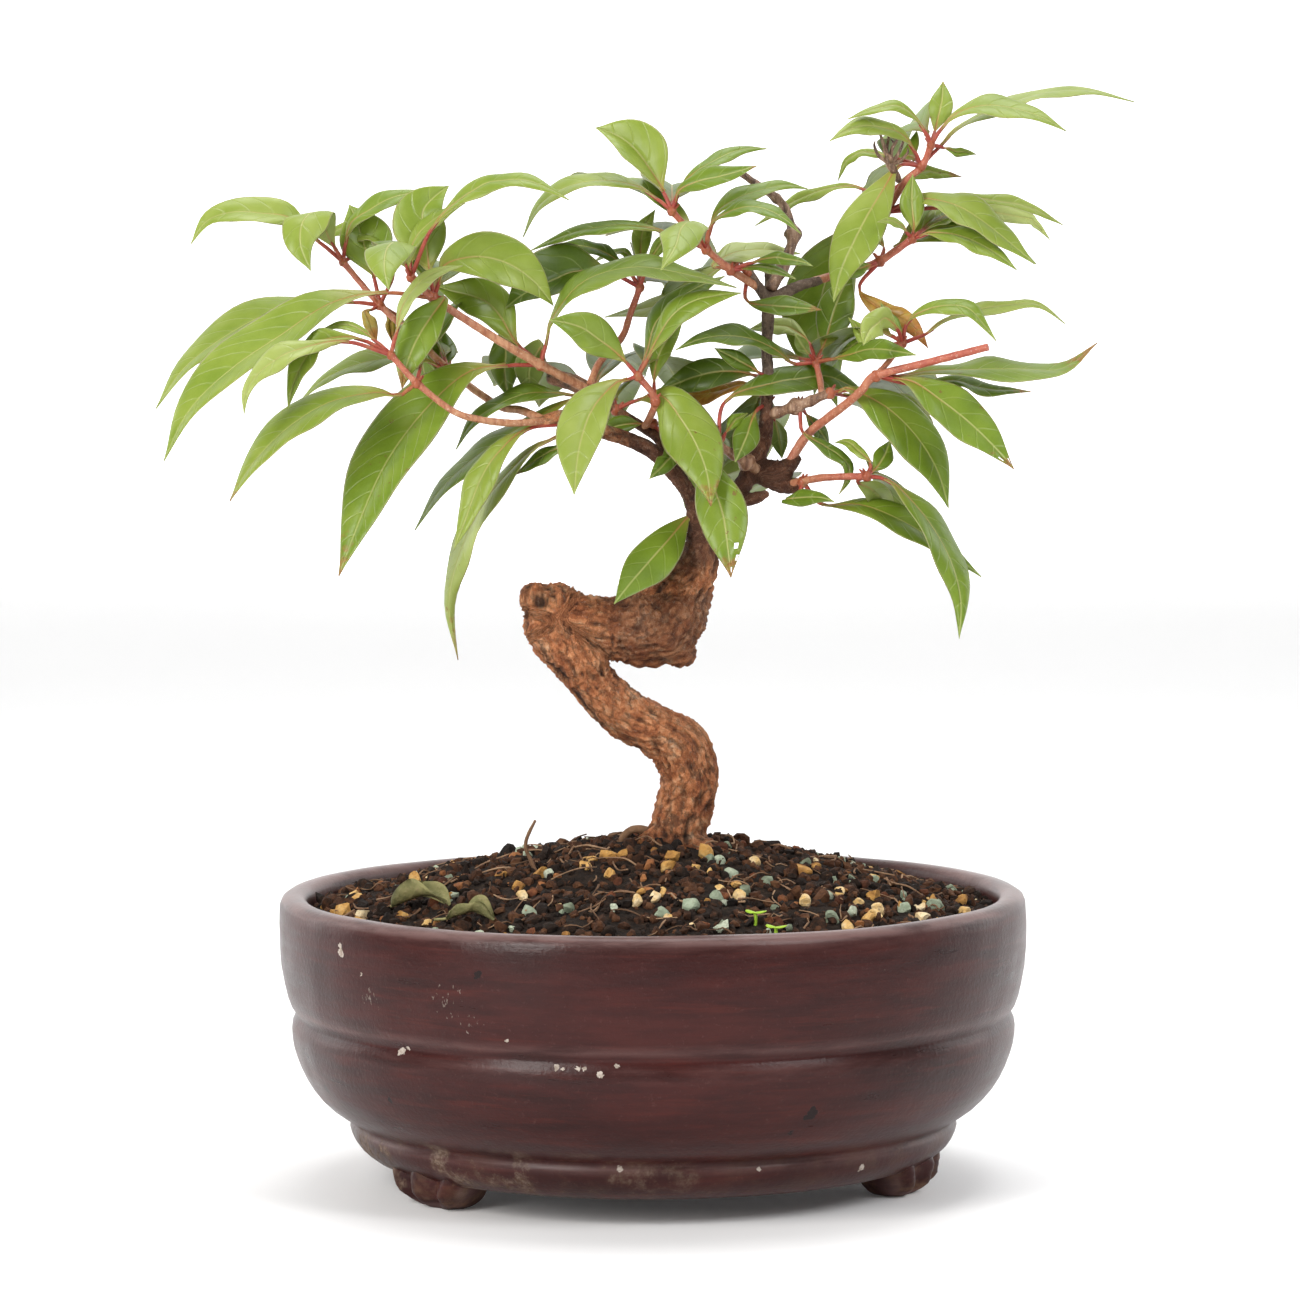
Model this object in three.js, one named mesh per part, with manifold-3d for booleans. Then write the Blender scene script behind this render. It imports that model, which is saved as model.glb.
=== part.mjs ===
// Firebush bonsai in a round three-footed clay pot.  Millimetres, +Z up, front = -Y.
// The plant leans and spreads in the plane of the front view; every woody limb, stem and
// leaf is laid out from the centrelines listed below, and built as a closed loft.
import * as THREE from 'three';
import { mergeVertices } from 'three/addons/utils/BufferGeometryUtils.js';
import Module from 'manifold-3d';

const wasm = await Module();
wasm.setup();

// ---------------------------------------------------------------- driving dimensions (mm)
const RIM_R = 100;          // outer radius of the pot's rim
const RIM_TOP = 77.8;       // height of the rim above the table
const WALL = 7.4;           // thickness of the pot's wall at the rim
const FLOOR_TOP = 17.0;     // height of the pot's inside floor
const BASE_BOTTOM = 7.0;    // underside of the pot between the feet
const DRAIN_R = 11;         // drain hole in the middle of the floor
const WIRE_HOLE_R = 2.6;    // two small holes for the anchor wire
const WIRE_HOLE_AT = 34;    // their distance from the middle
const FOOT_ANGLES = [-51, 69, 189];   // degrees from the front, towards +X
const FOOT_HALF_ANGLE = 10.5;
const FOOT_INNER = 60, FOOT_OUTER = 77.5, FOOT_TOP = 13;
const SOIL_GAP = 0.3;       // room between soil and pot
const SCREEN_R = 17, SCREEN_T = 1.2;  // mesh disc over the drain hole
const STEM_GAP = 0.25;      // room between a leaf base and the stem it clasps
const LEAF_T = 0.8;         // thickness of a leaf at its midrib
const PETIOLE_R = 0.5;      // half width of a leaf stalk
const CENTRE_X = -0.74, CENTRE_Y = 0;  // middle of the whole plant and pot, seen from above

// ---------------------------------------------------------------- centrelines
// trunk and boughs: runs of [x, y, z, radius]
const LIMBS = [
  [[5.2,0,85.5,8.6],[5.5,0,89.8,8],[8,0,99,7.5],[9.9,0,108.2,7.9],[7.5,0,116.3,7.9],[1,0,121.2,7.2],[-6.7,-1,125,6.6],[-15.5,-2,133.5,6.4],[-20.3,-3,141.1,7.4],[-25.1,-3,148.9,8.6],[-26.4,-3,153.2,7.6]],
  [[-26.7,-3,151.6,8],[-19.2,-2,150.4,7.8],[-12,-1,149,8.2],[-3.2,0,148.4,10.2],[2.7,0,150.2,10.6],[7.6,0,156.1,8.6],[11.4,0,163.6,6.4],[13.3,0,170.1,4.6],[13.3,0,177.6,3.8]],
  [[13,0,177,3.9],[10.3,-3,184.4,2.8],[5.5,-5,191.2,2.6],[-0.3,-6,196.6,2.5],[-7,-7,199.8,2.5],[-13.6,-8,202,2.4],[-18.9,-8,205,2.3],[-24.2,-8,205.5,2.2],[-29.3,-8,204.2,2]],
  [[6.6,-4,190.1,1.9],[2.4,-1,198.8,1.8],[-1.6,0,202,1.7],[-9.4,2,207.1,1.6],[-15.8,1,211.4,1.7],[-18.2,0,213.3,1.6]],
  [[-15.8,3,211.6,2.2],[-20.6,5,214.3,2.7],[-26.6,7,215.8,2.5]],
  [[13.3,0,174.4,4.4],[18.9,1,180.7,3.3],[23.8,2,185.5,3.1],[27,3,191.4,3],[29.7,4,197.5,2.8],[30.8,4,202.8,2.4],[31.1,4,209.5,2.1],[31.4,4,216.2,2],[31.1,4,221.6,1.9],[31.4,5,230.9,2.1],[32,5,237.1,2.4]],
  [[32,5,235.8,2.2],[28.8,5,240,1.7],[26.1,5,244.1,1.5]],
  [[32,5,235.8,2.2],[36.3,5,238.4,2],[40.6,6,240.3,1.7],[45.4,6,241.6,1.5]],
  [[32,6,236.3,1.8],[31.8,9,241.1,1.5],[31.6,11,244.3,1.3]],
  [[27.8,3,190.3,3.2],[32.4,3,189.7,4.9],[36.4,4,191.3,3.2],[39.1,4,194,1.8]],
  [[29.7,3,189.7,3.4],[34.5,3,187,3],[38.8,3,186.2,2],[40.6,0,187.7,1.5]],
  [[22.4,2,182.8,2.4],[26.9,-1,183.2,2.2],[30.7,-2,184.6,1.4]]
];
// roots that leave the trunk's foot just under the soil
const ROOTS = [
  [[4,0,90,7],[-8,-5,87.5,3.2],[-22,-13,84,2.2],[-34,-22,80,1.2]],
  [[6,0,90,7],[18,-8,87,3.4],[32,-12,84,2.2],[44,-22,80,1.2]],
  [[6,0,90,7],[14,10,87,3.4],[24,24,84,2.2],[28,38,80,1.2]],
  [[4,0,90,7],[-6,11,86,3.2],[-18,22,83,2.2],[-30,30,79,1.2]],
  [[5,0,90,8],[5,-1,76,6.5],[6,2,62,3.5],[8,4,50,1.6]]
];
// green and dry shoots: name, run of [x, y, z, radius]
const STEMS = [
  ["stem_upper_left",[[-17.64,0.00,213.02,1.25],[-29.29,-4.00,219.28,1.18],[-42.71,-8.00,227.36,1.10],[-57.88,-12.00,237.51,1.02],[-63.32,-14.00,242.81,0.95]]],
  ["stem_left",[[-29.01,-8.00,205.01,1.15],[-35.02,-1.00,207.23,1.09],[-41.28,3.00,208.48,1.03],[-54.01,8.00,217.52,0.97],[-62.20,12.00,225.27,0.92],[-73.11,16.00,235.23,0.86],[-83.13,18.00,246.85,0.80]]],
  ["stem_low_left",[[-27.42,-8.00,204.47,1.00],[-37.36,-14.00,204.16,0.96],[-45.70,-18.00,205.36,0.92],[-52.21,-20.00,207.55,0.88],[-61.56,-22.00,215.01,0.84],[-68.35,-22.00,222.39,0.80]]],
  ["stem_crown",[[28.51,5.00,239.78,1.10],[21.21,0.00,244.62,1.00],[14.77,-4.00,249.95,0.90],[5.74,-8.00,260.02,0.80]]],
  ["stem_centre",[[-16.29,0.00,214.08,1.00],[-13.65,6.00,219.83,0.96],[-7.74,10.00,226.46,0.93],[-5.57,12.00,232.34,0.89],[-2.86,14.00,239.85,0.85]]],
  ["stem_front",[[-1.63,0.00,202.27,1.00],[1.06,-6.00,209.90,0.93],[-3.43,-10.00,216.39,0.85]]],
  ["spur_hanging",[[30.54,4.00,189.42,1.40],[22.35,-5.00,195.15,1.25],[17.77,-9.00,197.70,1.10]]],
  ["branch_right",[[31.37,4.00,205.52,1.35],[39.85,0.00,208.28,1.23],[47.77,-3.00,211.53,1.10]]],
  ["stem_long_right",[[36.18,4.00,191.28,1.30],[39.92,3.00,197.48,1.26],[43.08,1.00,201.55,1.21],[51.69,-5.00,208.37,1.17],[56.06,-9.00,212.44,1.13],[59.69,-11.00,216.19,1.09],[73.74,-16.00,219.94,1.04],[88.74,-21.00,223.92,1.00]]],
  ["stem_right_side",[[59.69,-11.00,216.19,0.80],[63.50,-9.00,220.38,0.75],[67.05,-7.00,224.84,0.70]]],
  ["stem_inner_right",[[45.67,-2.00,210.71,0.90],[45.30,3.00,214.87,0.85],[44.33,6.00,219.63,0.80]]],
  ["stem_lower_right",[[37.22,3.00,187.02,1.10],[45.04,-4.00,188.89,1.00],[57.21,-13.00,189.75,0.90]]],
  ["stem_dry_twisted",[[32.26,5.00,239.50,1.60],[36.10,8.00,246.43,1.48],[38.31,10.00,252.86,1.37],[37.57,12.00,257.16,1.25],[35.69,12.00,261.72,1.13],[30.81,10.00,265.73,1.02],[24.61,8.00,270.00,0.90]]],
  ["stem_upper_right",[[44.09,6.00,241.32,1.20],[53.55,8.00,243.96,1.10],[61.69,10.00,246.61,1.00],[70.19,8.00,252.47,0.90]]],
  ["stem_top_right",[[53.55,8.00,243.96,1.10],[58.55,12.00,252.26,1.04],[63.49,14.00,259.77,0.98],[68.61,14.00,267.80,0.92],[73.18,14.00,272.08,0.86],[75.50,12.00,277.65,0.80]]]
];
// leaf bases: name, middle, radius of the clasping base
const HUBS = [
  ["leaves_left_shoot_tip",[-83.1,18,246.9],1.6],
  ["leaves_left_shoot_middle",[-73.1,16,235.2],1.8],
  ["leaves_left_shoot_base",[-54.8,8.3,218.1],1.9],
  ["leaves_low_shoot_tip",[-68.4,-22,222.4],1.6],
  ["leaf_low_shoot",[-61.6,-22,215],1.8],
  ["leaves_upper_left_tip",[-63.3,-14,242.8],1.7],
  ["leaves_upper_left_middle",[-57.4,-11.9,237.2],2.0],
  ["leaves_upper_left_base",[-29.3,-4,219.3],2.2],
  ["leaves_grey_bough_end",[-16.3,0,210.9],2.6],
  ["leaf_left_bough_hanging",[-18.9,-8,203.9],3.6],
  ["leaves_left_bough_end",[-23.7,-8,203.7],3.4],
  ["leaves_centre_shoot_tip",[-2.9,14,239.8],1.7],
  ["leaves_crown_shoot_middle",[14.8,-4,249.9],1.9],
  ["leaves_crown_shoot_tip",[5.7,-8,260],1.7],
  ["leaves_crown_shoot_base",[21.5,0,244.3],1.9],
  ["leaves_top_fork",[26.1,5,243.5],2.4],
  ["leaves_front_shoot_tip",[-3.4,-10,216.4],1.8],
  ["leaf_front_shoot_base",[1.1,-6,209.6],1.9],
  ["leaf_grey_bough_front",[-9.4,2,207.1],2.4],
  ["leaves_hanging_spur",[17.8,-9,197.7],2.0],
  ["leaf_trunk_neck",[13,0,181.1],4.6],
  ["leaves_left_bough_front",[0.5,0,203.3],2.3],
  ["leaves_upright_bough_top",[31.4,4,215.4],3.3],
  ["leaves_inner_right_shoot",[44.3,6,219.6],1.8],
  ["leaf_right_branch_end",[47.8,-3,211.5],2.0],
  ["leaves_right_shoot",[59.7,-11,216.2],2.1],
  ["leaves_right_side_shoot",[67,-7,224.8],1.6],
  ["leaves_upper_right_node",[61.7,10,246.6],2.0],
  ["leaves_upper_right_tip",[70.2,8,252.5],1.7],
  ["leaves_top_right_low",[63.5,14,259.8],1.9],
  ["leaves_top_right_middle",[72.9,14,272.1],1.8],
  ["leaves_top_right_tip",[75.5,12,277.7],1.6],
  ["leaves_lower_right_tip",[57.2,-13,189.7],1.8],
  ["leaves_lower_right_base",[40.6,0,187.7],2.2],
  ["leaves_right_branch_base",[39.8,0,208.3],2.2],
  ["leaves_upright_bough_middle",[31.1,4,208.5],3.3]
];
// leaves: name, leaf base, seven midrib points (two along the stalk, five along the blade),
// and for each of them the reach from midrib to left and to right edge at full width
const LEAVES = [
  ["B2a","leaves_left_shoot_tip",[[-83.1,18,246.9],[-90.1,16.8,252.9],[-97.2,15.4,258.7],[-104.6,14.1,259.9],[-112.1,12.8,260.3],[-119.1,11.4,257.9],[-123.5,10,251.8]],[[-1.3,-4.4,-2.1],[-1.2,-4.4,-2.1],[-0.6,-4.4,-2.4],[0.2,-4.3,-2.5],[0.9,-4.3,-2.3],[1.8,-4.3,-1.7],[2.2,-4.3,-1]],[[2.5,3,3.2],[2.3,3,3.3],[1.5,3,3.8],[0.2,3,4],[-1,3,3.9],[-2.6,2.9,3.1],[-3.5,3,2.1]]],
  ["B2b","leaves_left_shoot_tip",[[-83.1,18,246.9],[-85,16.5,250.4],[-86.9,15.1,253.9],[-89.3,11.5,260.2],[-93,6,257.8],[-93.5,2.2,251.3],[-90.7,0.3,244.5]],[[-5.7,0.5,-2.9],[-5.7,0.5,-2.9],[-5.8,0.3,-2.3],[-5.1,2.3,-2.7],[-5,2,0.2],[-5.8,0.2,-1.1],[-5.8,-0.2,-2.4]],[[4.4,-1.5,1.8],[4.4,-1.5,1.8],[4.8,-1.5,1.3],[4.5,-3.2,-0.3],[5.7,-0.5,-2.2],[5.3,0.9,0.5],[4.7,0.9,1.7]]],
  ["B2d","leaves_left_shoot_tip",[[-83.1,18,246.9],[-82.4,18.9,252.4],[-80.7,20.1,257.6],[-76,21.4,260.8],[-71,22.7,263.7],[-65.5,24.1,265.2],[-59.9,25.5,265.6]],[[-2.4,1.8,0.1],[-2.4,2.4,0.3],[-2.2,2.9,1.1],[-1.7,3,1.8],[-1.3,2.9,2.1],[-0.9,2.9,2.3],[-0.6,2.9,2.4]],[[2.1,0.1,-0.3],[2.1,-1.6,-0.4],[2,-3.1,-1],[1.5,-3.1,-1.6],[1.2,-3.1,-1.8],[0.8,-3.1,-2],[0.6,-3.1,-2.1]]],
  ["bk00","leaves_left_shoot_tip",[[-83.1,18,246.9],[-79.6,21.2,248.8],[-75.8,24.6,249.6],[-69.6,30.3,248.4],[-64,35.4,244.2],[-60,39,237.6],[-58.1,40.7,229.4]],[[6.2,-6.4,-0.6],[6.1,-6.5,-0.6],[6,-6.6,-0.6],[5.9,-6.8,-0.6],[5.7,-6.9,-0.5],[5.6,-7,-0.3],[5.6,-7,-0.2]],[[-6.5,4.7,4],[-6.1,5,4.2],[-5.2,5.9,4.3],[-4.2,6.7,4.1],[-3.2,7.7,3.3],[-2.4,8.4,2.1],[-2.2,8.6,1.3]]],
  ["B1a","leaves_left_shoot_middle",[[-73.1,16,235.2],[-81.1,14.8,236.1],[-89.2,13.4,235.8],[-102.4,10.8,233.2],[-114.3,8,227],[-125,5.1,218.7],[-132.6,2,207.8]],[[0.4,-7.4,-2.7],[0.6,-7.4,-2.7],[1.2,-7.4,-2.6],[1.7,-7.3,-2.2],[2.2,-7.3,-1.8],[2.6,-7.3,-1.2],[2.8,-7.3,-0.7]],[[-0.2,7.4,4.6],[-0.6,7.4,4.6],[-1.5,7.4,4.4],[-2.4,7.3,4],[-3.3,7.3,3.4],[-4,7.3,2.5],[-4.3,7.3,1.8]]],
  ["B1c","leaves_left_shoot_middle",[[-73.1,16,235.2],[-75,18.5,243.5],[-77.6,21.5,251.4],[-78.5,22.6,254.2],[-79.4,23.7,257],[-80.5,24.8,259.7],[-81.8,26,262.3]],[[-5.3,-1.2,-1],[-5.3,-1.7,-1.1],[-5.3,-2,-1.2],[-5.3,-2.3,-1.1],[-5.3,-2.9,-1.3],[-5.3,-3.8,-1.5],[-5.3,-4.4,-1.6]],[[7.1,0,1.6],[7,0,1.9],[7,0,2.1],[6.9,0,2.2],[6.8,0,2.5],[6.6,0,3],[6.5,0,3.3]]],
  ["B1f","leaves_left_shoot_middle",[[-73.1,16,235.2],[-69.2,18.7,245.2],[-73.3,21.8,252.8],[-77.8,23.4,254.7],[-82.6,25,255.8],[-87.3,26.6,254.5],[-92.1,28.2,253.1]],[[-2.1,2.3,0.5],[-2.2,1.1,-0.2],[-2,-2.5,-0.9],[-1.2,-2.5,-1.9],[-0.5,-2.5,-2.2],[0.1,-2.5,-2.2],[0.2,-2.5,-2.2]],[[2.3,-1.7,-0.7],[2.4,1,-0.2],[2.2,2.3,1.1],[1.2,2.3,2.1],[0.4,2.3,2.4],[-0.2,2.3,2.5],[-0.3,2.3,2.4]]],
  ["B1d","leaves_left_shoot_middle",[[-73.1,16,235.2],[-74.9,14.6,234.3],[-76.8,13.2,233.4],[-75.9,11.5,231.4],[-75.1,9.7,229.3],[-74.3,7.9,227.4],[-73.5,6,225.4]],[[1,-0.7,-1.3],[1.1,-0.8,-1.3],[1.6,-0.4,-0.4],[1.6,0.6,0.3],[1.6,0.6,0.4],[1.6,0.6,0.4],[1.6,0.6,0.3]],[[-1,0.7,1.3],[-1.1,0.8,1.3],[-1.6,0.5,0.3],[-1.6,-0.3,-0.4],[-1.6,-0.5,-0.4],[-1.6,-0.4,-0.4],[-1.6,-0.4,-0.4]]],
  ["B1e","leaves_left_shoot_middle",[[-73.1,16,235.2],[-71.8,17.1,233.5],[-70.5,18.1,231.7],[-70.5,19.1,230.1],[-70.4,20.1,228.4],[-70.3,21,226.8],[-70.2,22,225.2]],[[1.1,0,0.8],[1.1,0,0.8],[1.2,0,0.5],[1.3,0,0.2],[1.3,0,0.1],[1.3,0,0.1],[1.3,0,0.1]],[[-1.1,0,-0.8],[-1.1,0,-0.8],[-1.2,0,-0.5],[-1.3,0,-0.2],[-1.3,0,-0.1],[-1.3,0,-0.1],[-1.3,0,-0.1]]],
  ["bk01","leaves_left_shoot_middle",[[-73.1,16,235.2],[-68.4,20.7,231.8],[-64.7,24.4,226.5],[-61.5,27.5,215],[-62.8,26.3,202.8],[-68.2,20.9,193],[-76.3,12.8,188.3]],[[6.1,-5.2,1.3],[6.3,-5,1.2],[6.6,-4.7,0.8],[6.7,-4.6,0.2],[4.3,-6.9,0.8],[4.7,-6.4,1.6],[5,-6.1,1.8]],[[-4.9,6.2,1.8],[-4.7,6.4,1.6],[-4.4,6.8,1],[-4.2,7,0.2],[-6.6,4.7,0.6],[-6.3,5,1.2],[-6.1,5.3,1.4]]],
  ["Bx1","leaves_left_shoot_base",[[-54.8,8.3,218.1],[-57.8,8.6,219.3],[-60.8,9,220.5],[-70.1,10.2,220.9],[-79.2,11.5,219.2],[-87.8,12.9,215.5],[-94.8,14.3,209.4]],[[-1.1,-5.9,-1.6],[-1,-5.9,-1.6],[-0.6,-5.9,-1.8],[-0.3,-5.9,-1.9],[0.1,-5.9,-1.9],[0.5,-5.9,-1.9],[0.8,-5.8,-1.8]],[[1.2,5.7,2.1],[1.1,5.7,2.1],[0.7,5.7,2.4],[0.3,5.7,2.4],[-0.2,5.7,2.5],[-0.8,5.7,2.3],[-1.2,5.6,2.2]]],
  ["Bx2","leaves_left_shoot_base",[[-54.8,8.3,218.1],[-57,11.1,216.6],[-57.2,14.1,219.8],[-57,16.6,222.1],[-56.8,19.1,224.4],[-56.8,21.7,226.7],[-56.7,24.3,228.9]],[[1.3,-1.6,-3.1],[-2.5,-1.3,-2.2],[-3.2,0.4,-0.3],[-3.3,0.9,-0.1],[-3.2,0.9,-0.1],[-3.2,0.8,-0.2],[-3.2,0.8,-0.2]],[[-2.3,0,3.3],[2.5,0,3.2],[4,-0.1,0.2],[4,0,-0.3],[4,0,-0.3],[4,0.1,-0.2],[4,0,-0.2]]],
  ["bk02","leaves_left_shoot_base",[[-54.8,8.3,218.1],[-55.7,11.4,221.3],[-56.8,15.1,223.8],[-58.8,22.2,226.1],[-60.8,29.6,225.5],[-62.7,36.3,222.3],[-64.2,41.6,216.9]],[[5.9,4.3,-2.5],[5.9,4,-2.8],[6.2,3.2,-3.3],[6.4,2.2,-3.6],[6.8,1,-3.5],[7.1,-0.1,-2.9],[7.2,-0.6,-2.5]],[[-3.3,-5.4,4.3],[-3.5,-5,4.7],[-3.9,-3.5,5.6],[-4.3,-1.9,6.1],[-4.9,0.2,5.9],[-5.4,2.1,5],[-5.7,2.9,4.3]]],
  ["C1a","leaves_low_shoot_tip",[[-68.4,-22,222.4],[-76.7,-23.1,226.7],[-85.5,-24.5,226.4],[-89.5,-25.3,222.9],[-92.2,-26.2,218.3],[-94,-27.1,213.4],[-95.2,-28,208.2]],[[-0.8,-2.8,-2],[-0.2,-2.8,-2.2],[0.8,-2.8,-2],[1.8,-2.8,-1.2],[2.1,-2.7,-0.7],[2.1,-1.4,-0.5],[2.1,-0.7,-0.4]],[[1.4,1.5,2.9],[0.6,1.5,3.2],[-1,1.4,3.1],[-2.5,1.4,2],[-3,1.4,1.3],[-3.1,1.2,0.8],[-3.2,1,0.6]]],
  ["C1e","leaves_low_shoot_tip",[[-68.4,-22,222.4],[-72.8,-20.6,226.4],[-77.9,-18.9,229.5],[-80.3,-18.2,230.1],[-82.7,-17.5,230.1],[-85,-16.7,229.5],[-87.4,-16,228.7]],[[-0.8,-1.3,-0.7],[-0.8,-1.2,-0.8],[-0.7,-1.2,-0.9],[-0.4,-1.2,-1],[-0.1,-1.2,-1.1],[0.1,-1.2,-1.1],[0.1,-1.2,-1.1]],[[0.8,1.3,0.7],[0.8,1.2,0.8],[0.7,1.2,0.9],[0.4,1.2,1],[0.1,1.2,1.1],[-0.1,1.2,1.1],[-0.1,1.2,1.1]]],
  ["C1b","leaves_low_shoot_tip",[[-68.4,-22,222.4],[-80.7,-26.4,226.1],[-92.9,-31.6,223.7],[-98,-34.1,221.2],[-102.3,-36.7,217.6],[-105.2,-39.3,212.9],[-105.6,-42,207.3]],[[-0.1,-3.1,-2.5],[0.5,-3,-2.5],[1.3,-2.9,-2.2],[1.9,-2.9,-1.7],[2.3,-2.9,-1],[2.4,-2,-0.3],[2.4,0.4,-0.3]],[[0.2,2.9,2.7],[-0.5,2.8,2.7],[-1.3,2.7,2.4],[-2,2.7,1.9],[-2.5,2.7,1.2],[-2.7,2.4,0.3],[-2.7,1.6,-0.2]]],
  ["C1k","leaves_low_shoot_tip",[[-68.4,-22,222.4],[-67,-21.1,228.3],[-65.5,-20.1,234.2],[-63,-19.1,238.8],[-59.3,-18.1,242.5],[-54.6,-17.1,244.7],[-49.5,-16,245.7]],[[-1.6,2.2,0.2],[-1.6,2.4,0.2],[-1.6,2.8,0.3],[-1.5,3.1,0.7],[-1.2,3.1,1.1],[-0.9,3.1,1.4],[-0.7,3.1,1.5]],[[2.1,-0.7,-0.4],[2.1,-1.1,-0.4],[2.1,-2.1,-0.6],[1.9,-2.7,-1],[1.5,-2.7,-1.6],[1,-2.7,-1.9],[0.7,-2.7,-2]]],
  ["BB1","leaf_low_shoot",[[-61.6,-22,215],[-66.6,-23.1,211.8],[-72.5,-24.4,212.5],[-84.5,-27.5,210],[-94.8,-30.9,203.7],[-103.4,-34.4,195.1],[-109.8,-38,184.8]],[[2.4,-7.4,-2.3],[1.7,-7.3,-2.9],[1.5,-7.3,-3.1],[2.3,-7.2,-2.6],[2.9,-7.2,-1.8],[3.3,-7.1,-1.1],[3.4,-7.1,-0.6]],[[-3,7,3.2],[-1.9,7,4],[-1.6,7,4.1],[-2.6,6.9,3.6],[-3.5,6.8,2.7],[-4.1,6.8,1.8],[-4.3,6.8,1.3]]],
  ["bk03","leaf_low_shoot",[[-61.6,-22,215],[-60.9,-17,219.2],[-60.2,-11.6,222.9],[-59,-1.9,227.9],[-57.6,8.4,231.4],[-56.3,19.1,233.2],[-54.8,30,233.4]],[[6.7,-4,3.8],[6.7,-3.8,3.9],[6.8,-3.3,4.2],[6.8,-2.8,4.5],[6.9,-2.1,4.7],[7,-1.4,4.8],[7.1,-1,4.9]],[[-8.3,2,-1.1],[-8.3,1.9,-1.1],[-8.4,1.8,-1.2],[-8.4,1.6,-1.3],[-8.4,1.4,-1.4],[-8.4,1.2,-1.4],[-8.4,1.1,-1.4]]],
  ["A3d","leaves_upper_left_tip",[[-63.3,-14,242.8],[-64,-16.5,244.8],[-64.6,-19,246.8],[-66.3,-25.9,251.7],[-68.4,-34.1,250.6],[-69,-41.2,245.8],[-67.6,-47,239.6]],[[-5.7,0.1,-1.8],[-5.7,0.1,-1.8],[-5.7,0.1,-1.8],[-5.6,0.9,-1.9],[-5.5,1.4,-1.2],[-5.7,0.7,-1.1],[-5.8,0.2,-1.5]],[[5.3,-1.7,-0.4],[5.3,-1.7,-0.4],[5.3,-1.7,-0.5],[5.4,-1.7,-1.3],[5.7,-0.3,-1.8],[5.6,1,-0.8],[5.4,1.4,-0.1]]],
  ["A3e","leaves_upper_left_tip",[[-63.3,-14,242.8],[-63.5,-13.5,245.7],[-63.6,-13,248.6],[-61.7,-11.8,253.5],[-58.1,-10.6,257.2],[-53.8,-9.3,260],[-49.1,-8,262.3]],[[-1.9,0.9,-0.2],[-1.9,1.4,-0.2],[-1.9,2.3,0.2],[-1.8,2.9,0.7],[-1.5,2.9,1.2],[-1.3,2.9,1.4],[-1.2,2.9,1.5]],[[1.9,1.5,-0.1],[1.9,1,-0.1],[1.9,-1.3,-0.3],[1.8,-2.9,-0.7],[1.5,-2.9,-1.2],[1.3,-2.9,-1.4],[1.2,-2.9,-1.5]]],
  ["A3h","leaves_upper_left_tip",[[-63.3,-14,242.8],[-56.6,-16.9,257.1],[-44.7,-20.1,266.4],[-38.7,-21.5,267.9],[-32.5,-23,267.9],[-26.8,-24.5,265.7],[-21.3,-26,262.8]],[[-1.8,3.4,1.2],[-1.4,3.5,1.7],[-0.8,3.5,2],[0.1,3.5,2.2],[0.9,3.5,2],[1.3,3.5,1.8],[1.5,3.5,1.7]],[[1.8,-3.1,-1.2],[1.4,-3.5,-1.7],[0.8,-3.5,-2],[-0.1,-3.5,-2.2],[-0.9,-3.5,-2],[-1.3,-3.5,-1.8],[-1.5,-3.5,-1.7]]],
  ["bk04","leaves_upper_left_tip",[[-63.3,-14,242.8],[-63.7,-11.1,245.9],[-64.1,-7.7,248.4],[-65,-1.1,251.2],[-65.8,5.9,251.9],[-66.7,12.9,250.5],[-67.5,19.1,247.1]],[[7.6,-1.7,2.5],[7.6,-1.5,2.7],[7.5,-0.8,3.2],[7.4,0,3.5],[7.3,1.1,3.6],[7.1,2.2,3.4],[7.1,2.6,3.2]],[[-8.2,-0.9,-0.2],[-8.2,-0.9,-0.2],[-8.1,-0.9,-0.2],[-8.1,-1,-0.2],[-8.1,-1,-0.2],[-8.1,-1.1,-0.2],[-8.1,-1.1,-0.2]]],
  ["A2b","leaves_upper_left_middle",[[-57.4,-11.9,237.2],[-71.1,-14.5,238.7],[-84.6,-17.7,235.8],[-97.3,-21.4,227.6],[-109.8,-25.4,219.1],[-120.5,-29.6,208.6],[-127.2,-33.9,195.2]],[[0.5,-7.3,-3.6],[1.2,-7.3,-3.4],[2.3,-7.2,-2.8],[2.8,-7.2,-2.3],[3.1,-7.2,-1.9],[3.5,-7.1,-1.1],[3.7,-7.2,-0.5]],[[-0.1,7.3,7.1],[-1.4,7.4,6.9],[-3.6,7.2,6.1],[-4.7,7.2,5.3],[-5.4,7.2,4.6],[-6.3,7.1,3.2],[-6.8,7.1,2.1]]],
  ["A2m","leaves_upper_left_middle",[[-57.4,-11.9,237.2],[-55.8,-12.2,237.4],[-54.2,-12.6,237.5],[-58.2,-14.5,232],[-61.8,-16.5,226.2],[-64.3,-18.8,219.9],[-65.6,-21.1,213.3]],[[-0.1,2.2,4.3],[1.1,2.5,3.5],[4.1,-1.7,-1.4],[3.8,-2.2,-2],[4,-2,-1.6],[4.2,-1.1,-1.1],[4.2,-0.3,-0.7]],[[0.4,0,-4.8],[-1,-0.4,-3.9],[-4.4,0,2],[-4.1,0,2.6],[-4.3,0,2.2],[-4.6,0,1.4],[-4.8,0,0.9]]],
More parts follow.
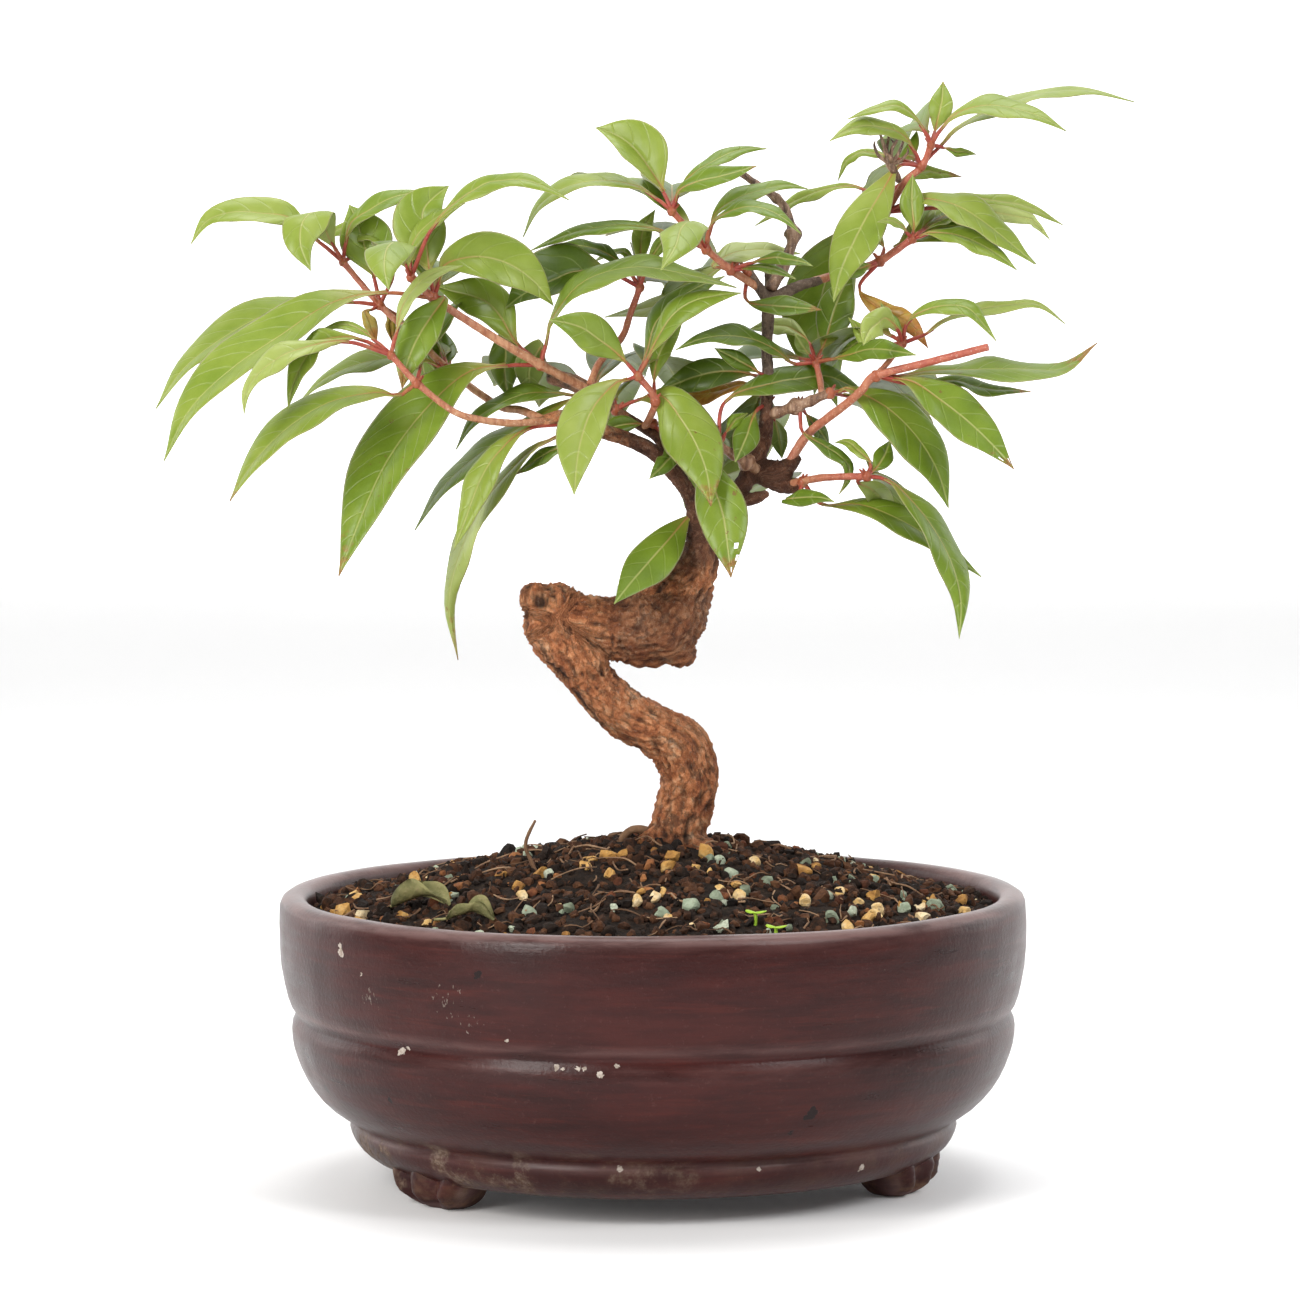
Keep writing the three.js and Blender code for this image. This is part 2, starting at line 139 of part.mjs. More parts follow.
  ["A2g","leaves_upper_left_middle",[[-57.4,-11.9,237.2],[-58.6,-10.2,244.1],[-59.4,-8.2,251],[-60.4,-6.7,255.7],[-60.3,-5.2,260.4],[-57.4,-3.5,264],[-53.6,-1.9,266.9]],[[-7.2,0,-1.2],[-7.2,0,-1.1],[-7.2,0,-1.1],[-7.2,-0.1,-0.4],[-6.8,0,2.5],[-5.2,0.1,5.1],[-4.4,0,5.8]],[[5.4,3.1,0.5],[5.4,3,0.3],[5.4,2.9,0.3],[5.4,2.2,-0.1],[5.3,-3,-1.3],[4.5,-4.6,-3.1],[4,-4.6,-3.8]]],
  ["A2j","leaves_upper_left_middle",[[-57.4,-11.9,237.2],[-55.9,-11.2,241.8],[-54.2,-10.4,246.2],[-46.1,-8.7,248.1],[-38,-7,246.3],[-31.1,-5.2,241.5],[-25.9,-3.3,235]],[[-6.2,0,1.9],[-5.8,-0.1,2.6],[-3.3,0,5.5],[0,0,6.5],[2.5,0,5.9],[4.3,0,4.8],[5.1,0,4]],[[5.2,-1.8,-1.5],[5,-3.4,-1.8],[3.2,-3.4,-4.4],[0.4,-3.5,-5.4],[-1.7,-3.5,-5.1],[-3.3,-3.5,-4.3],[-3.9,-3.5,-3.7]]],
  ["bk05","leaves_upper_left_middle",[[-57.4,-11.9,237.2],[-57.2,-8.9,239.8],[-56.9,-5.7,242],[-56.5,0.4,244.7],[-56.1,6.8,246],[-55.7,13.4,246],[-55.2,19.8,244.5]],[[8.7,-1.3,0.8],[8.7,-1.2,0.8],[8.7,-1.1,0.9],[8.7,-0.9,1],[8.7,-0.7,1],[8.7,-0.5,1],[8.7,-0.4,1]],[[-8.5,-1.2,2.1],[-8.5,-1.1,2.2],[-8.4,-0.7,2.4],[-8.4,-0.3,2.6],[-8.4,0.3,2.7],[-8.3,0.9,2.7],[-8.3,1.2,2.7]]],
  ["A1l","leaves_upper_left_base",[[-29.3,-4,219.3],[-35.8,-1.7,225],[-40.3,1,232.3],[-43.8,2.7,235.9],[-48.3,4.4,237.7],[-53.1,6.2,238.9],[-57.9,8,240.3]],[[-3.3,-2.7,-3.2],[-3.8,-2.7,-2.6],[-3.9,-2.6,-2.4],[-3.1,-2.7,-3.4],[-2.1,-2.7,-4.1],[-1.8,-2.7,-4.3],[-1.8,-2.6,-4.2]],[[3.6,0,4],[4.1,0,3.5],[4.2,-0.1,3.3],[3.1,0,4.4],[1.8,0.1,5.1],[1.5,0,5.2],[1.5,0,5.2]]],
  ["A1a","leaves_upper_left_base",[[-29.3,-4,219.3],[-39.5,-5.9,219.1],[-49.4,-8.3,217],[-61,-12.4,206.3],[-70.2,-16.7,193.5],[-76.7,-21.3,179.1],[-82.3,-26,164.4]],[[0.9,-7.3,-5.9],[1.8,-7.4,-5.7],[4,-7.2,-4.5],[5.2,-7.2,-3.1],[5.7,-7.1,-2],[5.8,-6,-1.4],[5.8,-4.9,-1.3]],[[-0.9,6.4,8.6],[-2.1,6.5,8.4],[-5.3,6.3,6.9],[-7.1,6.3,5],[-7.9,6.2,3.5],[-8.3,5.8,2.5],[-8.4,5.5,2.2]]],
  ["A1b","leaves_upper_left_base",[[-29.3,-4,219.3],[-29,-2.7,221.9],[-28.8,-1.4,224.6],[-31.1,0.9,221.4],[-32.6,3.3,217.9],[-32.6,5.7,214.1],[-32.2,8.2,210.3]],[[-3.8,0,0.4],[-3.7,0.1,0.1],[1.1,0,-3.6],[3.3,0,-1.8],[3.7,0,-0.7],[3.8,0,0.2],[3.7,0,0.4]],[[3.8,0,-0.4],[3.7,-0.1,-0.1],[-1.1,0,3.6],[-3.3,0,1.8],[-3.7,0,0.7],[-3.8,0,-0.2],[-3.7,0,-0.4]]],
  ["A1e","leaves_upper_left_base",[[-29.3,-4,219.3],[-33.6,-1,223],[-38.2,2.5,225.9],[-38.9,5.3,221.8],[-39.3,8.1,217.7],[-39,11,213.7],[-38.3,14,209.8]],[[-2.7,0,-3],[-2.3,0.1,-3.3],[0.8,-0.1,-4],[3.9,-0.2,-0.8],[4,0,0],[4,0,0.5],[4,0,0.7]],[[2.7,0,3],[2.3,-0.1,3.3],[-0.8,0.1,4],[-3.9,0.2,0.8],[-4,0,0],[-4,0,-0.5],[-4,0,-0.7]]],
  ["A1n","leaves_upper_left_base",[[-29.3,-4,219.3],[-27.9,-4.7,225.3],[-26.3,-5.5,231.3],[-17.7,-7.7,241.4],[-4.5,-10,245.1],[9.3,-12.5,243.2],[22.7,-15.1,239.7]],[[-2.8,5.3,1],[-2.7,6.4,1.3],[-2.1,7.4,2.3],[-0.9,7.4,2.9],[0.5,7.3,3],[1.3,7.3,2.8],[1.5,7.3,2.7]],[[2.6,-1.7,-0.7],[2.5,-4.6,-1.1],[1.8,-7.4,-2.1],[0.8,-7.4,-2.7],[-0.5,-7.3,-2.7],[-1.2,-7.3,-2.5],[-1.5,-7.3,-2.4]]],
  ["bk06","leaves_upper_left_base",[[-29.3,-4,219.3],[-29.5,0.9,219.7],[-29.6,5.7,219.6],[-29.9,13.8,218.3],[-30.2,21.5,215.8],[-30.5,28.7,211.9],[-30.7,35.1,207]],[[8.9,0.4,-0.4],[8.9,0.3,-0.4],[8.9,0.3,-0.4],[8.9,0.2,-0.4],[8.9,0.2,-0.4],[8.9,0.1,-0.3],[8.9,0.1,-0.3]],[[-7.9,-0.6,4.1],[-7.9,-0.4,4.1],[-8,0.1,4.1],[-8,0.7,4],[-8,1.3,3.8],[-8,1.9,3.5],[-8,2.2,3.3]]],
  ["bk07","leaves_upper_left_base",[[-29.3,-4,219.3],[-30.9,0.7,219.6],[-32.5,5.4,219.6],[-35.2,13.3,219],[-37.9,21,217.6],[-40.5,28.7,215.5],[-43.1,36.1,212.7]],[[7.6,2.6,0.5],[7.6,2.6,0.5],[7.6,2.6,0.5],[7.5,2.7,0.5],[7.5,2.7,0.5],[7.5,2.7,0.5],[7.5,2.8,0.5]],[[-7,-2.6,2.9],[-7,-2.5,2.9],[-7.1,-2.3,2.9],[-7.2,-2.1,2.9],[-7.3,-1.9,2.8],[-7.3,-1.6,2.8],[-7.4,-1.5,2.7]]],
  ["AA1","leaves_grey_bough_end",[[-16.3,0,210.9],[-19.6,-0.3,210.1],[-23,-0.5,209.3],[-34.6,-1.8,202.7],[-45.9,-3.2,195.5],[-55.8,-4.7,186.6],[-63.1,-6.2,175.4]],[[0.9,-7.5,-2.3],[1,-7.5,-2.2],[1.5,-7.5,-2],[1.6,-7.5,-1.8],[1.9,-7.5,-1.6],[2.2,-7.4,-1.2],[2.3,-7.4,-0.9]],[[-0.9,7.5,2.3],[-1,7.5,2.2],[-1.5,7.5,2],[-1.6,7.5,1.8],[-1.9,7.5,1.6],[-2.2,7.4,1.2],[-2.3,7.4,0.9]]],
  ["AA2","leaves_grey_bough_end",[[-16.3,0,210.9],[-20.3,-0.4,211.2],[-24.3,-0.8,211.5],[-32.7,-1.8,211.6],[-40.6,-2.9,208.7],[-47.5,-4.1,204],[-52,-5.3,196.9]],[[0.2,-5.3,-1.6],[0.2,-5.3,-1.6],[0.4,-5.3,-1.6],[0.7,-5.3,-1.5],[1.1,-5.3,-1.2],[1.5,-5.3,-0.8],[1.6,-5.3,-0.5]],[[-0.1,5,2.4],[-0.1,5,2.4],[-0.3,5,2.4],[-0.8,5,2.3],[-1.5,5,2],[-2,5,1.4],[-2.3,5,0.9]]],
  ["bk08","leaves_grey_bough_end",[[-16.3,0,210.9],[-14.7,6.4,214.3],[-13.1,13.2,217.1],[-10.2,25,219.9],[-7.3,37.1,220.5],[-4.3,49.2,218.7],[-1.5,60.7,214.8]],[[7,-2.7,1.9],[7,-2.6,1.9],[7.1,-2.3,2],[7.2,-2,2.1],[7.3,-1.7,2.1],[7.4,-1.3,2],[7.4,-1.1,2]],[[-7.6,1.3,1.1],[-7.6,1.3,1.1],[-7.5,1.5,1.2],[-7.5,1.6,1.2],[-7.4,1.9,1.2],[-7.4,2.1,1.2],[-7.3,2.2,1.2]]],
  ["AA4","leaf_left_bough_hanging",[[-18.9,-8,203.9],[-25.6,-7.2,200.1],[-32.3,-6.1,196.2],[-43.1,-3.8,184.6],[-50.6,-1.3,170.6],[-54.4,1.3,155.4],[-52.2,4,139.9]],[[0.9,-7.4,-2.6],[0.9,-7.4,-2.6],[1.3,-7.4,-2.4],[1.8,-7.4,-2.1],[2.4,-4.7,-1.4],[2.7,1.6,0],[2.6,4.7,0.9]],[[-0.8,7.4,2.3],[-0.8,7.4,2.3],[-1.2,7.4,2.2],[-1.6,7.4,1.9],[-2,6.4,1.4],[-2.4,4,0.5],[-2.4,-0.3,-0.4]]],
  ["AA3","leaves_left_bough_end",[[-23.7,-8,203.7],[-33.5,-10.2,202.2],[-40.9,-12.9,195.7],[-44.7,-14.9,190],[-47.3,-17,183.7],[-49.6,-19.2,177.3],[-52.2,-21.4,171]],[[0.9,-3.3,-3.1],[1.8,-3.3,-2.7],[2.7,-3.3,-1.8],[3.1,-3.2,-1.1],[3.2,-2.5,-0.8],[3.2,-2.3,-0.8],[3.2,-2.4,-0.8]],[[-0.9,3.1,3.4],[-1.9,3,3],[-2.9,3,2.1],[-3.3,3,1.2],[-3.4,2.7,0.8],[-3.4,2.7,0.8],[-3.4,2.7,0.9]]],
  ["AA5","leaves_left_bough_end",[[-23.7,-8,203.7],[-24,-7,200.6],[-24.3,-6,197.5],[-27.5,-4.6,195.8],[-30.6,-3.1,193.9],[-33.5,-1.6,191.8],[-36.5,0,189.8]],[[1.6,0.3,-0.1],[1.6,-0.5,-0.3],[1.1,-1.8,-1.3],[0.5,-1.8,-1.6],[0.5,-1.8,-1.6],[0.5,-1.8,-1.6],[0.5,-1.8,-1.6]],[[-1.6,1,0.3],[-1.6,1.4,0.5],[-1.1,1.8,1.3],[-0.5,1.8,1.6],[-0.5,1.8,1.6],[-0.5,1.8,1.6],[-0.5,1.8,1.6]]],
  ["Er","leaves_centre_shoot_tip",[[-2.9,14,239.8],[-11.3,11.3,243.8],[-20.3,8.2,244],[-25.3,6.2,242.1],[-30.1,4.1,240],[-34.7,2,237.5],[-38.8,-0.2,234.3]],[[-0.6,-6.8,-3.9],[0.4,-6.7,-4],[1.7,-6.6,-3.6],[2.6,-6.6,-3],[3,-6.6,-2.7],[3.3,-6.5,-2.3],[3.5,-6.5,-2.1]],[[3.4,0,7.3],[1.8,0,7.9],[-0.7,-0.1,8],[-2.8,-0.1,7.6],[-3.6,0,7.2],[-4.4,0,6.8],[-4.9,0,6.4]]],
  ["Es","leaves_centre_shoot_tip",[[-2.9,14,239.8],[-6.2,16.1,244.4],[-10.4,18.6,247.9],[-14.6,20.8,250],[-19.2,23.2,250.9],[-23.8,25.6,250.9],[-28.4,28,250.5]],[[-1.9,-2.7,-0.6],[-1.8,-2.6,-0.9],[-1.6,-2.6,-1.2],[-1.3,-2.5,-1.6],[-0.9,-2.5,-1.8],[-0.6,-2.5,-1.9],[-0.5,-2.5,-1.9]],[[1.9,2.7,0.6],[1.8,2.6,0.9],[1.6,2.6,1.2],[1.3,2.5,1.6],[0.9,2.5,1.8],[0.6,2.5,1.9],[0.5,2.5,1.9]]],
  ["E1","leaves_centre_shoot_tip",[[-2.9,14,239.8],[-2.8,17,245.6],[-2.6,20.5,251.2],[-2.3,22.3,253.9],[-1.4,24.2,256.4],[0,26.1,258.6],[1.4,27.9,260.9]],[[-2.4,0,0],[-2.4,0,0.1],[-2.4,0,0.2],[-2.4,0,0.5],[-2.2,0,1],[-2.1,0,1.3],[-2,0,1.3]],[[2.4,0,0],[2.4,0,-0.1],[2.4,0,-0.2],[2.4,0,-0.5],[2.2,0,-1],[2.1,0,-1.3],[2,0,-1.3]]],
  ["E2","leaves_centre_shoot_tip",[[-2.9,14,239.8],[-0.5,11.4,246.3],[3.1,8.5,251.9],[4.3,7.8,252.3],[5.5,7.2,252.7],[6.7,6.6,253.1],[7.9,6,253.5]],[[-1.5,0,0.6],[-1.4,0,0.7],[-1.3,0,1],[-0.7,-0.1,1.4],[-0.5,0,1.5],[-0.5,0,1.5],[-0.5,0,1.5]],[[1.5,0,-0.6],[1.4,0,-0.7],[1.3,0,-1],[0.7,0.1,-1.4],[0.5,0,-1.5],[0.5,0,-1.5],[0.5,0,-1.5]]],
  ["E3","leaves_centre_shoot_tip",[[-2.9,14,239.8],[-3.8,18.7,245.2],[-6.9,23.9,249],[-9.2,26.3,249],[-11.5,28.9,248.8],[-13.5,31.4,247.8],[-15.4,34,246.6]],[[-1.1,-0.1,-0.1],[-1.2,-1.2,0],[-1.2,-1.3,-0.5],[-0.7,-1.4,-1.1],[-0.3,-1.3,-1.2],[0,-1.3,-1.2],[0.1,-1.3,-1.2]],[[1.1,1,-0.2],[1.2,1.3,-0.1],[1.2,1.3,0.5],[0.7,1.4,1.1],[0.3,1.3,1.2],[0,1.3,1.2],[-0.1,1.3,1.2]]],
  ["bk09","leaves_centre_shoot_tip",[[-2.9,14,239.8],[-2.1,19.6,241.5],[-1.3,25.4,242.7],[0,35.1,243.8],[1.3,44.9,243.7],[2.6,54.6,242.3],[3.9,64.1,239.8]],[[8.6,0.1,-4.3],[8.5,-0.1,-4.3],[8.5,-0.5,-4.4],[8.4,-0.9,-4.4],[8.3,-1.5,-4.4],[8.3,-2,-4.4],[8.2,-2.3,-4.3]],[[-6,-1.3,7.3],[-6,-1.1,7.4],[-5.9,-0.3,7.5],[-5.8,0.4,7.6],[-5.7,1.3,7.6],[-5.6,2.3,7.4],[-5.5,2.7,7.3]]],
  ["D1t","leaves_crown_shoot_middle",[[14.8,-4,249.9],[3.7,-1.2,254.7],[-8.1,2.1,256.2],[-14.5,4,255.6],[-20.6,6,254.3],[-26.6,8,252.1],[-32.4,10,249.6]],[[-1.1,-3.9,-1.3],[-1,-3.9,-1.4],[-0.8,-3.9,-1.6],[-0.5,-3.9,-1.7],[-0.2,-3.9,-1.7],[-0.1,-3.8,-1.8],[0,-3.8,-1.8]],[[1.1,3.9,1.3],[1,3.9,1.4],[0.8,3.9,1.6],[0.5,3.9,1.7],[0.2,3.9,1.7],[0.1,3.8,1.8],[0,3.8,1.8]]],
  ["D1u","leaves_crown_shoot_middle",[[14.8,-4,249.9],[13.8,-7.1,251.8],[12.9,-10.1,253.6],[10.6,-19,257.1],[8,-28.3,255.1],[6.4,-36.7,250.3],[2.7,-43.8,244.5]],[[-5.4,0.5,-1.9],[-5.4,0.5,-1.9],[-5.4,0.6,-1.9],[-5.2,1.3,-1.7],[-5.1,1.6,-1],[-4.9,1.9,-0.3],[-4.6,2.3,0.2]],[[5,-1.9,-0.5],[5,-1.9,-0.5],[5.1,-1.7,-0.8],[5.2,-1.5,-1.5],[5.4,-0.6,-1.8],[5.4,-0.5,-2],[5.3,-0.9,-2.3]]],
  ["D1b","leaves_crown_shoot_middle",[[14.8,-4,249.9],[15.9,-2.9,255.1],[18,-1.6,259.8],[23.4,0.2,263.3],[29.5,2.1,265.4],[35.9,4,266.7],[42.2,6,265.9]],[[-2.4,2.5,0.2],[-2.4,3.3,0.4],[-2.2,3.6,1.2],[-1.6,3.6,1.9],[-1.2,3.5,2.2],[-0.7,3.5,2.4],[-0.3,3.5,2.5]],[[1.6,-0.8,-0.2],[1.6,-3.1,-0.2],[1.6,-4,-0.6],[1.3,-4,-1.1],[1.1,-3.9,-1.4],[0.8,-3.9,-1.6],[0.5,-3.9,-1.7]]],
  ["D1c","leaves_crown_shoot_middle",[[14.8,-4,249.9],[16,-5.2,256.3],[21.1,-6.6,259.7],[26.3,-7.9,261],[31.4,-9.2,260],[35.9,-10.6,257.3],[39.8,-12,253.8]],[[-1.8,2,0.6],[-1.4,3,1.4],[-0.4,2.9,1.9],[0.4,2.9,1.9],[1.1,2.9,1.6],[1.5,2.9,1.3],[1.6,2.9,1.1]],[[1.6,-0.4,-0.3],[1.1,-3.1,-1.2],[0.3,-3.1,-1.6],[-0.4,-3.1,-1.6],[-1,-3.1,-1.3],[-1.3,-3.1,-1],[-1.4,-3.1,-0.9]]],
  ["bk10","leaves_crown_shoot_middle",[[14.8,-4,249.9],[11,0,255],[6.8,4.4,259.3],[-1,12.5,264.7],[-9.3,21.3,267.7],[-17.9,30.3,268.2],[-26.4,39.2,266]],[[6.7,5.5,0.6],[6.6,5.6,0.7],[6.6,5.7,0.8],[6.5,5.8,0.8],[6.4,5.9,0.9],[6.2,6,0.9],[6.2,6.1,0.9]],[[-4.6,-7.1,2.1],[-4.7,-7,2.2],[-5,-6.7,2.5],[-5.3,-6.4,2.7],[-5.7,-6,2.8],[-6.1,-5.5,2.8],[-6.3,-5.3,2.8]]],
  ["D2v","leaves_crown_shoot_tip",[[5.7,-8,260],[1.1,-7.1,263.8],[-4.1,-6,266.7],[-13.2,-4.2,268.1],[-22.2,-2.2,266.5],[-29.7,-0.1,261.4],[-34,2,253.3]],[[-1.4,-5.9,-0.9],[-1.4,-5.9,-1],[-1.1,-5.9,-1.4],[-0.7,-5.8,-1.6],[-0.1,-5.8,-1.8],[0.6,-5.8,-1.7],[1,-5.8,-1.5]],[[1.9,5.7,1.5],[1.8,5.6,1.7],[1.3,5.6,2.1],[0.6,5.6,2.4],[-0.3,5.6,2.5],[-1.3,5.6,2.2],[-1.8,5.5,1.8]]],
  ["D2w","leaves_crown_shoot_tip",[[5.7,-8,260],[3.2,-6.7,265.7],[-0.1,-5.2,270.9],[-2.8,-4,274.8],[-6.1,-2.7,278.2],[-10.1,-1.4,280.6],[-14.5,0,282.2]],[[-3.2,-5.6,-0.7],[-3.2,-6.3,-0.8],[-3.2,-6.3,-1],[-3.1,-6.2,-1.3],[-2.8,-6.2,-1.9],[-2.4,-6.2,-2.5],[-2.1,-6.2,-2.7]],[[6.6,0,3],[6.4,0,3.4],[6.1,0,4],[5.6,0,4.7],[4.5,0,5.7],[3.2,0,6.5],[2.4,0,6.9]]],
  ["D2x1","leaves_crown_shoot_tip",[[5.7,-8,260],[6.8,-8.7,262.8],[7.9,-9.4,265.5],[12.8,-10.9,267.7],[18,-12.5,268.8],[23.1,-14.2,270.1],[28.1,-16,271.7]],[[-2.4,2.1,1.2],[-2.3,2.5,1.4],[-1.4,2.4,2.3],[-0.5,2.4,2.7],[-0.2,2.3,2.7],[-0.3,2.4,2.7],[-0.4,2.3,2.7]],[[1.9,-2,-1],[1.8,-2.9,-1.3],[1,-2.9,-2],[0.2,-2.8,-2.2],[0,-2.8,-2.2],[0.1,-2.8,-2.2],[0.1,-2.8,-2.2]]],
  ["D2x2","leaves_crown_shoot_tip",[[5.7,-8,260],[8,-6.2,266],[12.4,-4,270.4],[16.8,-2.1,273],[21.3,-0.1,275.3],[26.2,1.9,276.4],[31.2,4,276.6]],[[-1.7,2.7,0.2],[-1.7,3,0.4],[-1.5,3,0.8],[-1.3,3,1.1],[-1.2,2.9,1.3],[-0.9,2.9,1.5],[-0.7,2.9,1.6]],[[1.6,-2.1,-0.2],[1.7,-3,-0.4],[1.5,-3,-0.8],[1.3,-3,-1.1],[1.2,-2.9,-1.3],[0.9,-2.9,-1.5],[0.7,-2.9,-1.6]]],
  ["bk11","leaves_crown_shoot_tip",[[5.7,-8,260],[5.8,-2.3,262.4],[5.8,3.6,264.3],[5.8,13.6,266.5],[5.9,23.9,267.4],[5.9,34.2,266.9],[5.9,44.4,265.1]],[[8,-0.3,0.6],[8,-0.2,0.6],[8.1,-0.2,0.6],[8.1,-0.1,0.6],[8.1,0,0.6],[8.1,0,0.6],[8.1,0.1,0.6]],[[-7.6,-1.1,2.6],[-7.6,-1,2.7],[-7.6,-0.7,2.7],[-7.6,-0.4,2.8],[-7.6,0,2.8],[-7.6,0.3,2.8],[-7.6,0.5,2.8]]],
  ["D0a","leaves_crown_shoot_base",[[21.5,0,244.3],[27.3,-3.2,246.4],[33.1,-6.9,247.5],[35.6,-8.6,247.1],[38.1,-10.4,246.7],[40.6,-12.2,246.2],[42.9,-14,245.3]],[[-0.2,1.1,1.6],[-0.1,1.1,1.6],[0.2,1,1.6],[0.5,1,1.5],[0.7,1,1.5],[0.8,1,1.5],[0.9,1,1.4]],[[0.2,-1.1,-1.6],[0.1,-1.1,-1.6],[-0.2,-1,-1.6],[-0.5,-1,-1.5],[-0.7,-1,-1.5],[-0.8,-1,-1.5],[-0.9,-1,-1.4]]],
  ["D0b","leaves_crown_shoot_base",[[21.5,0,244.3],[24,-1.2,244.6],[26.5,-2.4,244.9],[29.7,-4.2,244.9],[32.8,-6.1,244.3],[35.7,-8,243.1],[38.5,-10,241.9]],[[0.4,1.9,1.1],[0.4,1.9,1.1],[0.5,1.8,1.1],[0.7,1.8,1],[0.8,1.7,0.9],[0.9,1.7,0.8],[0.9,1.7,0.8]],[[-0.4,-1.9,-1.1],[-0.4,-1.9,-1.1],[-0.5,-1.8,-1.1],[-0.7,-1.8,-1],[-0.8,-1.7,-0.9],[-0.9,-1.7,-0.8],[-0.9,-1.7,-0.8]]],
  ["D0c","leaves_crown_shoot_base",[[21.5,0,244.3],[19,1.3,244.9],[16.4,2.6,245.4],[22,6.5,248.7],[28.2,10.6,249.7],[34.4,14.9,249.4],[40.5,19.2,248.6]],[[-1.5,-3.8,-2.2],[-1.9,-4,-2],[-2.6,2.9,0.6],[-1.9,3.6,1.9],[-1.4,3.5,2.3],[-1,3.5,2.5],[-0.9,3.5,2.6]],[[1.5,3.8,2.2],[1.9,4,2],[2.6,-2.9,-0.6],[1.9,-3.6,-1.9],[1.4,-3.5,-2.3],[1,-3.5,-2.5],[0.9,-3.5,-2.6]]],
  ["bk12","leaves_crown_shoot_base",[[21.5,0,244.3],[17.9,4.7,247.6],[14.2,9.6,250.4],[7.8,18.2,253.7],[1.1,27.1,255.4],[-5.7,36.1,255.4],[-12.4,45,253.8]],[[7.1,4.2,1.7],[7.1,4.2,1.7],[7,4.4,1.8],[6.8,4.6,1.9],[6.6,4.8,1.9],[6.5,5,1.9],[6.4,5.2,1.9]],[[-6.1,-5.6,1.5],[-6.2,-5.6,1.5],[-6.3,-5.4,1.6],[-6.4,-5.3,1.6],[-6.5,-5.1,1.7],[-6.7,-4.9,1.7],[-6.8,-4.8,1.7]]],
  ["R11","leaves_top_fork",[[26.1,5,243.5],[25.7,2.3,236.1],[33.2,-1.1,234.7],[36.3,-2.5,234.5],[39.4,-4,234.2],[42.5,-5.5,234],[45.5,-7,233.7]],[[2.7,0,-0.1],[2.1,0,1.6],[0.7,0.1,2.6],[0.3,0,2.7],[0.2,0,2.7],[0.2,0,2.7],[0.2,0,2.7]],[[-2.2,0.8,0],[-2,-1.4,-1],[-0.9,-1.5,-2],[-0.6,-1.5,-2.1],[-0.6,-1.4,-2.1],[-0.6,-1.4,-2.1],[-0.6,-1.4,-2.1]]],
  ["DKa","leaves_top_fork",[[26.1,5,243.5],[23.2,7,246.9],[18.7,9.3,244.9],[11.3,13.9,240.1],[4.1,18.8,235.5],[-4.2,23.8,233.4],[-12.5,29,231.6]],[[-2.5,-5.6,-0.4],[-1.8,-5.2,-1.8],[-0.3,-5.5,-2.6],[-0.2,-5.3,-2.7],[-0.6,-5.2,-2.6],[-1,-5.2,-2.5],[-1.2,-5.2,-2.4]],[[2.5,5.6,0.4],[1.8,5.2,1.8],[0.3,5.5,2.6],[0.2,5.3,2.7],[0.6,5.2,2.6],[1,5.2,2.5],[1.2,5.2,2.4]]],
  ["bk13","leaves_top_fork",[[26.1,5,243.5],[22.9,9.8,245.5],[19.5,14.9,246.2],[13.9,23.2,244],[9.3,30.2,238.3],[6.2,34.8,229.7],[5.1,36.5,219.7]],[[6.2,2.3,4.5],[5.9,2.7,4.6],[5.1,3.9,4.7],[4.3,5.1,4.4],[3.5,6.4,3.3],[2.9,7.2,1.8],[2.8,7.4,0.9]],[[-6.8,-3.9,-1.5],[-6.7,-4.1,-1.6],[-6.4,-4.5,-1.6],[-6.2,-4.9,-1.5],[-5.9,-5.3,-1.1],[-5.7,-5.6,-0.6],[-5.6,-5.7,-0.3]]],
  ["F1","leaves_front_shoot_tip",[[-3.4,-10,216.4],[-6.7,-11.4,220.2],[-10.3,-13,223.6],[-14.1,-14.6,226.4],[-17.9,-16.3,229.1],[-22.2,-18.2,230.6],[-26.8,-20,231.4]],[[-3.1,-1.5,-3],[-2.9,-1.5,-3.2],[-2.5,-1.4,-3.5],[-2.2,-1.5,-3.7],[-1.6,-1.4,-4],[-0.8,-1.4,-4.2],[-0.5,-1.4,-4.3]],[[3.5,0,3],[3.3,0,3.2],[2.9,0,3.5],[2.6,0,3.7],[2,0,4.1],[1.2,0,4.4],[0.8,0,4.5]]],
  ["F2p","leaves_front_shoot_tip",[[-3.4,-10,216.4],[-2.1,-9.2,219.8],[-0.8,-8.5,223.2],[1.4,-6.6,230.4],[6.5,-4.6,235.9],[12.9,-2.4,239.9],[19.8,-0.3,242.7]],[[-2.7,3.8,0.5],[-2.7,3.7,0.5],[-2.7,3.8,0.4],[-2.6,4.2,0.8],[-2.3,4.2,1.6],[-1.9,4.2,2.1],[-1.7,4.2,2.2]],[[3.4,-2.6,-1],[3.4,-2.4,-1],[3.4,-2.8,-0.8],[3.3,-3.6,-1.3],[2.7,-3.6,-2.3],[2.2,-3.6,-2.8],[1.9,-3.6,-3]]],
  ["F2","leaves_front_shoot_tip",[[-3.4,-10,216.4],[-0.4,-10.5,221.8],[2.4,-11.1,227.2],[6.1,-11.8,232.6],[11.4,-12.6,236.1],[17.6,-13.4,237.5],[24,-14.1,238.3]],[[-2.3,3.3,1.5],[-2.3,3.3,1.5],[-2.2,3.3,1.6],[-1.7,3.3,2.1],[-0.9,3.3,2.6],[-0.3,3.3,2.7],[-0.1,3.3,2.7]],[[2.8,-2.8,-1.7],[2.8,-2.8,-1.7],[2.6,-2.8,-1.9],[2.1,-2.8,-2.5],[1.1,-2.8,-3],[0.4,-2.8,-3.2],[0.2,-2.8,-3.2]]],
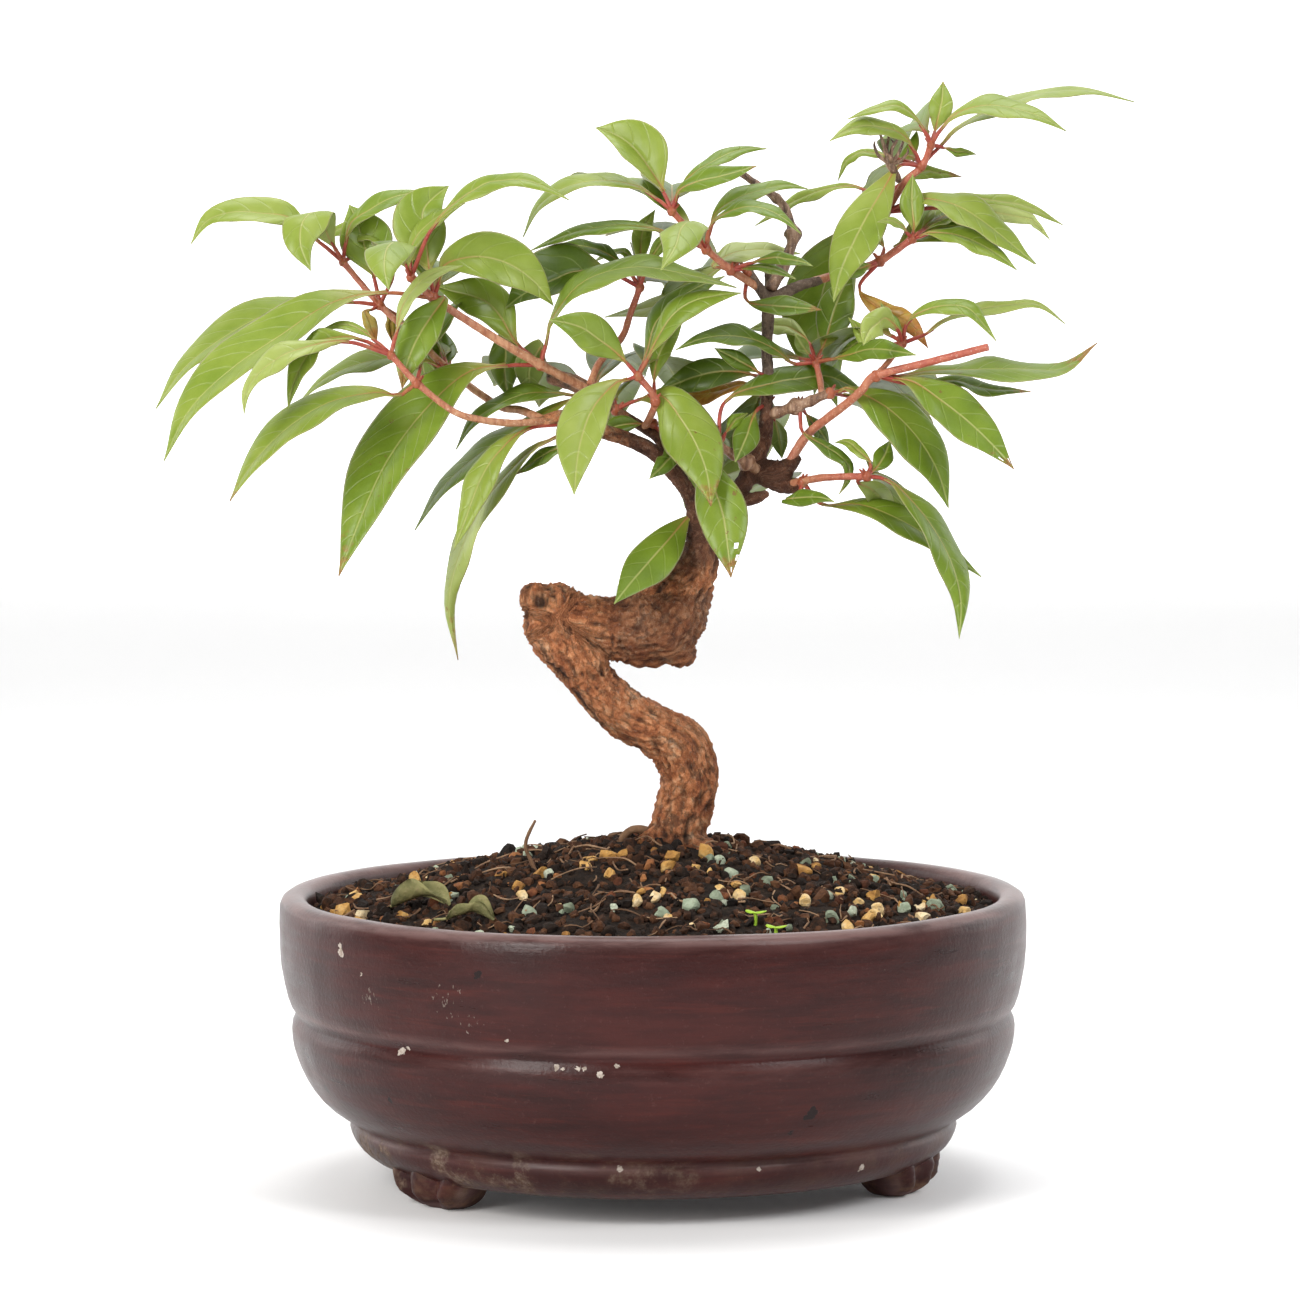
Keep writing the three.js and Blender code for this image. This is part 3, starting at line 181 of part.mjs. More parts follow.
  ["F3","leaves_front_shoot_tip",[[-3.4,-10,216.4],[-6.5,-11.4,215.4],[-9.5,-12.8,214.4],[-15,-17.2,208.5],[-18.1,-21.9,201.1],[-19.6,-26.9,193.5],[-20.2,-32,185.8]],[[2.4,-4.1,-4],[2.7,-4.3,-3.9],[3.9,-4.1,-2.7],[4.5,-3.9,-1.4],[4.6,-2.1,-0.7],[4.5,-0.3,-0.6],[4.5,0.6,-0.6]],[[-2.1,0,6.1],[-2.5,0.2,5.9],[-4.2,0.1,4.9],[-5.5,0,3.4],[-6.2,0,2],[-6.4,0,1],[-6.4,0,0.6]]],
  ["bk14","leaves_front_shoot_tip",[[-3.4,-10,216.4],[-1.9,-4.8,218.9],[-0.2,0.7,220.5],[2.6,10.2,220.6],[5.4,19.4,217.7],[7.7,27.2,212],[9.5,33,204.1]],[[8.3,-2.5,0.1],[8.3,-2.5,0.1],[8.4,-2.5,0.1],[8.4,-2.5,0.1],[8.4,-2.5,0.1],[8.4,-2.5,0.1],[8.4,-2.5,0]],[[-8.1,0.8,3.2],[-8,1.1,3.4],[-7.7,1.9,3.6],[-7.5,2.8,3.6],[-7.2,3.8,3.2],[-6.9,4.7,2.6],[-6.8,5,2.2]]],
  ["G4b","leaf_front_shoot_base",[[1.1,-6,209.6],[0.8,-4.1,214.5],[1.4,-1.9,219.1],[2.6,0,222.6],[4.5,2,225.8],[6.7,4,228.7],[8.9,6,231.5]],[[-2.4,0.4,-0.2],[-2.4,0.6,0],[-2.4,0.8,0.3],[-2.3,1.1,0.7],[-2.2,1.1,1],[-2.1,1.1,1.2],[-2.1,1.1,1.2]],[[2.4,0.6,0],[2.4,0.4,-0.2],[2.4,-0.2,-0.4],[2.3,-0.9,-0.8],[2.2,-1.1,-1],[2.1,-1.1,-1.2],[2.1,-1.1,-1.2]]],
  ["G1","leaf_grey_bough_front",[[-9.4,2,207.1],[-3.8,-0.7,209.7],[2.9,-4,210.9],[8.1,-8.2,204.6],[12.2,-12.7,197.6],[14.8,-17.3,190.2],[15.7,-22,182.3]],[[-2.2,2.4,6.1],[-0.8,2.6,6.4],[3.2,2.3,5.6],[5.6,2.2,3.3],[6.2,2.2,2.1],[6.4,1.7,1],[6.5,1.4,0.4]],[[2.9,0,-6.4],[1.6,-0.2,-6.8],[-2.8,0,-6.4],[-5.6,0.1,-4.2],[-6.4,0,-2.9],[-6.8,0.1,-1.7],[-6.9,0,-0.9]]],
  ["bk15","leaf_grey_bough_front",[[-9.4,2,207.1],[-9.7,7.1,209.6],[-10,12.5,211.3],[-10.5,22,211.8],[-11,31.2,209.5],[-11.5,39.3,204.5],[-11.8,45.5,197.4]],[[8.3,-1.4,3.7],[8.3,-1.1,3.8],[8.2,-0.1,4.1],[8.2,0.9,4.1],[8.1,2.1,3.8],[8.1,3.1,3.1],[8,3.6,2.7]],[[-9.2,-0.4,-0.3],[-9.2,-0.4,-0.3],[-9.2,-0.5,-0.3],[-9.2,-0.5,-0.3],[-9.2,-0.6,-0.3],[-9.2,-0.7,-0.2],[-9.2,-0.7,-0.2]]],
  ["G2","leaves_hanging_spur",[[17.8,-9,197.7],[16.2,-9.6,196.5],[14.6,-10.2,195.4],[16.6,-13.5,187.3],[19,-17.1,179.5],[20.1,-21,171.5],[20.9,-25,163.5]],[[3.5,0,-4.8],[4.1,-0.4,-3.7],[5.9,0,0.3],[5.7,0.1,1.5],[5.8,0,1.3],[5.9,0,0.8],[5.9,0,0.6]],[[-3.5,0,4.8],[-4.1,0.4,3.7],[-5.9,0,-0.3],[-5.7,-0.1,-1.5],[-5.8,0,-1.3],[-5.9,0,-0.8],[-5.9,0,-0.6]]],
  ["LR16","leaves_hanging_spur",[[17.8,-9,197.7],[20,-5.9,201.3],[22.4,-2.6,204.4],[23.3,-1.7,204.8],[24.2,-0.8,205.3],[25.1,0.1,205.7],[26,1,206.2]],[[-1.4,0,0.8],[-1.3,0,0.9],[-1.2,0,1.1],[-0.9,0.1,1.3],[-0.7,0,1.4],[-0.7,0,1.4],[-0.7,0,1.4]],[[1.4,0,-0.8],[1.3,0,-0.9],[1.2,0,-1.1],[0.9,-0.1,-1.3],[0.7,0,-1.4],[0.7,0,-1.4],[0.7,0,-1.4]]],
  ["R3","leaves_hanging_spur",[[17.8,-9,197.7],[19.9,-4.2,209.6],[33.2,1.4,214.1],[40.2,4.4,215.1],[47.2,7.4,215.7],[53.6,10.5,213],[59.6,13.6,209.3]],[[-3.5,2.2,0.1],[-3.2,3.3,1.7],[-1.9,3.5,3.1],[-1.2,3.3,3.4],[-0.3,3.3,3.6],[0.8,3.4,3.5],[1.2,3.3,3.4]],[[3.2,-0.3,-0.5],[3,-3.5,-1.5],[1.9,-3.7,-2.8],[1.2,-3.6,-3.1],[0.4,-3.5,-3.3],[-0.6,-3.6,-3.3],[-1,-3.5,-3.2]]],
  ["bk16","leaves_hanging_spur",[[17.8,-9,197.7],[16.6,-3.3,199.9],[15.5,2.7,200.9],[13.5,12.9,199.8],[11.7,22.1,195.5],[10.2,29.5,188.4],[9.3,34.2,179.2]],[[7.8,2.6,-2.9],[7.8,2.4,-3],[8,1.6,-3.1],[8.1,0.8,-3],[8.3,-0.2,-2.6],[8.5,-0.9,-1.9],[8.5,-1.2,-1.5]],[[-5.5,-3.3,5.9],[-5.7,-2.7,6],[-6,-1.2,6.3],[-6.3,0.4,6],[-6.6,2.3,5.2],[-6.9,3.7,3.8],[-7,4.3,2.9]]],
  ["G3","leaf_trunk_neck",[[13,0,181.1],[11,-1.4,179.4],[9,-2.8,177.7],[4.1,-7.7,172.2],[-0.8,-12.9,167],[-5.5,-18.4,161.9],[-9.9,-24,156.7]],[[3.9,-2,-3.8],[4,-2.1,-3.7],[4.4,-1.9,-3.2],[4.5,-1.9,-3.1],[4.5,-1.8,-3.1],[4.5,-1.8,-3],[4.6,-1.8,-2.9]],[[-3.8,2.9,3.2],[-3.8,2.9,3.1],[-4.2,2.7,2.7],[-4.2,2.7,2.5],[-4.3,2.6,2.5],[-4.3,2.5,2.4],[-4.4,2.5,2.4]]],
  ["G5","leaves_left_bough_front",[[0.5,0,203.3],[-2.6,-0.7,203.4],[-5.6,-1.4,203.4],[-8,-2.1,203.1],[-10.2,-2.8,202.5],[-12.2,-3.5,201.3],[-14.1,-4.2,199.9]],[[0.1,-1.1,-2.2],[0.1,-1.1,-2.2],[0.3,-1.1,-2.1],[0.6,-1.1,-2.1],[1,-1.1,-1.9],[1.3,-1,-1.7],[1.4,-1.1,-1.6]],[[0,0,2.4],[0,0,2.4],[-0.2,0,2.4],[-0.5,0,2.4],[-0.9,0,2.2],[-1.3,0,2],[-1.4,0,2]]],
  ["G4","leaves_left_bough_front",[[0.5,0,203.3],[4.1,-3.7,199.7],[5.5,-7.8,195.3],[4,-9.9,193.7],[2.5,-12,192.1],[0.9,-14.2,190.7],[-0.6,-16.3,189.2]],[[1.7,0,1.7],[2.1,0,1.2],[2.4,-0.1,0.1],[2,-0.2,-1.3],[1.7,0,-1.7],[1.7,0,-1.7],[1.7,0,-1.7]],[[-1.7,0,-1.7],[-2.1,0,-1.2],[-2.4,0.1,-0.1],[-2,0.2,1.3],[-1.7,0,1.7],[-1.7,0,1.7],[-1.7,0,1.7]]],
  ["CB1","leaves_upright_bough_top",[[31.4,4,215.4],[27.6,4.5,216.2],[23.9,5,217],[18,6,217.1],[12.2,7,215.8],[6.6,8.1,213.7],[1.1,9.2,211.4]],[[-0.9,-1.3,-3.7],[-0.8,-1.3,-3.7],[-0.4,-1.3,-3.7],[0.3,-1.3,-3.8],[0.9,-1.3,-3.7],[1.2,-1.3,-3.6],[1.3,-1.3,-3.5]],[[0.9,1.3,3.7],[0.8,1.3,3.7],[0.4,1.3,3.7],[-0.3,1.3,3.8],[-0.9,1.3,3.7],[-1.2,1.3,3.6],[-1.3,1.3,3.5]]],
  ["CB2","leaves_upright_bough_top",[[31.4,4,215.4],[27.8,6.1,213.5],[24,8.6,213.5],[18.2,12.8,211.7],[12.5,17.1,210.7],[6.7,21.6,210.2],[1,26.2,209.5]],[[0.1,-3.8,-2.4],[-0.5,-3.6,-2.4],[-0.8,-3.5,-2.3],[-0.8,-3.5,-2.4],[-0.9,-3.4,-2.3],[-1,-3.3,-2.3],[-1,-3.3,-2.3]],[[-0.1,3.8,2.4],[0.5,3.6,2.4],[0.8,3.5,2.3],[0.8,3.5,2.4],[0.9,3.4,2.3],[1,3.3,2.3],[1,3.3,2.3]]],
  ["U2","leaves_upright_bough_top",[[31.4,4,215.4],[29,2.5,216.9],[26.5,1.1,218.5],[24.1,-0.7,219.8],[21.6,-2.4,221.2],[19.2,-4.3,222.4],[16.8,-6.1,223.7]],[[-1.1,-0.3,-1.9],[-1.1,-0.3,-1.9],[-1,-0.3,-1.9],[-1,-0.3,-1.9],[-0.9,-0.3,-1.9],[-0.9,-0.3,-2],[-0.9,-0.3,-2]],[[1.1,0.3,1.9],[1.1,0.3,1.9],[1,0.3,1.9],[1,0.3,1.9],[0.9,0.3,1.9],[0.9,0.3,2],[0.9,0.3,2]]],
  ["bk17","leaves_upright_bough_top",[[31.4,4,215.4],[30.1,10.6,212.1],[28.9,17,208.5],[26.9,27.2,201.5],[25.1,36.7,193.5],[23.4,45.3,184.7],[21.9,53.1,175]],[[7.8,3,3],[7.8,3.1,3],[7.8,3.3,2.9],[7.7,3.5,2.7],[7.7,3.8,2.5],[7.6,4,2.3],[7.6,4.1,2.1]],[[-8.8,-1.5,0.4],[-8.8,-1.5,0.3],[-8.8,-1.5,0.3],[-8.8,-1.4,0.3],[-8.8,-1.4,0.3],[-8.8,-1.4,0.3],[-8.8,-1.4,0.3]]],
  ["U1","leaves_inner_right_shoot",[[44.3,6,219.6],[38.1,3.8,219.4],[33.2,1.1,223],[26.8,-2.2,225.9],[19.8,-5.7,226.8],[13,-9.4,225.9],[6.6,-13.1,223.3]],[[1,-4.5,-1.8],[0.5,-4.4,-2.1],[0.1,-4.4,-2.2],[0.6,-4.3,-2.1],[1.2,-4.2,-1.9],[1.6,-4.2,-1.5],[1.9,-4.2,-1.3]],[[-1,4.1,2.7],[-0.2,4,2.9],[0.3,4,2.9],[-0.3,3.9,2.9],[-1.1,3.9,2.7],[-1.7,3.8,2.3],[-2.1,3.8,2.1]]],
  ["T1a","leaves_inner_right_shoot",[[44.3,6,219.6],[45.7,7.2,222.6],[47.1,8.4,225.5],[48.5,10.6,230.4],[50.1,13,235.2],[52.2,15.5,239.8],[54.5,18,244.2]],[[-3.9,2.4,1.3],[-3.9,2.3,1.2],[-4,2.1,0.9],[-4,2,0.7],[-4,2.1,0.9],[-3.9,2.2,1.1],[-3.9,2.3,1.3]],[[4.4,0,-2],[4.4,0,-2],[4.6,0,-1.6],[4.6,0,-1.5],[4.5,0,-1.7],[4.4,0,-2],[4.3,0,-2.2]]],
  ["T1b","leaves_inner_right_shoot",[[44.3,6,219.6],[42.7,4.1,221.5],[41,2.2,223.5],[40.4,1.1,224.4],[39.7,0.1,225.4],[39.1,-1,226.3],[38.5,-2,227.3]],[[-1.2,0,-1.1],[-1.2,0,-1],[-1.3,0,-1],[-1.3,0,-0.9],[-1.4,0,-0.9],[-1.4,0,-0.9],[-1.4,0,-0.9]],[[1.2,0,1.1],[1.2,0,1],[1.3,0,1],[1.3,0,0.9],[1.4,0,0.9],[1.4,0,0.9],[1.4,0,0.9]]],
  ["R5","leaves_inner_right_shoot",[[44.3,6,219.6],[48.8,2.5,220.6],[53.2,-0.9,221.6],[57.5,-5,223],[61.7,-9.3,223.1],[65.9,-13.6,222.5],[70.1,-18,221.8]],[[0.4,2.5,2.6],[0.4,2.5,2.6],[0.3,2.4,2.6],[0.6,2.3,2.6],[1.1,2.2,2.4],[1.3,2.2,2.3],[1.3,2.2,2.2]],[[-0.4,-2.5,-2.6],[-0.4,-2.5,-2.6],[-0.3,-2.4,-2.6],[-0.6,-2.3,-2.6],[-1.1,-2.2,-2.4],[-1.3,-2.2,-2.3],[-1.3,-2.2,-2.2]]],
  ["S4b","leaves_inner_right_shoot",[[44.3,6,219.6],[42.3,11.3,225.2],[37.7,17.2,228.6],[34.8,20.3,229.2],[32,23.5,229.3],[29.3,26.8,228.7],[26.6,30,228]],[[-2.1,-0.9,-0.4],[-2,-1.3,-0.9],[-1.6,-1.3,-1.6],[-0.9,-1.3,-2],[-0.4,-1.2,-2.2],[-0.1,-1.2,-2.2],[0,-1.2,-2.2]],[[2.2,1.2,0.3],[2,1.3,0.9],[1.6,1.3,1.6],[0.9,1.3,2],[0.4,1.2,2.2],[0.1,1.2,2.2],[0,1.2,2.2]]],
  ["bk18","leaves_inner_right_shoot",[[44.3,6,219.6],[39.7,11.1,220.6],[35,16.3,221],[27.1,25,220.3],[19.4,33.5,217.9],[12.1,41.6,213.9],[5.2,49.2,208.3]],[[5.6,4.1,4.6],[5.4,4.3,4.7],[5.1,4.7,4.7],[4.7,5.1,4.6],[4.2,5.6,4.5],[3.8,6.1,4.3],[3.6,6.3,4.1]],[[-6.2,-5.4,-1.3],[-6.2,-5.4,-1.4],[-6.1,-5.5,-1.4],[-6,-5.7,-1.3],[-5.8,-5.8,-1.3],[-5.7,-5.9,-1.2],[-5.7,-6,-1.2]]],
  ["R2a","leaf_right_branch_end",[[47.8,-3,211.5],[50.4,-3.3,212.1],[53.1,-3.6,212.6],[62.6,-5,207.7],[70.3,-6.6,200.3],[75.9,-8.3,191.2],[79,-10.1,181]],[[-0.8,4.7,5.3],[-0.2,4.7,5.3],[2.3,4.7,4.9],[3.5,4.6,4.1],[4.5,4.6,3.1],[5.1,4.5,1.9],[5.3,3.7,1.2]],[[0.9,-4,-5.9],[0.3,-4.1,-5.8],[-2.4,-4,-5.4],[-3.8,-4,-4.6],[-4.8,-3.9,-3.4],[-5.5,-3.8,-2.2],[-5.7,-2,-1.6]]],
  ["bk19","leaf_right_branch_end",[[47.8,-3,211.5],[51.6,0.4,210.9],[55.3,3.8,209.9],[61.4,9.4,207.2],[67.1,14.5,203.3],[72.3,19.3,198.3],[76.9,23.5,192.4]],[[5.4,-5.4,3.6],[5.5,-5.3,3.6],[5.9,-5,3.5],[6.2,-4.7,3.4],[6.5,-4.4,3.1],[6.9,-4.1,2.8],[7,-3.9,2.6]],[[-5.7,6.2,-0.1],[-5.7,6.2,-0.1],[-5.7,6.2,-0.1],[-5.7,6.2,-0.1],[-5.7,6.2,-0.1],[-5.7,6.2,-0.1],[-5.8,6.2,-0.1]]],
  ["R1a","leaves_right_shoot",[[59.7,-11,216.2],[64.9,-12.3,215.4],[69.9,-14,214.4],[76.9,-17,209.5],[83.6,-20.2,204.2],[89.6,-23.5,198.3],[95.2,-27,192]],[[1.2,2.5,5.3],[1.5,2.6,5.2],[2.8,2.5,4.6],[3.6,2.4,4.1],[4,2.4,3.7],[4.2,2.4,3.4],[4.4,2.4,3.2]],[[-1.2,-3.4,-4.7],[-1.6,-3.4,-4.6],[-2.7,-3.3,-4.1],[-3.4,-3.3,-3.5],[-3.7,-3.2,-3.2],[-4,-3.2,-2.8],[-4.1,-3.2,-2.7]]],
  ["Q1","leaves_right_shoot",[[59.7,-11,216.2],[66.9,-10.3,216.2],[74.1,-9.5,217.4],[85.9,-8,217.7],[97.7,-6.4,217.8],[109.5,-4.7,217.8],[119,-3,224.6]],[[-0.4,7.5,2.4],[-0.7,7.4,2.4],[-0.7,7.4,2.4],[-0.6,7.4,2.4],[-0.7,7.4,2.4],[-1.4,7.4,2.1],[-1.9,7.4,1.6]],[[0.4,-7.5,-2.4],[0.7,-7.4,-2.4],[0.7,-7.4,-2.4],[0.6,-7.4,-2.4],[0.7,-7.4,-2.4],[1.4,-7.4,-2.1],[1.9,-7.4,-1.6]]],
  ["Q2","leaves_right_shoot",[[59.7,-11,216.2],[70,-6.3,213.8],[80.7,-1.1,214.6],[86.1,1.9,213.1],[91.5,4.9,212],[97,7.9,211.7],[102.4,11,211.3]],[[-0.5,3.5,1.8],[-0.7,3.4,1.7],[-0.8,3.3,1.7],[-0.6,3.3,1.8],[-0.8,3.3,1.7],[-0.9,3.3,1.7],[-0.9,3.3,1.7]],[[0.5,-3.5,-1.8],[0.7,-3.4,-1.7],[0.8,-3.3,-1.7],[0.6,-3.3,-1.8],[0.8,-3.3,-1.7],[0.9,-3.3,-1.7],[0.9,-3.3,-1.7]]],
  ["bk20","leaves_right_shoot",[[59.7,-11,216.2],[61.6,-4.2,215.7],[63.5,2.6,214.9],[66.6,13.8,212.7],[69.6,24.8,209.4],[72.5,35.4,205],[75.4,45.6,199.7]],[[7.7,-1.9,4.1],[7.7,-1.8,4.1],[7.8,-1.5,4.1],[7.9,-1.2,4],[8,-0.8,3.9],[8.1,-0.5,3.8],[8.1,-0.3,3.7]],[[-8.6,2.4,-0.4],[-8.6,2.3,-0.4],[-8.6,2.3,-0.4],[-8.6,2.3,-0.4],[-8.6,2.2,-0.4],[-8.6,2.2,-0.4],[-8.6,2.2,-0.4]]],
  ["S1a","leaves_right_side_shoot",[[67,-7,224.8],[68.1,-8.5,230.4],[72.7,-10.3,233.3],[78.3,-12.4,234.7],[83.7,-14.5,234],[87.6,-16.7,229.9],[91,-19,225.5]],[[-2,2.3,0.8],[-1.4,3.2,1.7],[-0.3,3.1,2.2],[0.6,3.1,2.2],[1.6,3.1,1.6],[2,3,0.9],[2.1,3.1,0.8]],[[1.8,-0.7,-0.5],[1.2,-3.3,-1.6],[0.2,-3.3,-2],[-0.6,-3.3,-1.9],[-1.5,-3.2,-1.4],[-1.9,-3.2,-0.7],[-1.9,-3.2,-0.6]]],
  ["S2","leaves_right_side_shoot",[[67,-7,224.8],[73,-6,227.2],[78.3,-4.9,230.6],[86.6,-3.1,233.3],[95.3,-1.2,234.7],[103.9,0.7,234.5],[110.9,2.7,229.7]],[[-0.7,2.6,1.2],[-0.8,2.6,1.1],[-0.8,2.6,1.1],[-0.6,2.6,1.2],[-0.4,2.6,1.3],[0.1,2.6,1.4],[0.5,2.6,1.3]],[[0.7,-2.6,-1.2],[0.8,-2.6,-1.1],[0.8,-2.6,-1.1],[0.6,-2.6,-1.2],[0.4,-2.6,-1.3],[-0.1,-2.6,-1.4],[-0.5,-2.6,-1.3]]],
  ["S4","leaves_right_side_shoot",[[67,-7,224.8],[65.2,-10.3,228.9],[62,-13.8,231.6],[59.9,-16.1,230.2],[57.9,-18.5,228.7],[56.7,-20.9,226.7],[55.8,-23.3,224.5]],[[-3,0,-1.3],[-2.5,0,-2],[-0.9,0.1,-3.1],[1.6,0.1,-2.8],[2.5,0,-2.1],[2.9,0,-1.5],[3,0,-1.1]],[[3,0,1.3],[2.5,0,2],[0.9,-0.1,3.1],[-1.6,-0.1,2.8],[-2.5,0,2.1],[-2.9,0,1.5],[-3,0,1.1]]],
  ["S5","leaves_right_side_shoot",[[67,-7,224.8],[62.1,-4,224.3],[57.5,-0.7,225.3],[56.5,0.7,227],[55.4,2.2,228.7],[54.2,3.8,230.2],[52.9,5.3,231.6]],[[0.2,0,-1.9],[-0.1,0,-1.9],[-0.7,0,-1.7],[-1.4,0.1,-1.2],[-1.5,0,-1.1],[-1.4,0,-1.2],[-1.4,0,-1.3]],[[-0.2,0,1.9],[0.1,0,1.9],[0.7,0,1.7],[1.4,-0.1,1.2],[1.5,0,1.1],[1.4,0,1.2],[1.4,0,1.3]]],
  ["S6","leaves_right_side_shoot",[[67,-7,224.8],[61.4,-0.2,223.1],[56.7,7,224.9],[55.1,9.6,224.1],[53.6,12.2,223.2],[52.1,14.8,222.3],[50.6,17.4,221.3]],[[0.1,-0.9,-1.7],[-0.3,-0.8,-1.6],[-0.5,-0.7,-1.5],[0.1,-0.9,-1.7],[0.5,-0.8,-1.6],[0.5,-0.8,-1.6],[0.5,-0.8,-1.6]],[[-0.1,0.9,1.7],[0.3,0.8,1.6],[0.5,0.7,1.5],[-0.1,0.9,1.7],[-0.5,0.8,1.6],[-0.5,0.8,1.6],[-0.5,0.8,1.6]]],
  ["S7","leaves_right_side_shoot",[[67,-7,224.8],[66.7,-5.9,226.3],[66.4,-4.7,227.7],[64.9,-2.5,229.6],[63.5,-0.2,231.5],[62.5,2.1,233.5],[61.6,4.5,235.5]],[[-1.6,-0.4,-0.3],[-1.6,-0.6,-0.2],[-1.6,-1,-0.4],[-1.6,-1,-0.6],[-1.6,-1,-0.5],[-1.6,-0.9,-0.4],[-1.6,-0.8,-0.3]],[[1.6,0.8,0.1],[1.6,0.9,0.1],[1.6,1,0.4],[1.6,1,0.6],[1.6,1,0.5],[1.6,0.9,0.4],[1.6,0.9,0.3]]],
  ["bk21","leaves_right_side_shoot",[[67,-7,224.8],[64.1,-3.3,226.8],[61,0.6,227.8],[55.6,7.3,227.2],[50.7,13.4,223.8],[46.8,18.3,218],[44.3,21.5,210.5]],[[6.5,4,2.2],[6.4,4.2,2.3],[6,4.7,2.4],[5.6,5.2,2.3],[5.1,5.8,2],[4.8,6.2,1.5],[4.6,6.4,1.1]],[[-5.9,-5.2,0.9],[-6,-5.2,1],[-6.2,-5,1],[-6.3,-4.8,1],[-6.5,-4.5,0.9],[-6.7,-4.3,0.6],[-6.8,-4.2,0.5]]],
  ["R10","leaves_upper_right_node",[[61.7,10,246.6],[55.9,7.7,239.1],[62.8,4.7,233],[66.4,3.4,231.4],[69.7,2.1,229.4],[72.1,0.7,226.4],[74.2,-0.7,223.1]],[[2.2,-0.3,-1.6],[2.7,0.2,0.1],[1.8,0.4,1.9],[1.4,0.4,2.3],[1.8,0.3,2],[2.2,0.3,1.6],[2.3,0.3,1.4]],[[-2.2,0.3,1.6],[-2.7,0.1,-0.2],[-1.8,-0.4,-1.9],[-1.4,-0.4,-2.3],[-1.8,-0.3,-2],[-2.2,-0.3,-1.6],[-2.3,-0.3,-1.4]]],
  ["R12","leaves_upper_right_node",[[61.7,10,246.6],[59.2,8.4,245.7],[56.7,6.7,244.8],[54.9,5.4,244.4],[53.2,4.1,244],[51.4,2.7,243.5],[49.7,1.3,243.1]],[[0.8,0,-2],[0.8,0,-2],[0.6,0,-2.1],[0.5,0,-2.1],[0.5,0,-2.1],[0.6,0,-2.1],[0.6,0,-2.1]],[[-0.8,0,2],[-0.8,0,2],[-0.6,0,2.1],[-0.5,0,2.1],[-0.5,0,2.1],[-0.6,0,2.1],[-0.6,0,2.1]]],
  ["Z5","leaves_upper_right_node",[[61.7,10,246.6],[62.9,13.3,250.1],[61.2,17,252.8],[59.4,19.2,253.2],[57.8,21.5,252.6],[56.3,23.7,251.7],[54.8,26,250.7]],[[-1.6,0.6,0.3],[-1.6,0,-0.2],[-1.3,-0.7,-1],[-0.3,-0.7,-1.6],[0.4,-0.7,-1.6],[0.6,-0.6,-1.5],[0.6,-0.6,-1.5]],[[1.6,-0.4,-0.4],[1.6,0.4,0],[1.3,0.7,1],[0.3,0.7,1.6],[-0.4,0.7,1.6],[-0.6,0.6,1.5],[-0.6,0.6,1.5]]],
  ["bk22","leaves_upper_right_node",[[61.7,10,246.6],[66.5,14.3,250.4],[71.6,19,253.3],[80.6,27.2,255.8],[89.8,35.6,255.3],[98.7,43.6,251.8],[106.7,50.9,245.6]],[[6.6,-4.2,-3.4],[6.4,-4.4,-3.5],[5.9,-4.9,-3.8],[5.3,-5.4,-3.9],[4.6,-6,-3.9],[3.9,-6.6,-3.6],[3.6,-6.9,-3.4]],[[-6,1.5,5.8],[-5.7,1.8,6],[-4.8,2.6,6.5],[-3.9,3.5,6.7],[-2.7,4.6,6.6],[-1.6,5.6,6.2],[-1,6.1,5.8]]],
  ["Y","leaves_upper_right_tip",[[70.2,8,252.5],[72.6,7.3,253.3],[74.9,6.5,254],[81.4,4.1,253.5],[87.3,1.5,251.3],[92.6,-1.2,248],[97.5,-4,244.1]],[[-0.3,3.5,2.7],[-0.2,3.5,2.8],[0.7,3.4,2.7],[1.3,3.4,2.5],[1.8,3.3,2.1],[2.2,3.3,1.8],[2.3,3.3,1.6]],[[0.2,-3.6,-2.5],[0.1,-3.7,-2.5],[-0.7,-3.6,-2.4],[-1.3,-3.5,-2.2],[-1.8,-3.5,-1.8],[-2,-3.4,-1.5],[-2.2,-3.4,-1.4]]],
  ["Z1","leaves_upper_right_tip",[[70.2,8,252.5],[70.5,8.2,254.3],[70.7,8.4,256.2],[70.4,8.9,259.6],[70.2,9.4,263],[70.3,9.9,266.4],[70.5,10.4,269.8]],[[-2.9,0,0.4],[-2.9,0,0.4],[-3,0,0],[-3,0,-0.2],[-3,0,-0.1],[-3,0,0.1],[-3,0,0.2]],[[2.9,0,-0.4],[2.9,0,-0.4],[3,0,0],[3,0,0.2],[3,0,0.1],[3,0,-0.1],[3,0,-0.2]]],
  ["Z2","leaves_upper_right_tip",[[70.2,8,252.5],[68.8,6.3,254.2],[67.3,4.6,255.9],[65.7,3,256.7],[63.9,1.4,257.3],[62.1,-0.3,257.2],[60.4,-2,257]],[[-0.6,-0.9,-0.9],[-0.6,-1,-1],[-0.4,-0.9,-1.1],[-0.1,-0.9,-1.1],[0.2,-0.9,-1.1],[0.4,-0.9,-1],[0.5,-0.9,-1]],[[0.6,0.9,0.9],[0.6,1,1],[0.4,0.9,1.1],[0.1,0.9,1.1],[-0.2,0.9,1.1],[-0.4,0.9,1],[-0.5,0.9,1]]],
  ["Z3","leaves_upper_right_tip",[[70.2,8,252.5],[72.8,11.7,254.8],[75.4,15.4,257.1],[77.7,18.5,258.1],[80.1,21.6,259],[82.4,24.8,259.8],[84.8,28,260.4]],[[-1.8,1.1,1.3],[-1.8,1.1,1.3],[-1.6,1,1.5],[-1.4,1,1.8],[-1.2,1,1.9],[-1.1,1,1.9],[-1,1,2]],[[1.8,-1.1,-1.3],[1.8,-1.1,-1.3],[1.6,-1,-1.5],[1.4,-1,-1.8],[1.2,-1,-1.9],[1.1,-1,-1.9],[1,-1,-2]]],
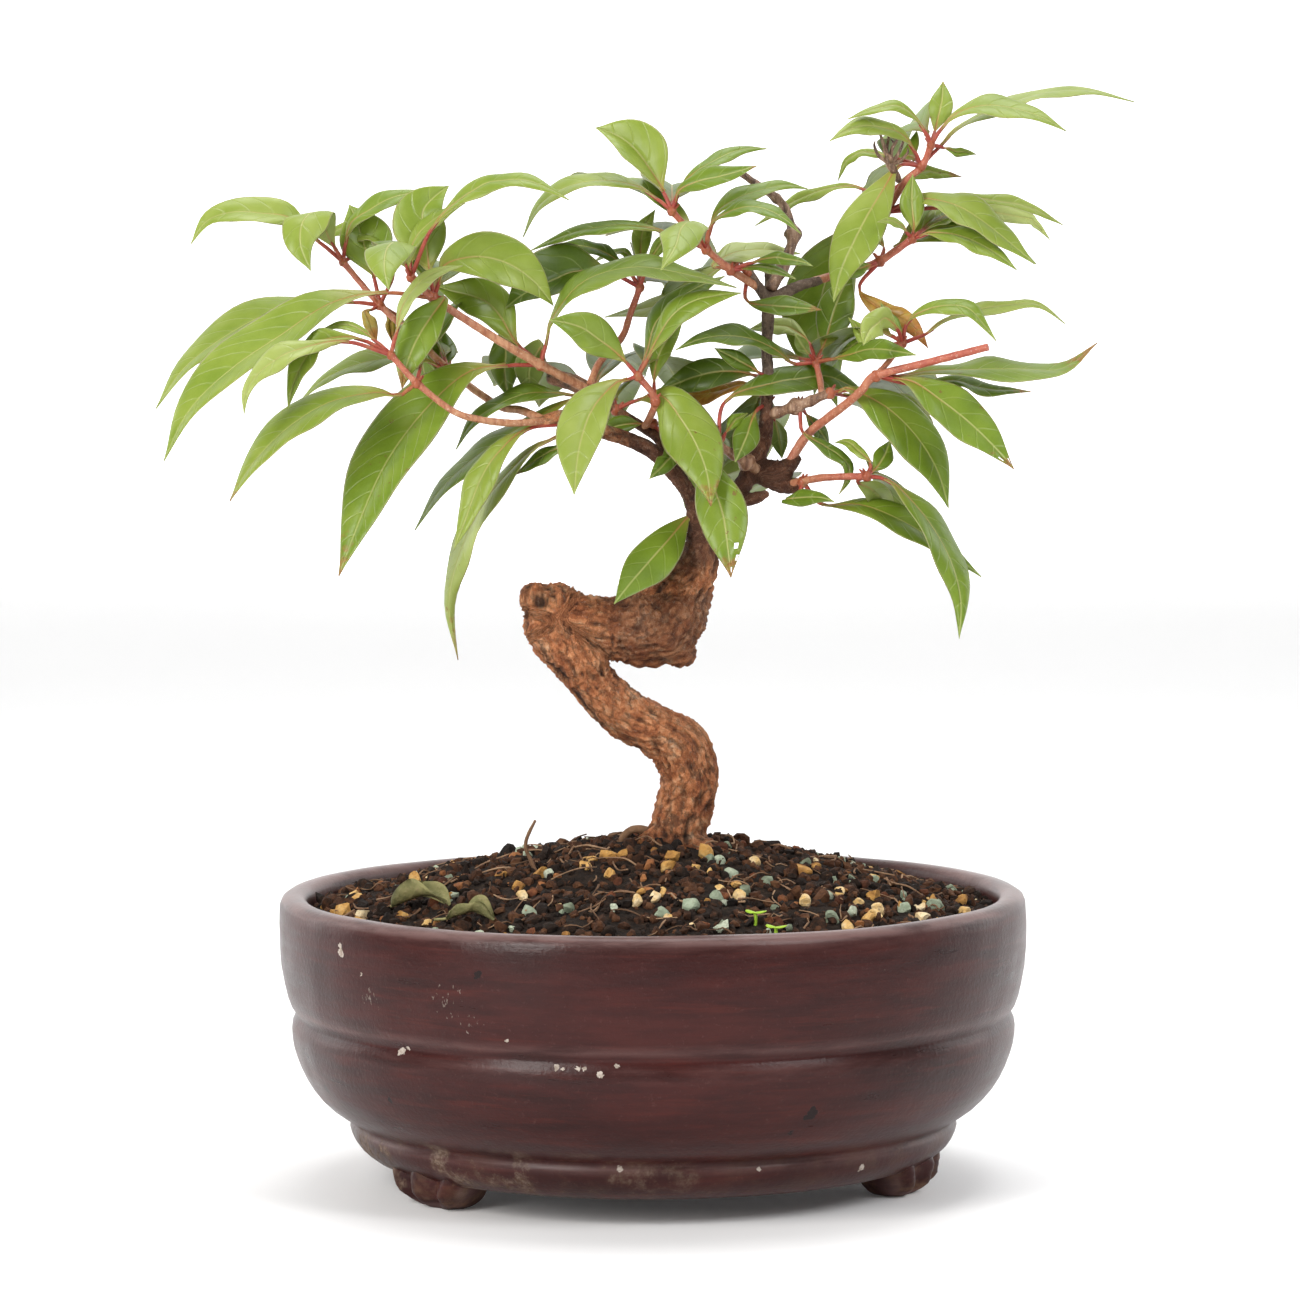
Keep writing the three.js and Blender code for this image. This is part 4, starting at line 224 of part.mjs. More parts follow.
  ["bk23","leaves_upper_right_tip",[[70.2,8,252.5],[74.2,12.8,255.6],[78.4,17.8,258.1],[85.7,26.5,260.7],[93.2,35.4,261.3],[100.6,44.3,259.9],[107.8,52.9,256.6]],[[6.2,-5.3,0.1],[6.2,-5.3,0.1],[6.2,-5.2,0.1],[6.2,-5.2,0.1],[6.2,-5.2,0.2],[6.2,-5.2,0.1],[6.2,-5.2,0.1]],[[-6.6,3.7,2.9],[-6.5,3.8,3],[-6.3,4.1,3.1],[-6,4.4,3.2],[-5.6,4.9,3.3],[-5.3,5.3,3.2],[-5.1,5.5,3.1]]],
  ["X","leaves_top_right_low",[[63.5,14,259.8],[68.5,12.6,262.1],[73.8,10.8,263.2],[82.1,7.8,261.3],[89.4,4.6,256.7],[96,1.3,251.2],[102.4,-2.2,245.6]],[[-1.1,4.4,3.9],[-0.4,4.4,4.1],[1.1,4.3,4],[2.3,4.2,3.4],[3,4.1,2.8],[3.3,4.1,2.5],[3.4,4.1,2.4]],[[0.8,-4.8,-3.5],[0.2,-4.8,-3.6],[-1.2,-4.7,-3.4],[-2.2,-4.6,-2.9],[-2.8,-4.5,-2.3],[-3,-4.5,-2],[-3.1,-4.5,-1.9]]],
  ["X2","leaves_top_right_low",[[63.5,14,259.8],[79.5,17.4,263.9],[96.1,21.5,262.2],[100.3,22.6,261.5],[104.5,23.7,260.2],[108.3,24.9,258.2],[112.1,26,256.2]],[[-0.7,2.2,1.8],[-0.4,2.2,1.9],[-0.1,2.2,1.9],[0.1,2.2,1.9],[0.4,2.2,1.9],[0.6,2.2,1.8],[0.6,2.2,1.8]],[[0.7,-2.2,-1.8],[0.4,-2.2,-1.9],[0.1,-2.2,-1.9],[-0.1,-2.2,-1.9],[-0.4,-2.2,-1.9],[-0.6,-2.2,-1.8],[-0.6,-2.2,-1.8]]],
  ["X3","leaves_top_right_low",[[63.5,14,259.8],[82.4,15.4,260.9],[101.2,17.1,258.1],[103.3,17.3,257],[105.1,17.5,255.5],[106.7,17.8,253.7],[108.3,18,251.8]],[[-0.1,0,1.9],[0.1,0,1.9],[0.3,0,1.9],[0.9,0,1.6],[1.3,0,1.4],[1.4,0,1.2],[1.4,0,1.2]],[[0.1,0,-1.9],[-0.1,0,-1.9],[-0.3,0,-1.9],[-0.9,0,-1.6],[-1.3,0,-1.4],[-1.4,0,-1.2],[-1.4,0,-1.2]]],
  ["V1p","leaves_top_right_low",[[63.5,14,259.8],[67.1,17.7,267.4],[74.4,22,270.6],[77,23.5,270.4],[79.6,25,270.1],[82.2,26.5,269.8],[84.8,28,269.3]],[[-1.6,1,0.5],[-1.4,1,0.9],[-0.9,1,1.4],[-0.3,1,1.6],[-0.1,1,1.6],[0,1,1.6],[0,1,1.6]],[[1.6,-0.9,-0.5],[1.4,-1,-0.9],[0.9,-1,-1.4],[0.3,-1,-1.6],[0.1,-1,-1.6],[0,-1,-1.6],[0,-1,-1.6]]],
  ["V2d","leaves_top_right_low",[[63.5,14,259.8],[57.5,17.2,266.2],[48.7,21.1,266.1],[43.2,23.7,264.5],[38.1,26.4,262.1],[33.3,29.2,259.2],[28.6,32,256.3]],[[-1.3,-2.4,-0.6],[-1.1,-2.4,-1],[-0.5,-2.4,-1.4],[-0.1,-2.4,-1.5],[0.1,-2.3,-1.5],[0.2,-2.3,-1.5],[0.2,-2.3,-1.5]],[[1.3,2.4,0.6],[1.1,2.4,1],[0.5,2.4,1.4],[0.1,2.4,1.5],[-0.1,2.3,1.5],[-0.2,2.3,1.5],[-0.2,2.3,1.5]]],
  ["bk24","leaves_top_right_low",[[63.5,14,259.8],[58.4,18.6,256.9],[53.9,22.7,252.5],[48.3,27.8,242.7],[45.7,30.1,230.7],[46.6,29.4,218.3],[50.7,25.6,207.2]],[[6.9,6.2,-2.2],[7,6,-2.1],[7.4,5.6,-1.7],[7.7,5.3,-1.1],[7.9,5.2,-0.2],[9.2,1.5,1.6],[8.9,1.8,2.7]],[[-6.7,-3.8,5.5],[-7.1,-3.4,5.2],[-8.1,-2.5,4.2],[-8.9,-1.8,2.7],[-9.3,-1.4,0.6],[-7.9,-5.2,-0.7],[-7.7,-5.3,-1.1]]],
  ["W","leaves_top_right_middle",[[72.9,14,272.1],[67,12,272.2],[63,9.7,266.4],[58.4,6.5,259.1],[54.4,3.1,251.6],[50.8,-0.5,243.8],[48.7,-4.2,235.8]],[[0.4,-2.7,-5.4],[3.2,-2.7,-4.4],[4.7,-2.6,-2.6],[5,-2.6,-2.2],[5.1,-2.3,-1.8],[5.2,-1.6,-1.5],[5.3,-0.9,-1.2]],[[-0.4,2.7,5.4],[-3.2,2.7,4.4],[-4.7,2.6,2.6],[-5,2.6,2.2],[-5.1,2.5,1.8],[-5.3,2.2,1.3],[-5.3,1.9,0.9]]],
  ["V2a","leaves_top_right_middle",[[72.9,14,272.1],[70.6,12,276.9],[67.1,9.8,280.6],[62.1,7.3,282.1],[57,4.8,282.5],[52.2,2.1,281],[47.8,-0.6,278.5]],[[-1.7,-2.5,-1.4],[-1.4,-2.9,-1.8],[-0.5,-2.8,-2.2],[0.3,-2.7,-2.2],[1,-2.7,-2.1],[1.5,-2.7,-1.7],[1.7,-2.7,-1.5]],[[2,2.6,1.5],[1.6,2.7,1.9],[0.7,2.6,2.4],[-0.2,2.6,2.5],[-1,2.5,2.3],[-1.6,2.5,1.9],[-1.8,2.5,1.7]]],
  ["V2e","leaves_top_right_middle",[[72.9,14,272.1],[78.1,14.8,277.5],[83.5,15.7,282.5],[94.8,17.5,287.9],[106.7,19.4,291.7],[119,21.3,292.1],[131.2,23.4,289.3]],[[-1.3,7.5,0.6],[-1.3,7.4,0.6],[-1.2,7.4,0.8],[-1.1,7.4,1],[-0.9,7.4,1.2],[-0.6,7.4,1.4],[-0.4,7.4,1.5]],[[1.5,-7.5,-0.8],[1.5,-7.4,-0.8],[1.4,-7.4,-1.1],[1.2,-7.4,-1.3],[0.9,-7.4,-1.5],[0.6,-7.4,-1.7],[0.3,-7.4,-1.7]]],
  ["V2c","leaves_top_right_middle",[[72.9,14,272.1],[65.5,17,274.4],[58.1,20.4,275.8],[55.4,21.7,275],[53.2,23.2,273.4],[52,24.6,270.9],[51,26,268.3]],[[-0.6,-1.6,-0.9],[-0.6,-1.6,-1],[-0.5,-1.6,-1.1],[0,-1.6,-1.2],[0.5,-1.5,-1],[0.8,-1.6,-0.9],[0.9,-1.1,-0.7]],[[0.6,1.6,0.9],[0.6,1.6,1],[0.5,1.6,1.1],[0,1.6,1.2],[-0.5,1.5,1],[-0.8,1.6,0.9],[-0.9,1.4,0.8]]],
  ["bk25","leaves_top_right_middle",[[72.9,14,272.1],[71.7,19,274],[70.3,24.2,274.9],[68.1,33,274.3],[66.1,41.3,271],[64.3,48.2,265.2],[63.1,53.1,257.6]],[[6.2,-1.1,7],[6,-0.5,7.2],[5.6,1.2,7.5],[5.2,3,7.3],[4.6,5,6.5],[4.2,6.7,5],[4,7.4,4.2]],[[-8.4,-0.6,-4.1],[-8.4,-0.9,-4.2],[-8.1,-1.9,-4.4],[-7.8,-3,-4.3],[-7.5,-4.2,-3.8],[-7.3,-5.2,-3],[-7.2,-5.6,-2.4]]],
  ["V3a","leaves_top_right_tip",[[75.5,12,277.7],[73.4,10.8,282],[70.3,9.3,285.6],[66.2,7.8,287.9],[61.6,6.2,287.3],[57.1,4.5,286],[52.8,2.8,284.4]],[[-1.1,-2.3,-0.9],[-0.9,-2.5,-1.1],[-0.5,-2.5,-1.3],[0.2,-2.5,-1.4],[0.7,-2.4,-1.2],[0.9,-2.5,-1.1],[1,-2.4,-1.1]],[[1.1,2.4,0.9],[0.9,2.5,1.1],[0.5,2.5,1.3],[-0.2,2.5,1.4],[-0.7,2.4,1.2],[-0.9,2.5,1.1],[-1,2.4,1.1]]],
  ["V3b","leaves_top_right_tip",[[75.5,12,277.7],[76.6,14.3,281.3],[77.6,16.5,285],[78.3,18.3,287.5],[78.9,20.2,290.1],[79.2,22.1,292.6],[79.4,24,295.2]],[[-2.9,0,0.8],[-2.9,0,0.8],[-2.9,0,0.8],[-2.9,0,0.7],[-2.9,0,0.4],[-3,0,0.2],[-3,0,0.1]],[[2.9,0,-0.8],[2.9,0,-0.8],[2.9,0,-0.8],[2.9,0,-0.7],[2.9,0,-0.4],[3,0,-0.2],[3,0,-0.1]]],
  ["V3c","leaves_top_right_tip",[[75.5,12,277.7],[78.5,11,282.4],[82.6,9.8,286.1],[89.9,8,288],[97.3,6.1,287.1],[104.4,4.1,284.7],[111,2,281]],[[-2,4.3,1.8],[-1.7,4.3,2.2],[-0.6,4.2,2.7],[0.4,4.2,2.7],[1.2,4.2,2.5],[1.7,4.2,2.2],[1.9,4.2,2]],[[1.8,-4.4,-1.7],[1.5,-4.4,-2],[0.5,-4.4,-2.5],[-0.5,-4.4,-2.5],[-1.2,-4.3,-2.2],[-1.6,-4.3,-1.9],[-1.8,-4.3,-1.8]]],
  ["V2f","leaves_top_right_tip",[[75.5,12,277.7],[79,13.6,277],[82.2,15.5,275.8],[83.7,16.4,275.8],[85.2,17.4,275.7],[86.7,18.3,275.5],[88.2,19.2,275.2]],[[0.1,0.4,1.1],[0.2,0.4,1.1],[0.1,0.4,1.1],[0,0.4,1.1],[0,0.4,1.1],[0,0.4,1.1],[0.1,0.4,1.1]],[[-0.1,-0.4,-1.1],[-0.2,-0.4,-1.1],[-0.1,-0.4,-1.1],[0,-0.4,-1.1],[0,-0.4,-1.1],[0,-0.4,-1.1],[-0.1,-0.4,-1.1]]],
  ["bk26","leaves_top_right_tip",[[75.5,12,277.7],[74.7,17,280.9],[73.8,22.6,283.1],[72.3,32.5,284.4],[70.7,42.3,282.6],[69.3,51,277.8],[68.2,57.9,270.5]],[[5.9,-2.9,5.9],[5.8,-2.3,6.3],[5.6,-0.7,6.8],[5.3,1,7],[5,3.2,6.6],[4.7,5.1,5.6],[4.5,5.9,4.9]],[[-8.1,0.9,-3.5],[-8,0.6,-3.7],[-7.9,-0.3,-4],[-7.7,-1.3,-4.1],[-7.5,-2.6,-3.9],[-7.3,-3.7,-3.3],[-7.3,-4.2,-2.8]]],
  ["LR1","leaves_lower_right_tip",[[57.2,-13,189.7],[58.3,-10.8,192.9],[56.1,-8.3,195.2],[54.6,-6.6,196.6],[53.1,-4.8,198],[51.2,-2.9,198.5],[49.1,-1.1,198.2]],[[-1.4,0.8,0.2],[-1.3,-0.2,-0.2],[-1.3,-1,-0.6],[-1.1,-0.9,-0.8],[-0.9,-0.8,-1],[-0.5,-0.9,-1.3],[-0.2,-0.9,-1.4]],[[1.3,-0.5,-0.3],[1.4,0.6,0],[1.3,1,0.6],[1.1,0.9,0.8],[0.9,0.8,1],[0.5,0.9,1.3],[0.2,0.9,1.4]]],
  ["LR2","leaves_lower_right_tip",[[57.2,-13,189.7],[58.5,-11.9,190.8],[59.7,-10.7,191.8],[61,-8.9,193.4],[62.2,-7,195.2],[63,-5,197.1],[63.8,-3,198.9]],[[-1.6,0,1.8],[-1.6,0.1,1.8],[-1.8,0,1.6],[-2,0,1.3],[-2.2,0,1.1],[-2.2,0,0.9],[-2.3,0,0.8]],[[1.6,0,-1.8],[1.6,-0.1,-1.8],[1.8,0,-1.6],[2,0,-1.3],[2.2,0,-1.1],[2.2,0,-0.9],[2.3,0,-0.8]]],
  ["LR4","leaves_lower_right_tip",[[57.2,-13,189.7],[62.5,-13.7,188.8],[66.7,-14.6,185.5],[73.6,-16.5,177.3],[78.8,-18.6,168],[81.5,-20.7,157.7],[81.1,-23,147]],[[1.1,6.1,3.6],[2.1,6.1,3.2],[3.1,6,2.2],[3.5,6,1.6],[3.7,5.4,0.8],[3.8,3.7,0],[3.8,2.1,-0.4]],[[-1.1,-6.2,-3.4],[-2,-6.2,-2.9],[-3,-6.2,-2],[-3.3,-6.2,-1.4],[-3.4,-4.5,-0.8],[-3.5,-0.1,-0.4],[-3.5,3,-0.2]]],
  ["LR6","leaves_lower_right_tip",[[57.2,-13,189.7],[54.6,-9,188.1],[58.3,-5.1,186.2],[60.4,-1.9,184.3],[62.3,1.2,182.2],[64,4.5,180],[65.7,7.7,177.9]],[[1.4,-0.1,-2.6],[2.9,-0.1,0.4],[1.9,-0.1,2.3],[2,0,2.2],[2.3,0,1.9],[2.3,0,1.8],[2.4,0,1.8]],[[-1.4,0.1,2.6],[-2.9,0.1,-0.4],[-1.9,0.1,-2.3],[-2,0,-2.2],[-2.3,0,-1.9],[-2.3,0,-1.8],[-2.4,0,-1.8]]],
  ["bk27","leaves_lower_right_tip",[[57.2,-13,189.7],[58.4,-8.7,190.6],[59.5,-4.4,190.6],[61.4,2.7,189.1],[63.2,9.2,185.6],[64.6,14.4,180.4],[65.5,18.1,173.9]],[[8.5,-1.5,-4.1],[8.4,-1.8,-4.2],[8.2,-2.7,-4.2],[7.9,-3.6,-4],[7.7,-4.6,-3.4],[7.5,-5.4,-2.6],[7.4,-5.7,-2.1]],[[-6.2,0.3,7.3],[-6,0.9,7.4],[-5.6,2.4,7.4],[-5.2,4,7],[-4.7,5.8,6],[-4.3,7.2,4.6],[-4.2,7.8,3.7]]],
  ["LR5","leaves_lower_right_base",[[40.6,0,187.7],[45.8,-1.7,181.8],[55.7,-3.7,181.6],[64.5,-5.9,178.5],[72.7,-8.1,174],[80.3,-10.4,168.5],[87.6,-12.8,162.8]],[[2.9,5.3,1.6],[1.9,5.3,2.7],[1.4,5.4,3],[2,5.3,2.7],[2.4,5.3,2.3],[2.6,5.3,2.1],[2.6,5.3,2.1]],[[-2.7,-5.5,-1.4],[-1.8,-5.5,-2.4],[-1.3,-5.5,-2.8],[-1.9,-5.4,-2.4],[-2.2,-5.4,-2.1],[-2.4,-5.4,-1.9],[-2.5,-5.4,-1.8]]],
  ["LR8","leaves_lower_right_base",[[40.6,0,187.7],[39,-2.7,183.9],[35.6,-5.7,183.1],[39,-8.7,183.7],[42.3,-11.7,184],[45.5,-14.8,183.9],[48.5,-18,183.1]],[[1.9,-1.4,-0.3],[1.9,-1.8,-0.7],[1.7,0.9,0.7],[0.5,1.7,2],[0.7,1.7,1.9],[1,1.6,1.8],[1.2,1.6,1.6]],[[-2,1.7,0.2],[-1.9,1.8,0.7],[-1.7,-0.8,-0.8],[-0.5,-1.7,-2],[-0.7,-1.7,-1.9],[-1,-1.6,-1.8],[-1.2,-1.6,-1.6]]],
  ["bk28","leaves_lower_right_base",[[40.6,0,187.7],[38.5,4.3,188.3],[36.3,8.7,188.4],[32.7,16,187.8],[29.1,23.2,186],[25.7,30,183.1],[22.5,36.4,179.2]],[[8.5,4,1.4],[8.4,4.1,1.4],[8.4,4.2,1.4],[8.3,4.4,1.4],[8.2,4.5,1.4],[8.1,4.7,1.3],[8.1,4.8,1.3]],[[-8,-4.3,2.6],[-8.1,-4.2,2.6],[-8.2,-4,2.6],[-8.3,-3.7,2.6],[-8.5,-3.4,2.5],[-8.7,-3.1,2.4],[-8.7,-2.9,2.3]]],
  ["LR11","leaves_right_branch_base",[[39.8,0,208.3],[40.6,-1.5,201.1],[46.4,-3.3,197.1],[49.8,-4.4,195],[52.4,-5.6,192],[52.2,-6.7,188.1],[50,-7.9,184.7]],[[1.6,1.3,0],[1.6,2.2,0.5],[1.2,2.2,1.1],[1.4,2.2,1],[1.6,1.8,0.2],[1.6,-0.5,-0.3],[1.6,-2.1,-0.6]],[[-1.6,0.2,-0.2],[-1.6,-2.2,-0.5],[-1.2,-2.2,-1.1],[-1.4,-2.2,-1],[-1.6,-1.1,-0.3],[-1.6,1.5,0.2],[-1.6,2.1,0.6]]],
  ["LR12","leaves_right_branch_base",[[39.8,0,208.3],[41.5,2.5,205.9],[43.2,5.1,203.6],[44.6,7.3,202],[45.9,9.5,200.3],[47.1,11.7,198.6],[48.1,14,196.8]],[[1.4,0.5,1.3],[1.4,0.5,1.3],[1.4,0.5,1.3],[1.3,0.5,1.3],[1.4,0.5,1.3],[1.5,0.5,1.2],[1.5,0.5,1.1]],[[-1.4,-0.5,-1.3],[-1.4,-0.5,-1.3],[-1.4,-0.5,-1.3],[-1.3,-0.5,-1.3],[-1.4,-0.5,-1.3],[-1.5,-0.5,-1.2],[-1.5,-0.5,-1.1]]],
  ["bk29","leaves_right_branch_base",[[39.8,0,208.3],[38,5.2,208],[36.2,10.4,206.9],[33.3,18.5,203.6],[30.7,25.8,198.4],[28.6,31.7,191.6],[27,36.1,183.6]],[[6.5,2.6,4.8],[6.4,2.9,4.8],[6.1,3.7,4.6],[5.8,4.4,4.2],[5.5,5.3,3.6],[5.3,6,2.9],[5.2,6.2,2.4]],[[-7.8,-2.9,-1.4],[-7.8,-3,-1.4],[-7.7,-3.2,-1.4],[-7.6,-3.4,-1.3],[-7.5,-3.7,-1.1],[-7.5,-3.9,-0.9],[-7.4,-4,-0.7]]],
  ["LR15","leaves_upright_bough_middle",[[31.1,4,208.5],[28.1,1.1,206.7],[26.4,-2.1,203],[25.6,-4.5,200.5],[24.5,-7,198.1],[23.4,-9.5,195.8],[22.2,-12,193.5]],[[1.7,0,-2.7],[2.5,0,-2.1],[2.9,0,-1.3],[3,0,-1.2],[3,0,-1.3],[2.9,0,-1.4],[2.9,0,-1.4]],[[-1.7,0,2.7],[-2.5,0,2.1],[-2.9,0,1.3],[-3,0,1.2],[-3,0,1.3],[-2.9,0,1.4],[-2.9,0,1.4]]],
  ["LR14","leaves_upright_bough_middle",[[31.1,4,208.5],[33,7.2,204.6],[34.2,10.7,200.7],[34.5,12.5,198.8],[34.9,14.3,196.9],[35.2,16.1,195],[35.5,18,193.2]],[[1.9,0,0.9],[2,0,0.8],[2.1,0,0.6],[2.1,0,0.4],[2.1,0,0.3],[2.1,0,0.3],[2.1,0,0.3]],[[-1.9,0,-0.9],[-2,0,-0.8],[-2.1,0,-0.6],[-2.1,0,-0.4],[-2.1,0,-0.3],[-2.1,0,-0.3],[-2.1,0,-0.3]]]
];

// ---------------------------------------------------------------- solids
function solid(geometry) {
  const g = geometry.clone();
  g.deleteAttribute('normal'); g.deleteAttribute('uv');
  const m = mergeVertices(g, 1e-4);
  const idx = m.index ? m.index.array : Array.from({ length: m.attributes.position.count }, (_, i) => i);
  const make = tri => new wasm.Manifold(new wasm.Mesh({ numProp: 3, vertProperties: new Float32Array(m.attributes.position.array), triVerts: new Uint32Array(tri) }));
  const body = make(idx);
  if (body.volume() > 0) return body;
  const turned = Array.from(idx);                       // wound the other way: faces turned outwards
  for (let i = 0; i < turned.length; i += 3) [turned[i + 1], turned[i + 2]] = [turned[i + 2], turned[i + 1]];
  return make(turned);
}
function geometry(man) {
  const m = man.getMesh();
  const g = new THREE.BufferGeometry();
  g.setAttribute('position', new THREE.BufferAttribute(new Float32Array(m.vertProperties), 3));
  g.setIndex(new THREE.BufferAttribute(new Uint32Array(m.triVerts), 1));
  g.computeVertexNormals();
  return g;
}
function largest(man) {
  const parts = man.decompose();
  return parts.reduce((a, b) => (b.volume() > a.volume() ? b : a));
}
// closed loft through rings of equal length; the ends are closed by fans to their middles
function loft(rings) {
  const n = rings[0].length, pos = [], idx = [];
  for (const r of rings) for (const p of r) pos.push(p.x, p.y, p.z);
  const mid = r => r.reduce((a, p) => a.clone().add(p), new THREE.Vector3()).multiplyScalar(1 / n);
  const a = mid(rings[0]), b = mid(rings[rings.length - 1]);
  pos.push(a.x, a.y, a.z, b.x, b.y, b.z);
  const ia = rings.length * n, ib = ia + 1, last = (rings.length - 1) * n;
  for (let i = 0; i < rings.length - 1; i++) for (let k = 0; k < n; k++) {
    const p = i * n + k, q = i * n + (k + 1) % n;
    idx.push(p, q, q + n, p, q + n, p + n);
  }
  for (let k = 0; k < n; k++) { idx.push(ia, (k + 1) % n, k); idx.push(ib, last + k, last + (k + 1) % n); }
  const g = new THREE.BufferGeometry();
  g.setAttribute('position', new THREE.Float32BufferAttribute(pos, 3));
  g.setIndex(idx);
  return g;
}
// round limb along a smooth line, its radius following the run
function limb(run, sides, grow = 0, perSpan = 2, rough = 0) {
  const c = new THREE.CatmullRomCurve3(run.map(p => new THREE.Vector3(p[0], p[1], p[2])), false, 'centripetal');
  const n = (run.length - 1) * perSpan, rings = [];
  let normal = null, prev = null;
  for (let i = 0; i <= n; i++) {
    const t = i / n, p = c.getPoint(t), d = c.getTangent(t);
    if (!normal) {
      normal = new THREE.Vector3(0, 1, 0);
      if (Math.abs(d.y) > 0.9) normal.set(1, 0, 0);
    } else normal.applyQuaternion(new THREE.Quaternion().setFromUnitVectors(prev, d));
    normal.addScaledVector(d, -normal.dot(d)).normalize();
    prev = d.clone();
    const bin = new THREE.Vector3().crossVectors(d, normal);
    const s = t * (run.length - 1), j = Math.min(run.length - 2, Math.floor(s)), u = s - j;
    const r = run[j][3] * (1 - u) + run[j + 1][3] * u + grow;
    const ring = [];
    for (let k = 0; k < sides; k++) {
      const a = 2 * Math.PI * k / sides;
      const rr = r * (1 + rough * Math.sin(3 * a + i * 1.3) * 0.5 + rough * Math.sin(5 * a - i * 2.1) * 0.5);
      ring.push(p.clone().addScaledVector(normal, rr * Math.cos(a)).addScaledVector(bin, rr * Math.sin(a)));
    }
    rings.push(ring);
  }
  return solid(loft(rings));
}
const V = a => new THREE.Vector3(a[0], a[1], a[2]);
// share of a leaf's full width at a point of its blade, 0 at the stalk and 1 at the tip
function blade(s) {
  return s < 0.45 ? Math.pow(Math.sin(Math.PI / 2 * s / 0.45), 0.85) : Math.pow(Math.max(0, Math.cos(Math.PI / 2 * (s - 0.45) / 0.55)), 0.9);
}
function leaf(row) {
  const M = row[2].map(V), L = row[3].map(V), R = row[4].map(V), rings = [];
  for (let i = 0; i < M.length; i++) {
    const a = M[Math.max(0, i - 1)], b = M[Math.min(M.length - 1, i + 1)];
    const t = b.clone().sub(a).normalize();
    const across = L[i].clone().sub(R[i]).normalize();
    const n = new THREE.Vector3().crossVectors(t, across).normalize();
    const w = i < 2 ? 0 : blade((i - 2) / (M.length - 3));
    const th = i === M.length - 1 ? 0.2 : (i < 2 ? PETIOLE_R : LEAF_T / 2 + (i === 2 ? 0.1 : 0));
    const min = i === M.length - 1 ? 0.15 : PETIOLE_R;
    const le = w * L[i].length() > min ? M[i].clone().addScaledVector(L[i], w) : M[i].clone().addScaledVector(across, min);
    const re = w * R[i].length() > min ? M[i].clone().addScaledVector(R[i], w) : M[i].clone().addScaledVector(across, -min);
    rings.push([re, M[i].clone().addScaledVector(n, th), le, M[i].clone().addScaledVector(n, -th)]);
  }
  let s = solid(loft(rings));
  if (s.volume() < 0) s = solid(loft(rings.map(r => r.slice().reverse())));
  return s;
}

const group = new THREE.Group();
const nodes = [];
function add(name, man, colour, roughness, metalness = 0) {
  const mesh = new THREE.Mesh(geometry(man), new THREE.MeshStandardMaterial({ color: colour, roughness, metalness }));
  mesh.name = name;
  mesh.position.set(-CENTRE_X, -CENTRE_Y, 0);
  group.add(mesh);
  nodes.push(name);
}
const lathe = (pts, n) => solid(new THREE.LatheGeometry(pts.map(p => new THREE.Vector2(p[0], p[1])), n).rotateX(Math.PI / 2));
const rod = (r, z0, z1, x, y, n) => solid(new THREE.CylinderGeometry(r, r, z1 - z0, n).rotateX(Math.PI / 2).translate(x, y, (z0 + z1) / 2));

// ---------------------------------------------------------------- pot with three feet
const POT_PROFILE = [
  [0, FLOOR_TOP], [82, FLOOR_TOP], [90.5, 34], [RIM_R - WALL, 50], [RIM_R - WALL, RIM_TOP - 2], [RIM_R - 4, RIM_TOP], [RIM_R, RIM_TOP - 2.2],
  [100.4, 66], [98.9, 53], [96.1, 45.8], [97.1, 42.1], [96, 35.3], [92.5, 27], [88.6, 22.4], [81.3, 17],
  [81.5, 15.5], [79.6, 11.3], [74.4, BASE_BOTTOM], [0, BASE_BOTTOM]
];
let pot = lathe(POT_PROFILE, 40);
for (const deg of FOOT_ANGLES) {
  const shape = new THREE.Shape(), h = FOOT_HALF_ANGLE;
  const at = (r, a) => [r * Math.sin((deg + a) * Math.PI / 180), -r * Math.cos((deg + a) * Math.PI / 180)];
  const outline = [[FOOT_INNER, -h * 0.8], [FOOT_OUTER - 5, -h], [FOOT_OUTER - 1, -h * 0.75], [FOOT_OUTER, -h * 0.3], [FOOT_OUTER - 0.6, 0], [FOOT_OUTER, h * 0.3], [FOOT_OUTER - 1, h * 0.75], [FOOT_OUTER - 5, h], [FOOT_INNER, h * 0.8]];
  outline.forEach(([r, a], i) => { const [x, y] = at(r, a); i ? shape.lineTo(x, y) : shape.moveTo(x, y); });
  shape.closePath();
  pot = pot.add(solid(new THREE.ExtrudeGeometry(shape, { depth: FOOT_TOP, bevelEnabled: false })));
}
pot = pot.subtract(rod(DRAIN_R, BASE_BOTTOM - 2, FLOOR_TOP + 2, 0, 0, 24));
for (const sx of [-1, 1]) pot = pot.subtract(rod(WIRE_HOLE_R, BASE_BOTTOM - 2, FLOOR_TOP + 2, sx * WIRE_HOLE_AT, 0, 12));
add('pot', pot, 0x4b2d2a, 0.45);

// ---------------------------------------------------------------- mesh disc over the drain hole
let screen = rod(SCREEN_R, FLOOR_TOP + 0.3, FLOOR_TOP + 0.3 + SCREEN_T, 0, 0, 24);
for (let i = -1; i <= 1; i++) for (let j = -1; j <= 1; j++) {
  screen = screen.subtract(solid(new THREE.BoxGeometry(5, 5, 6).translate(i * 7, j * 7, FLOOR_TOP + 0.9)));
}
add('drain_screen', screen, 0x20241f, 0.6);

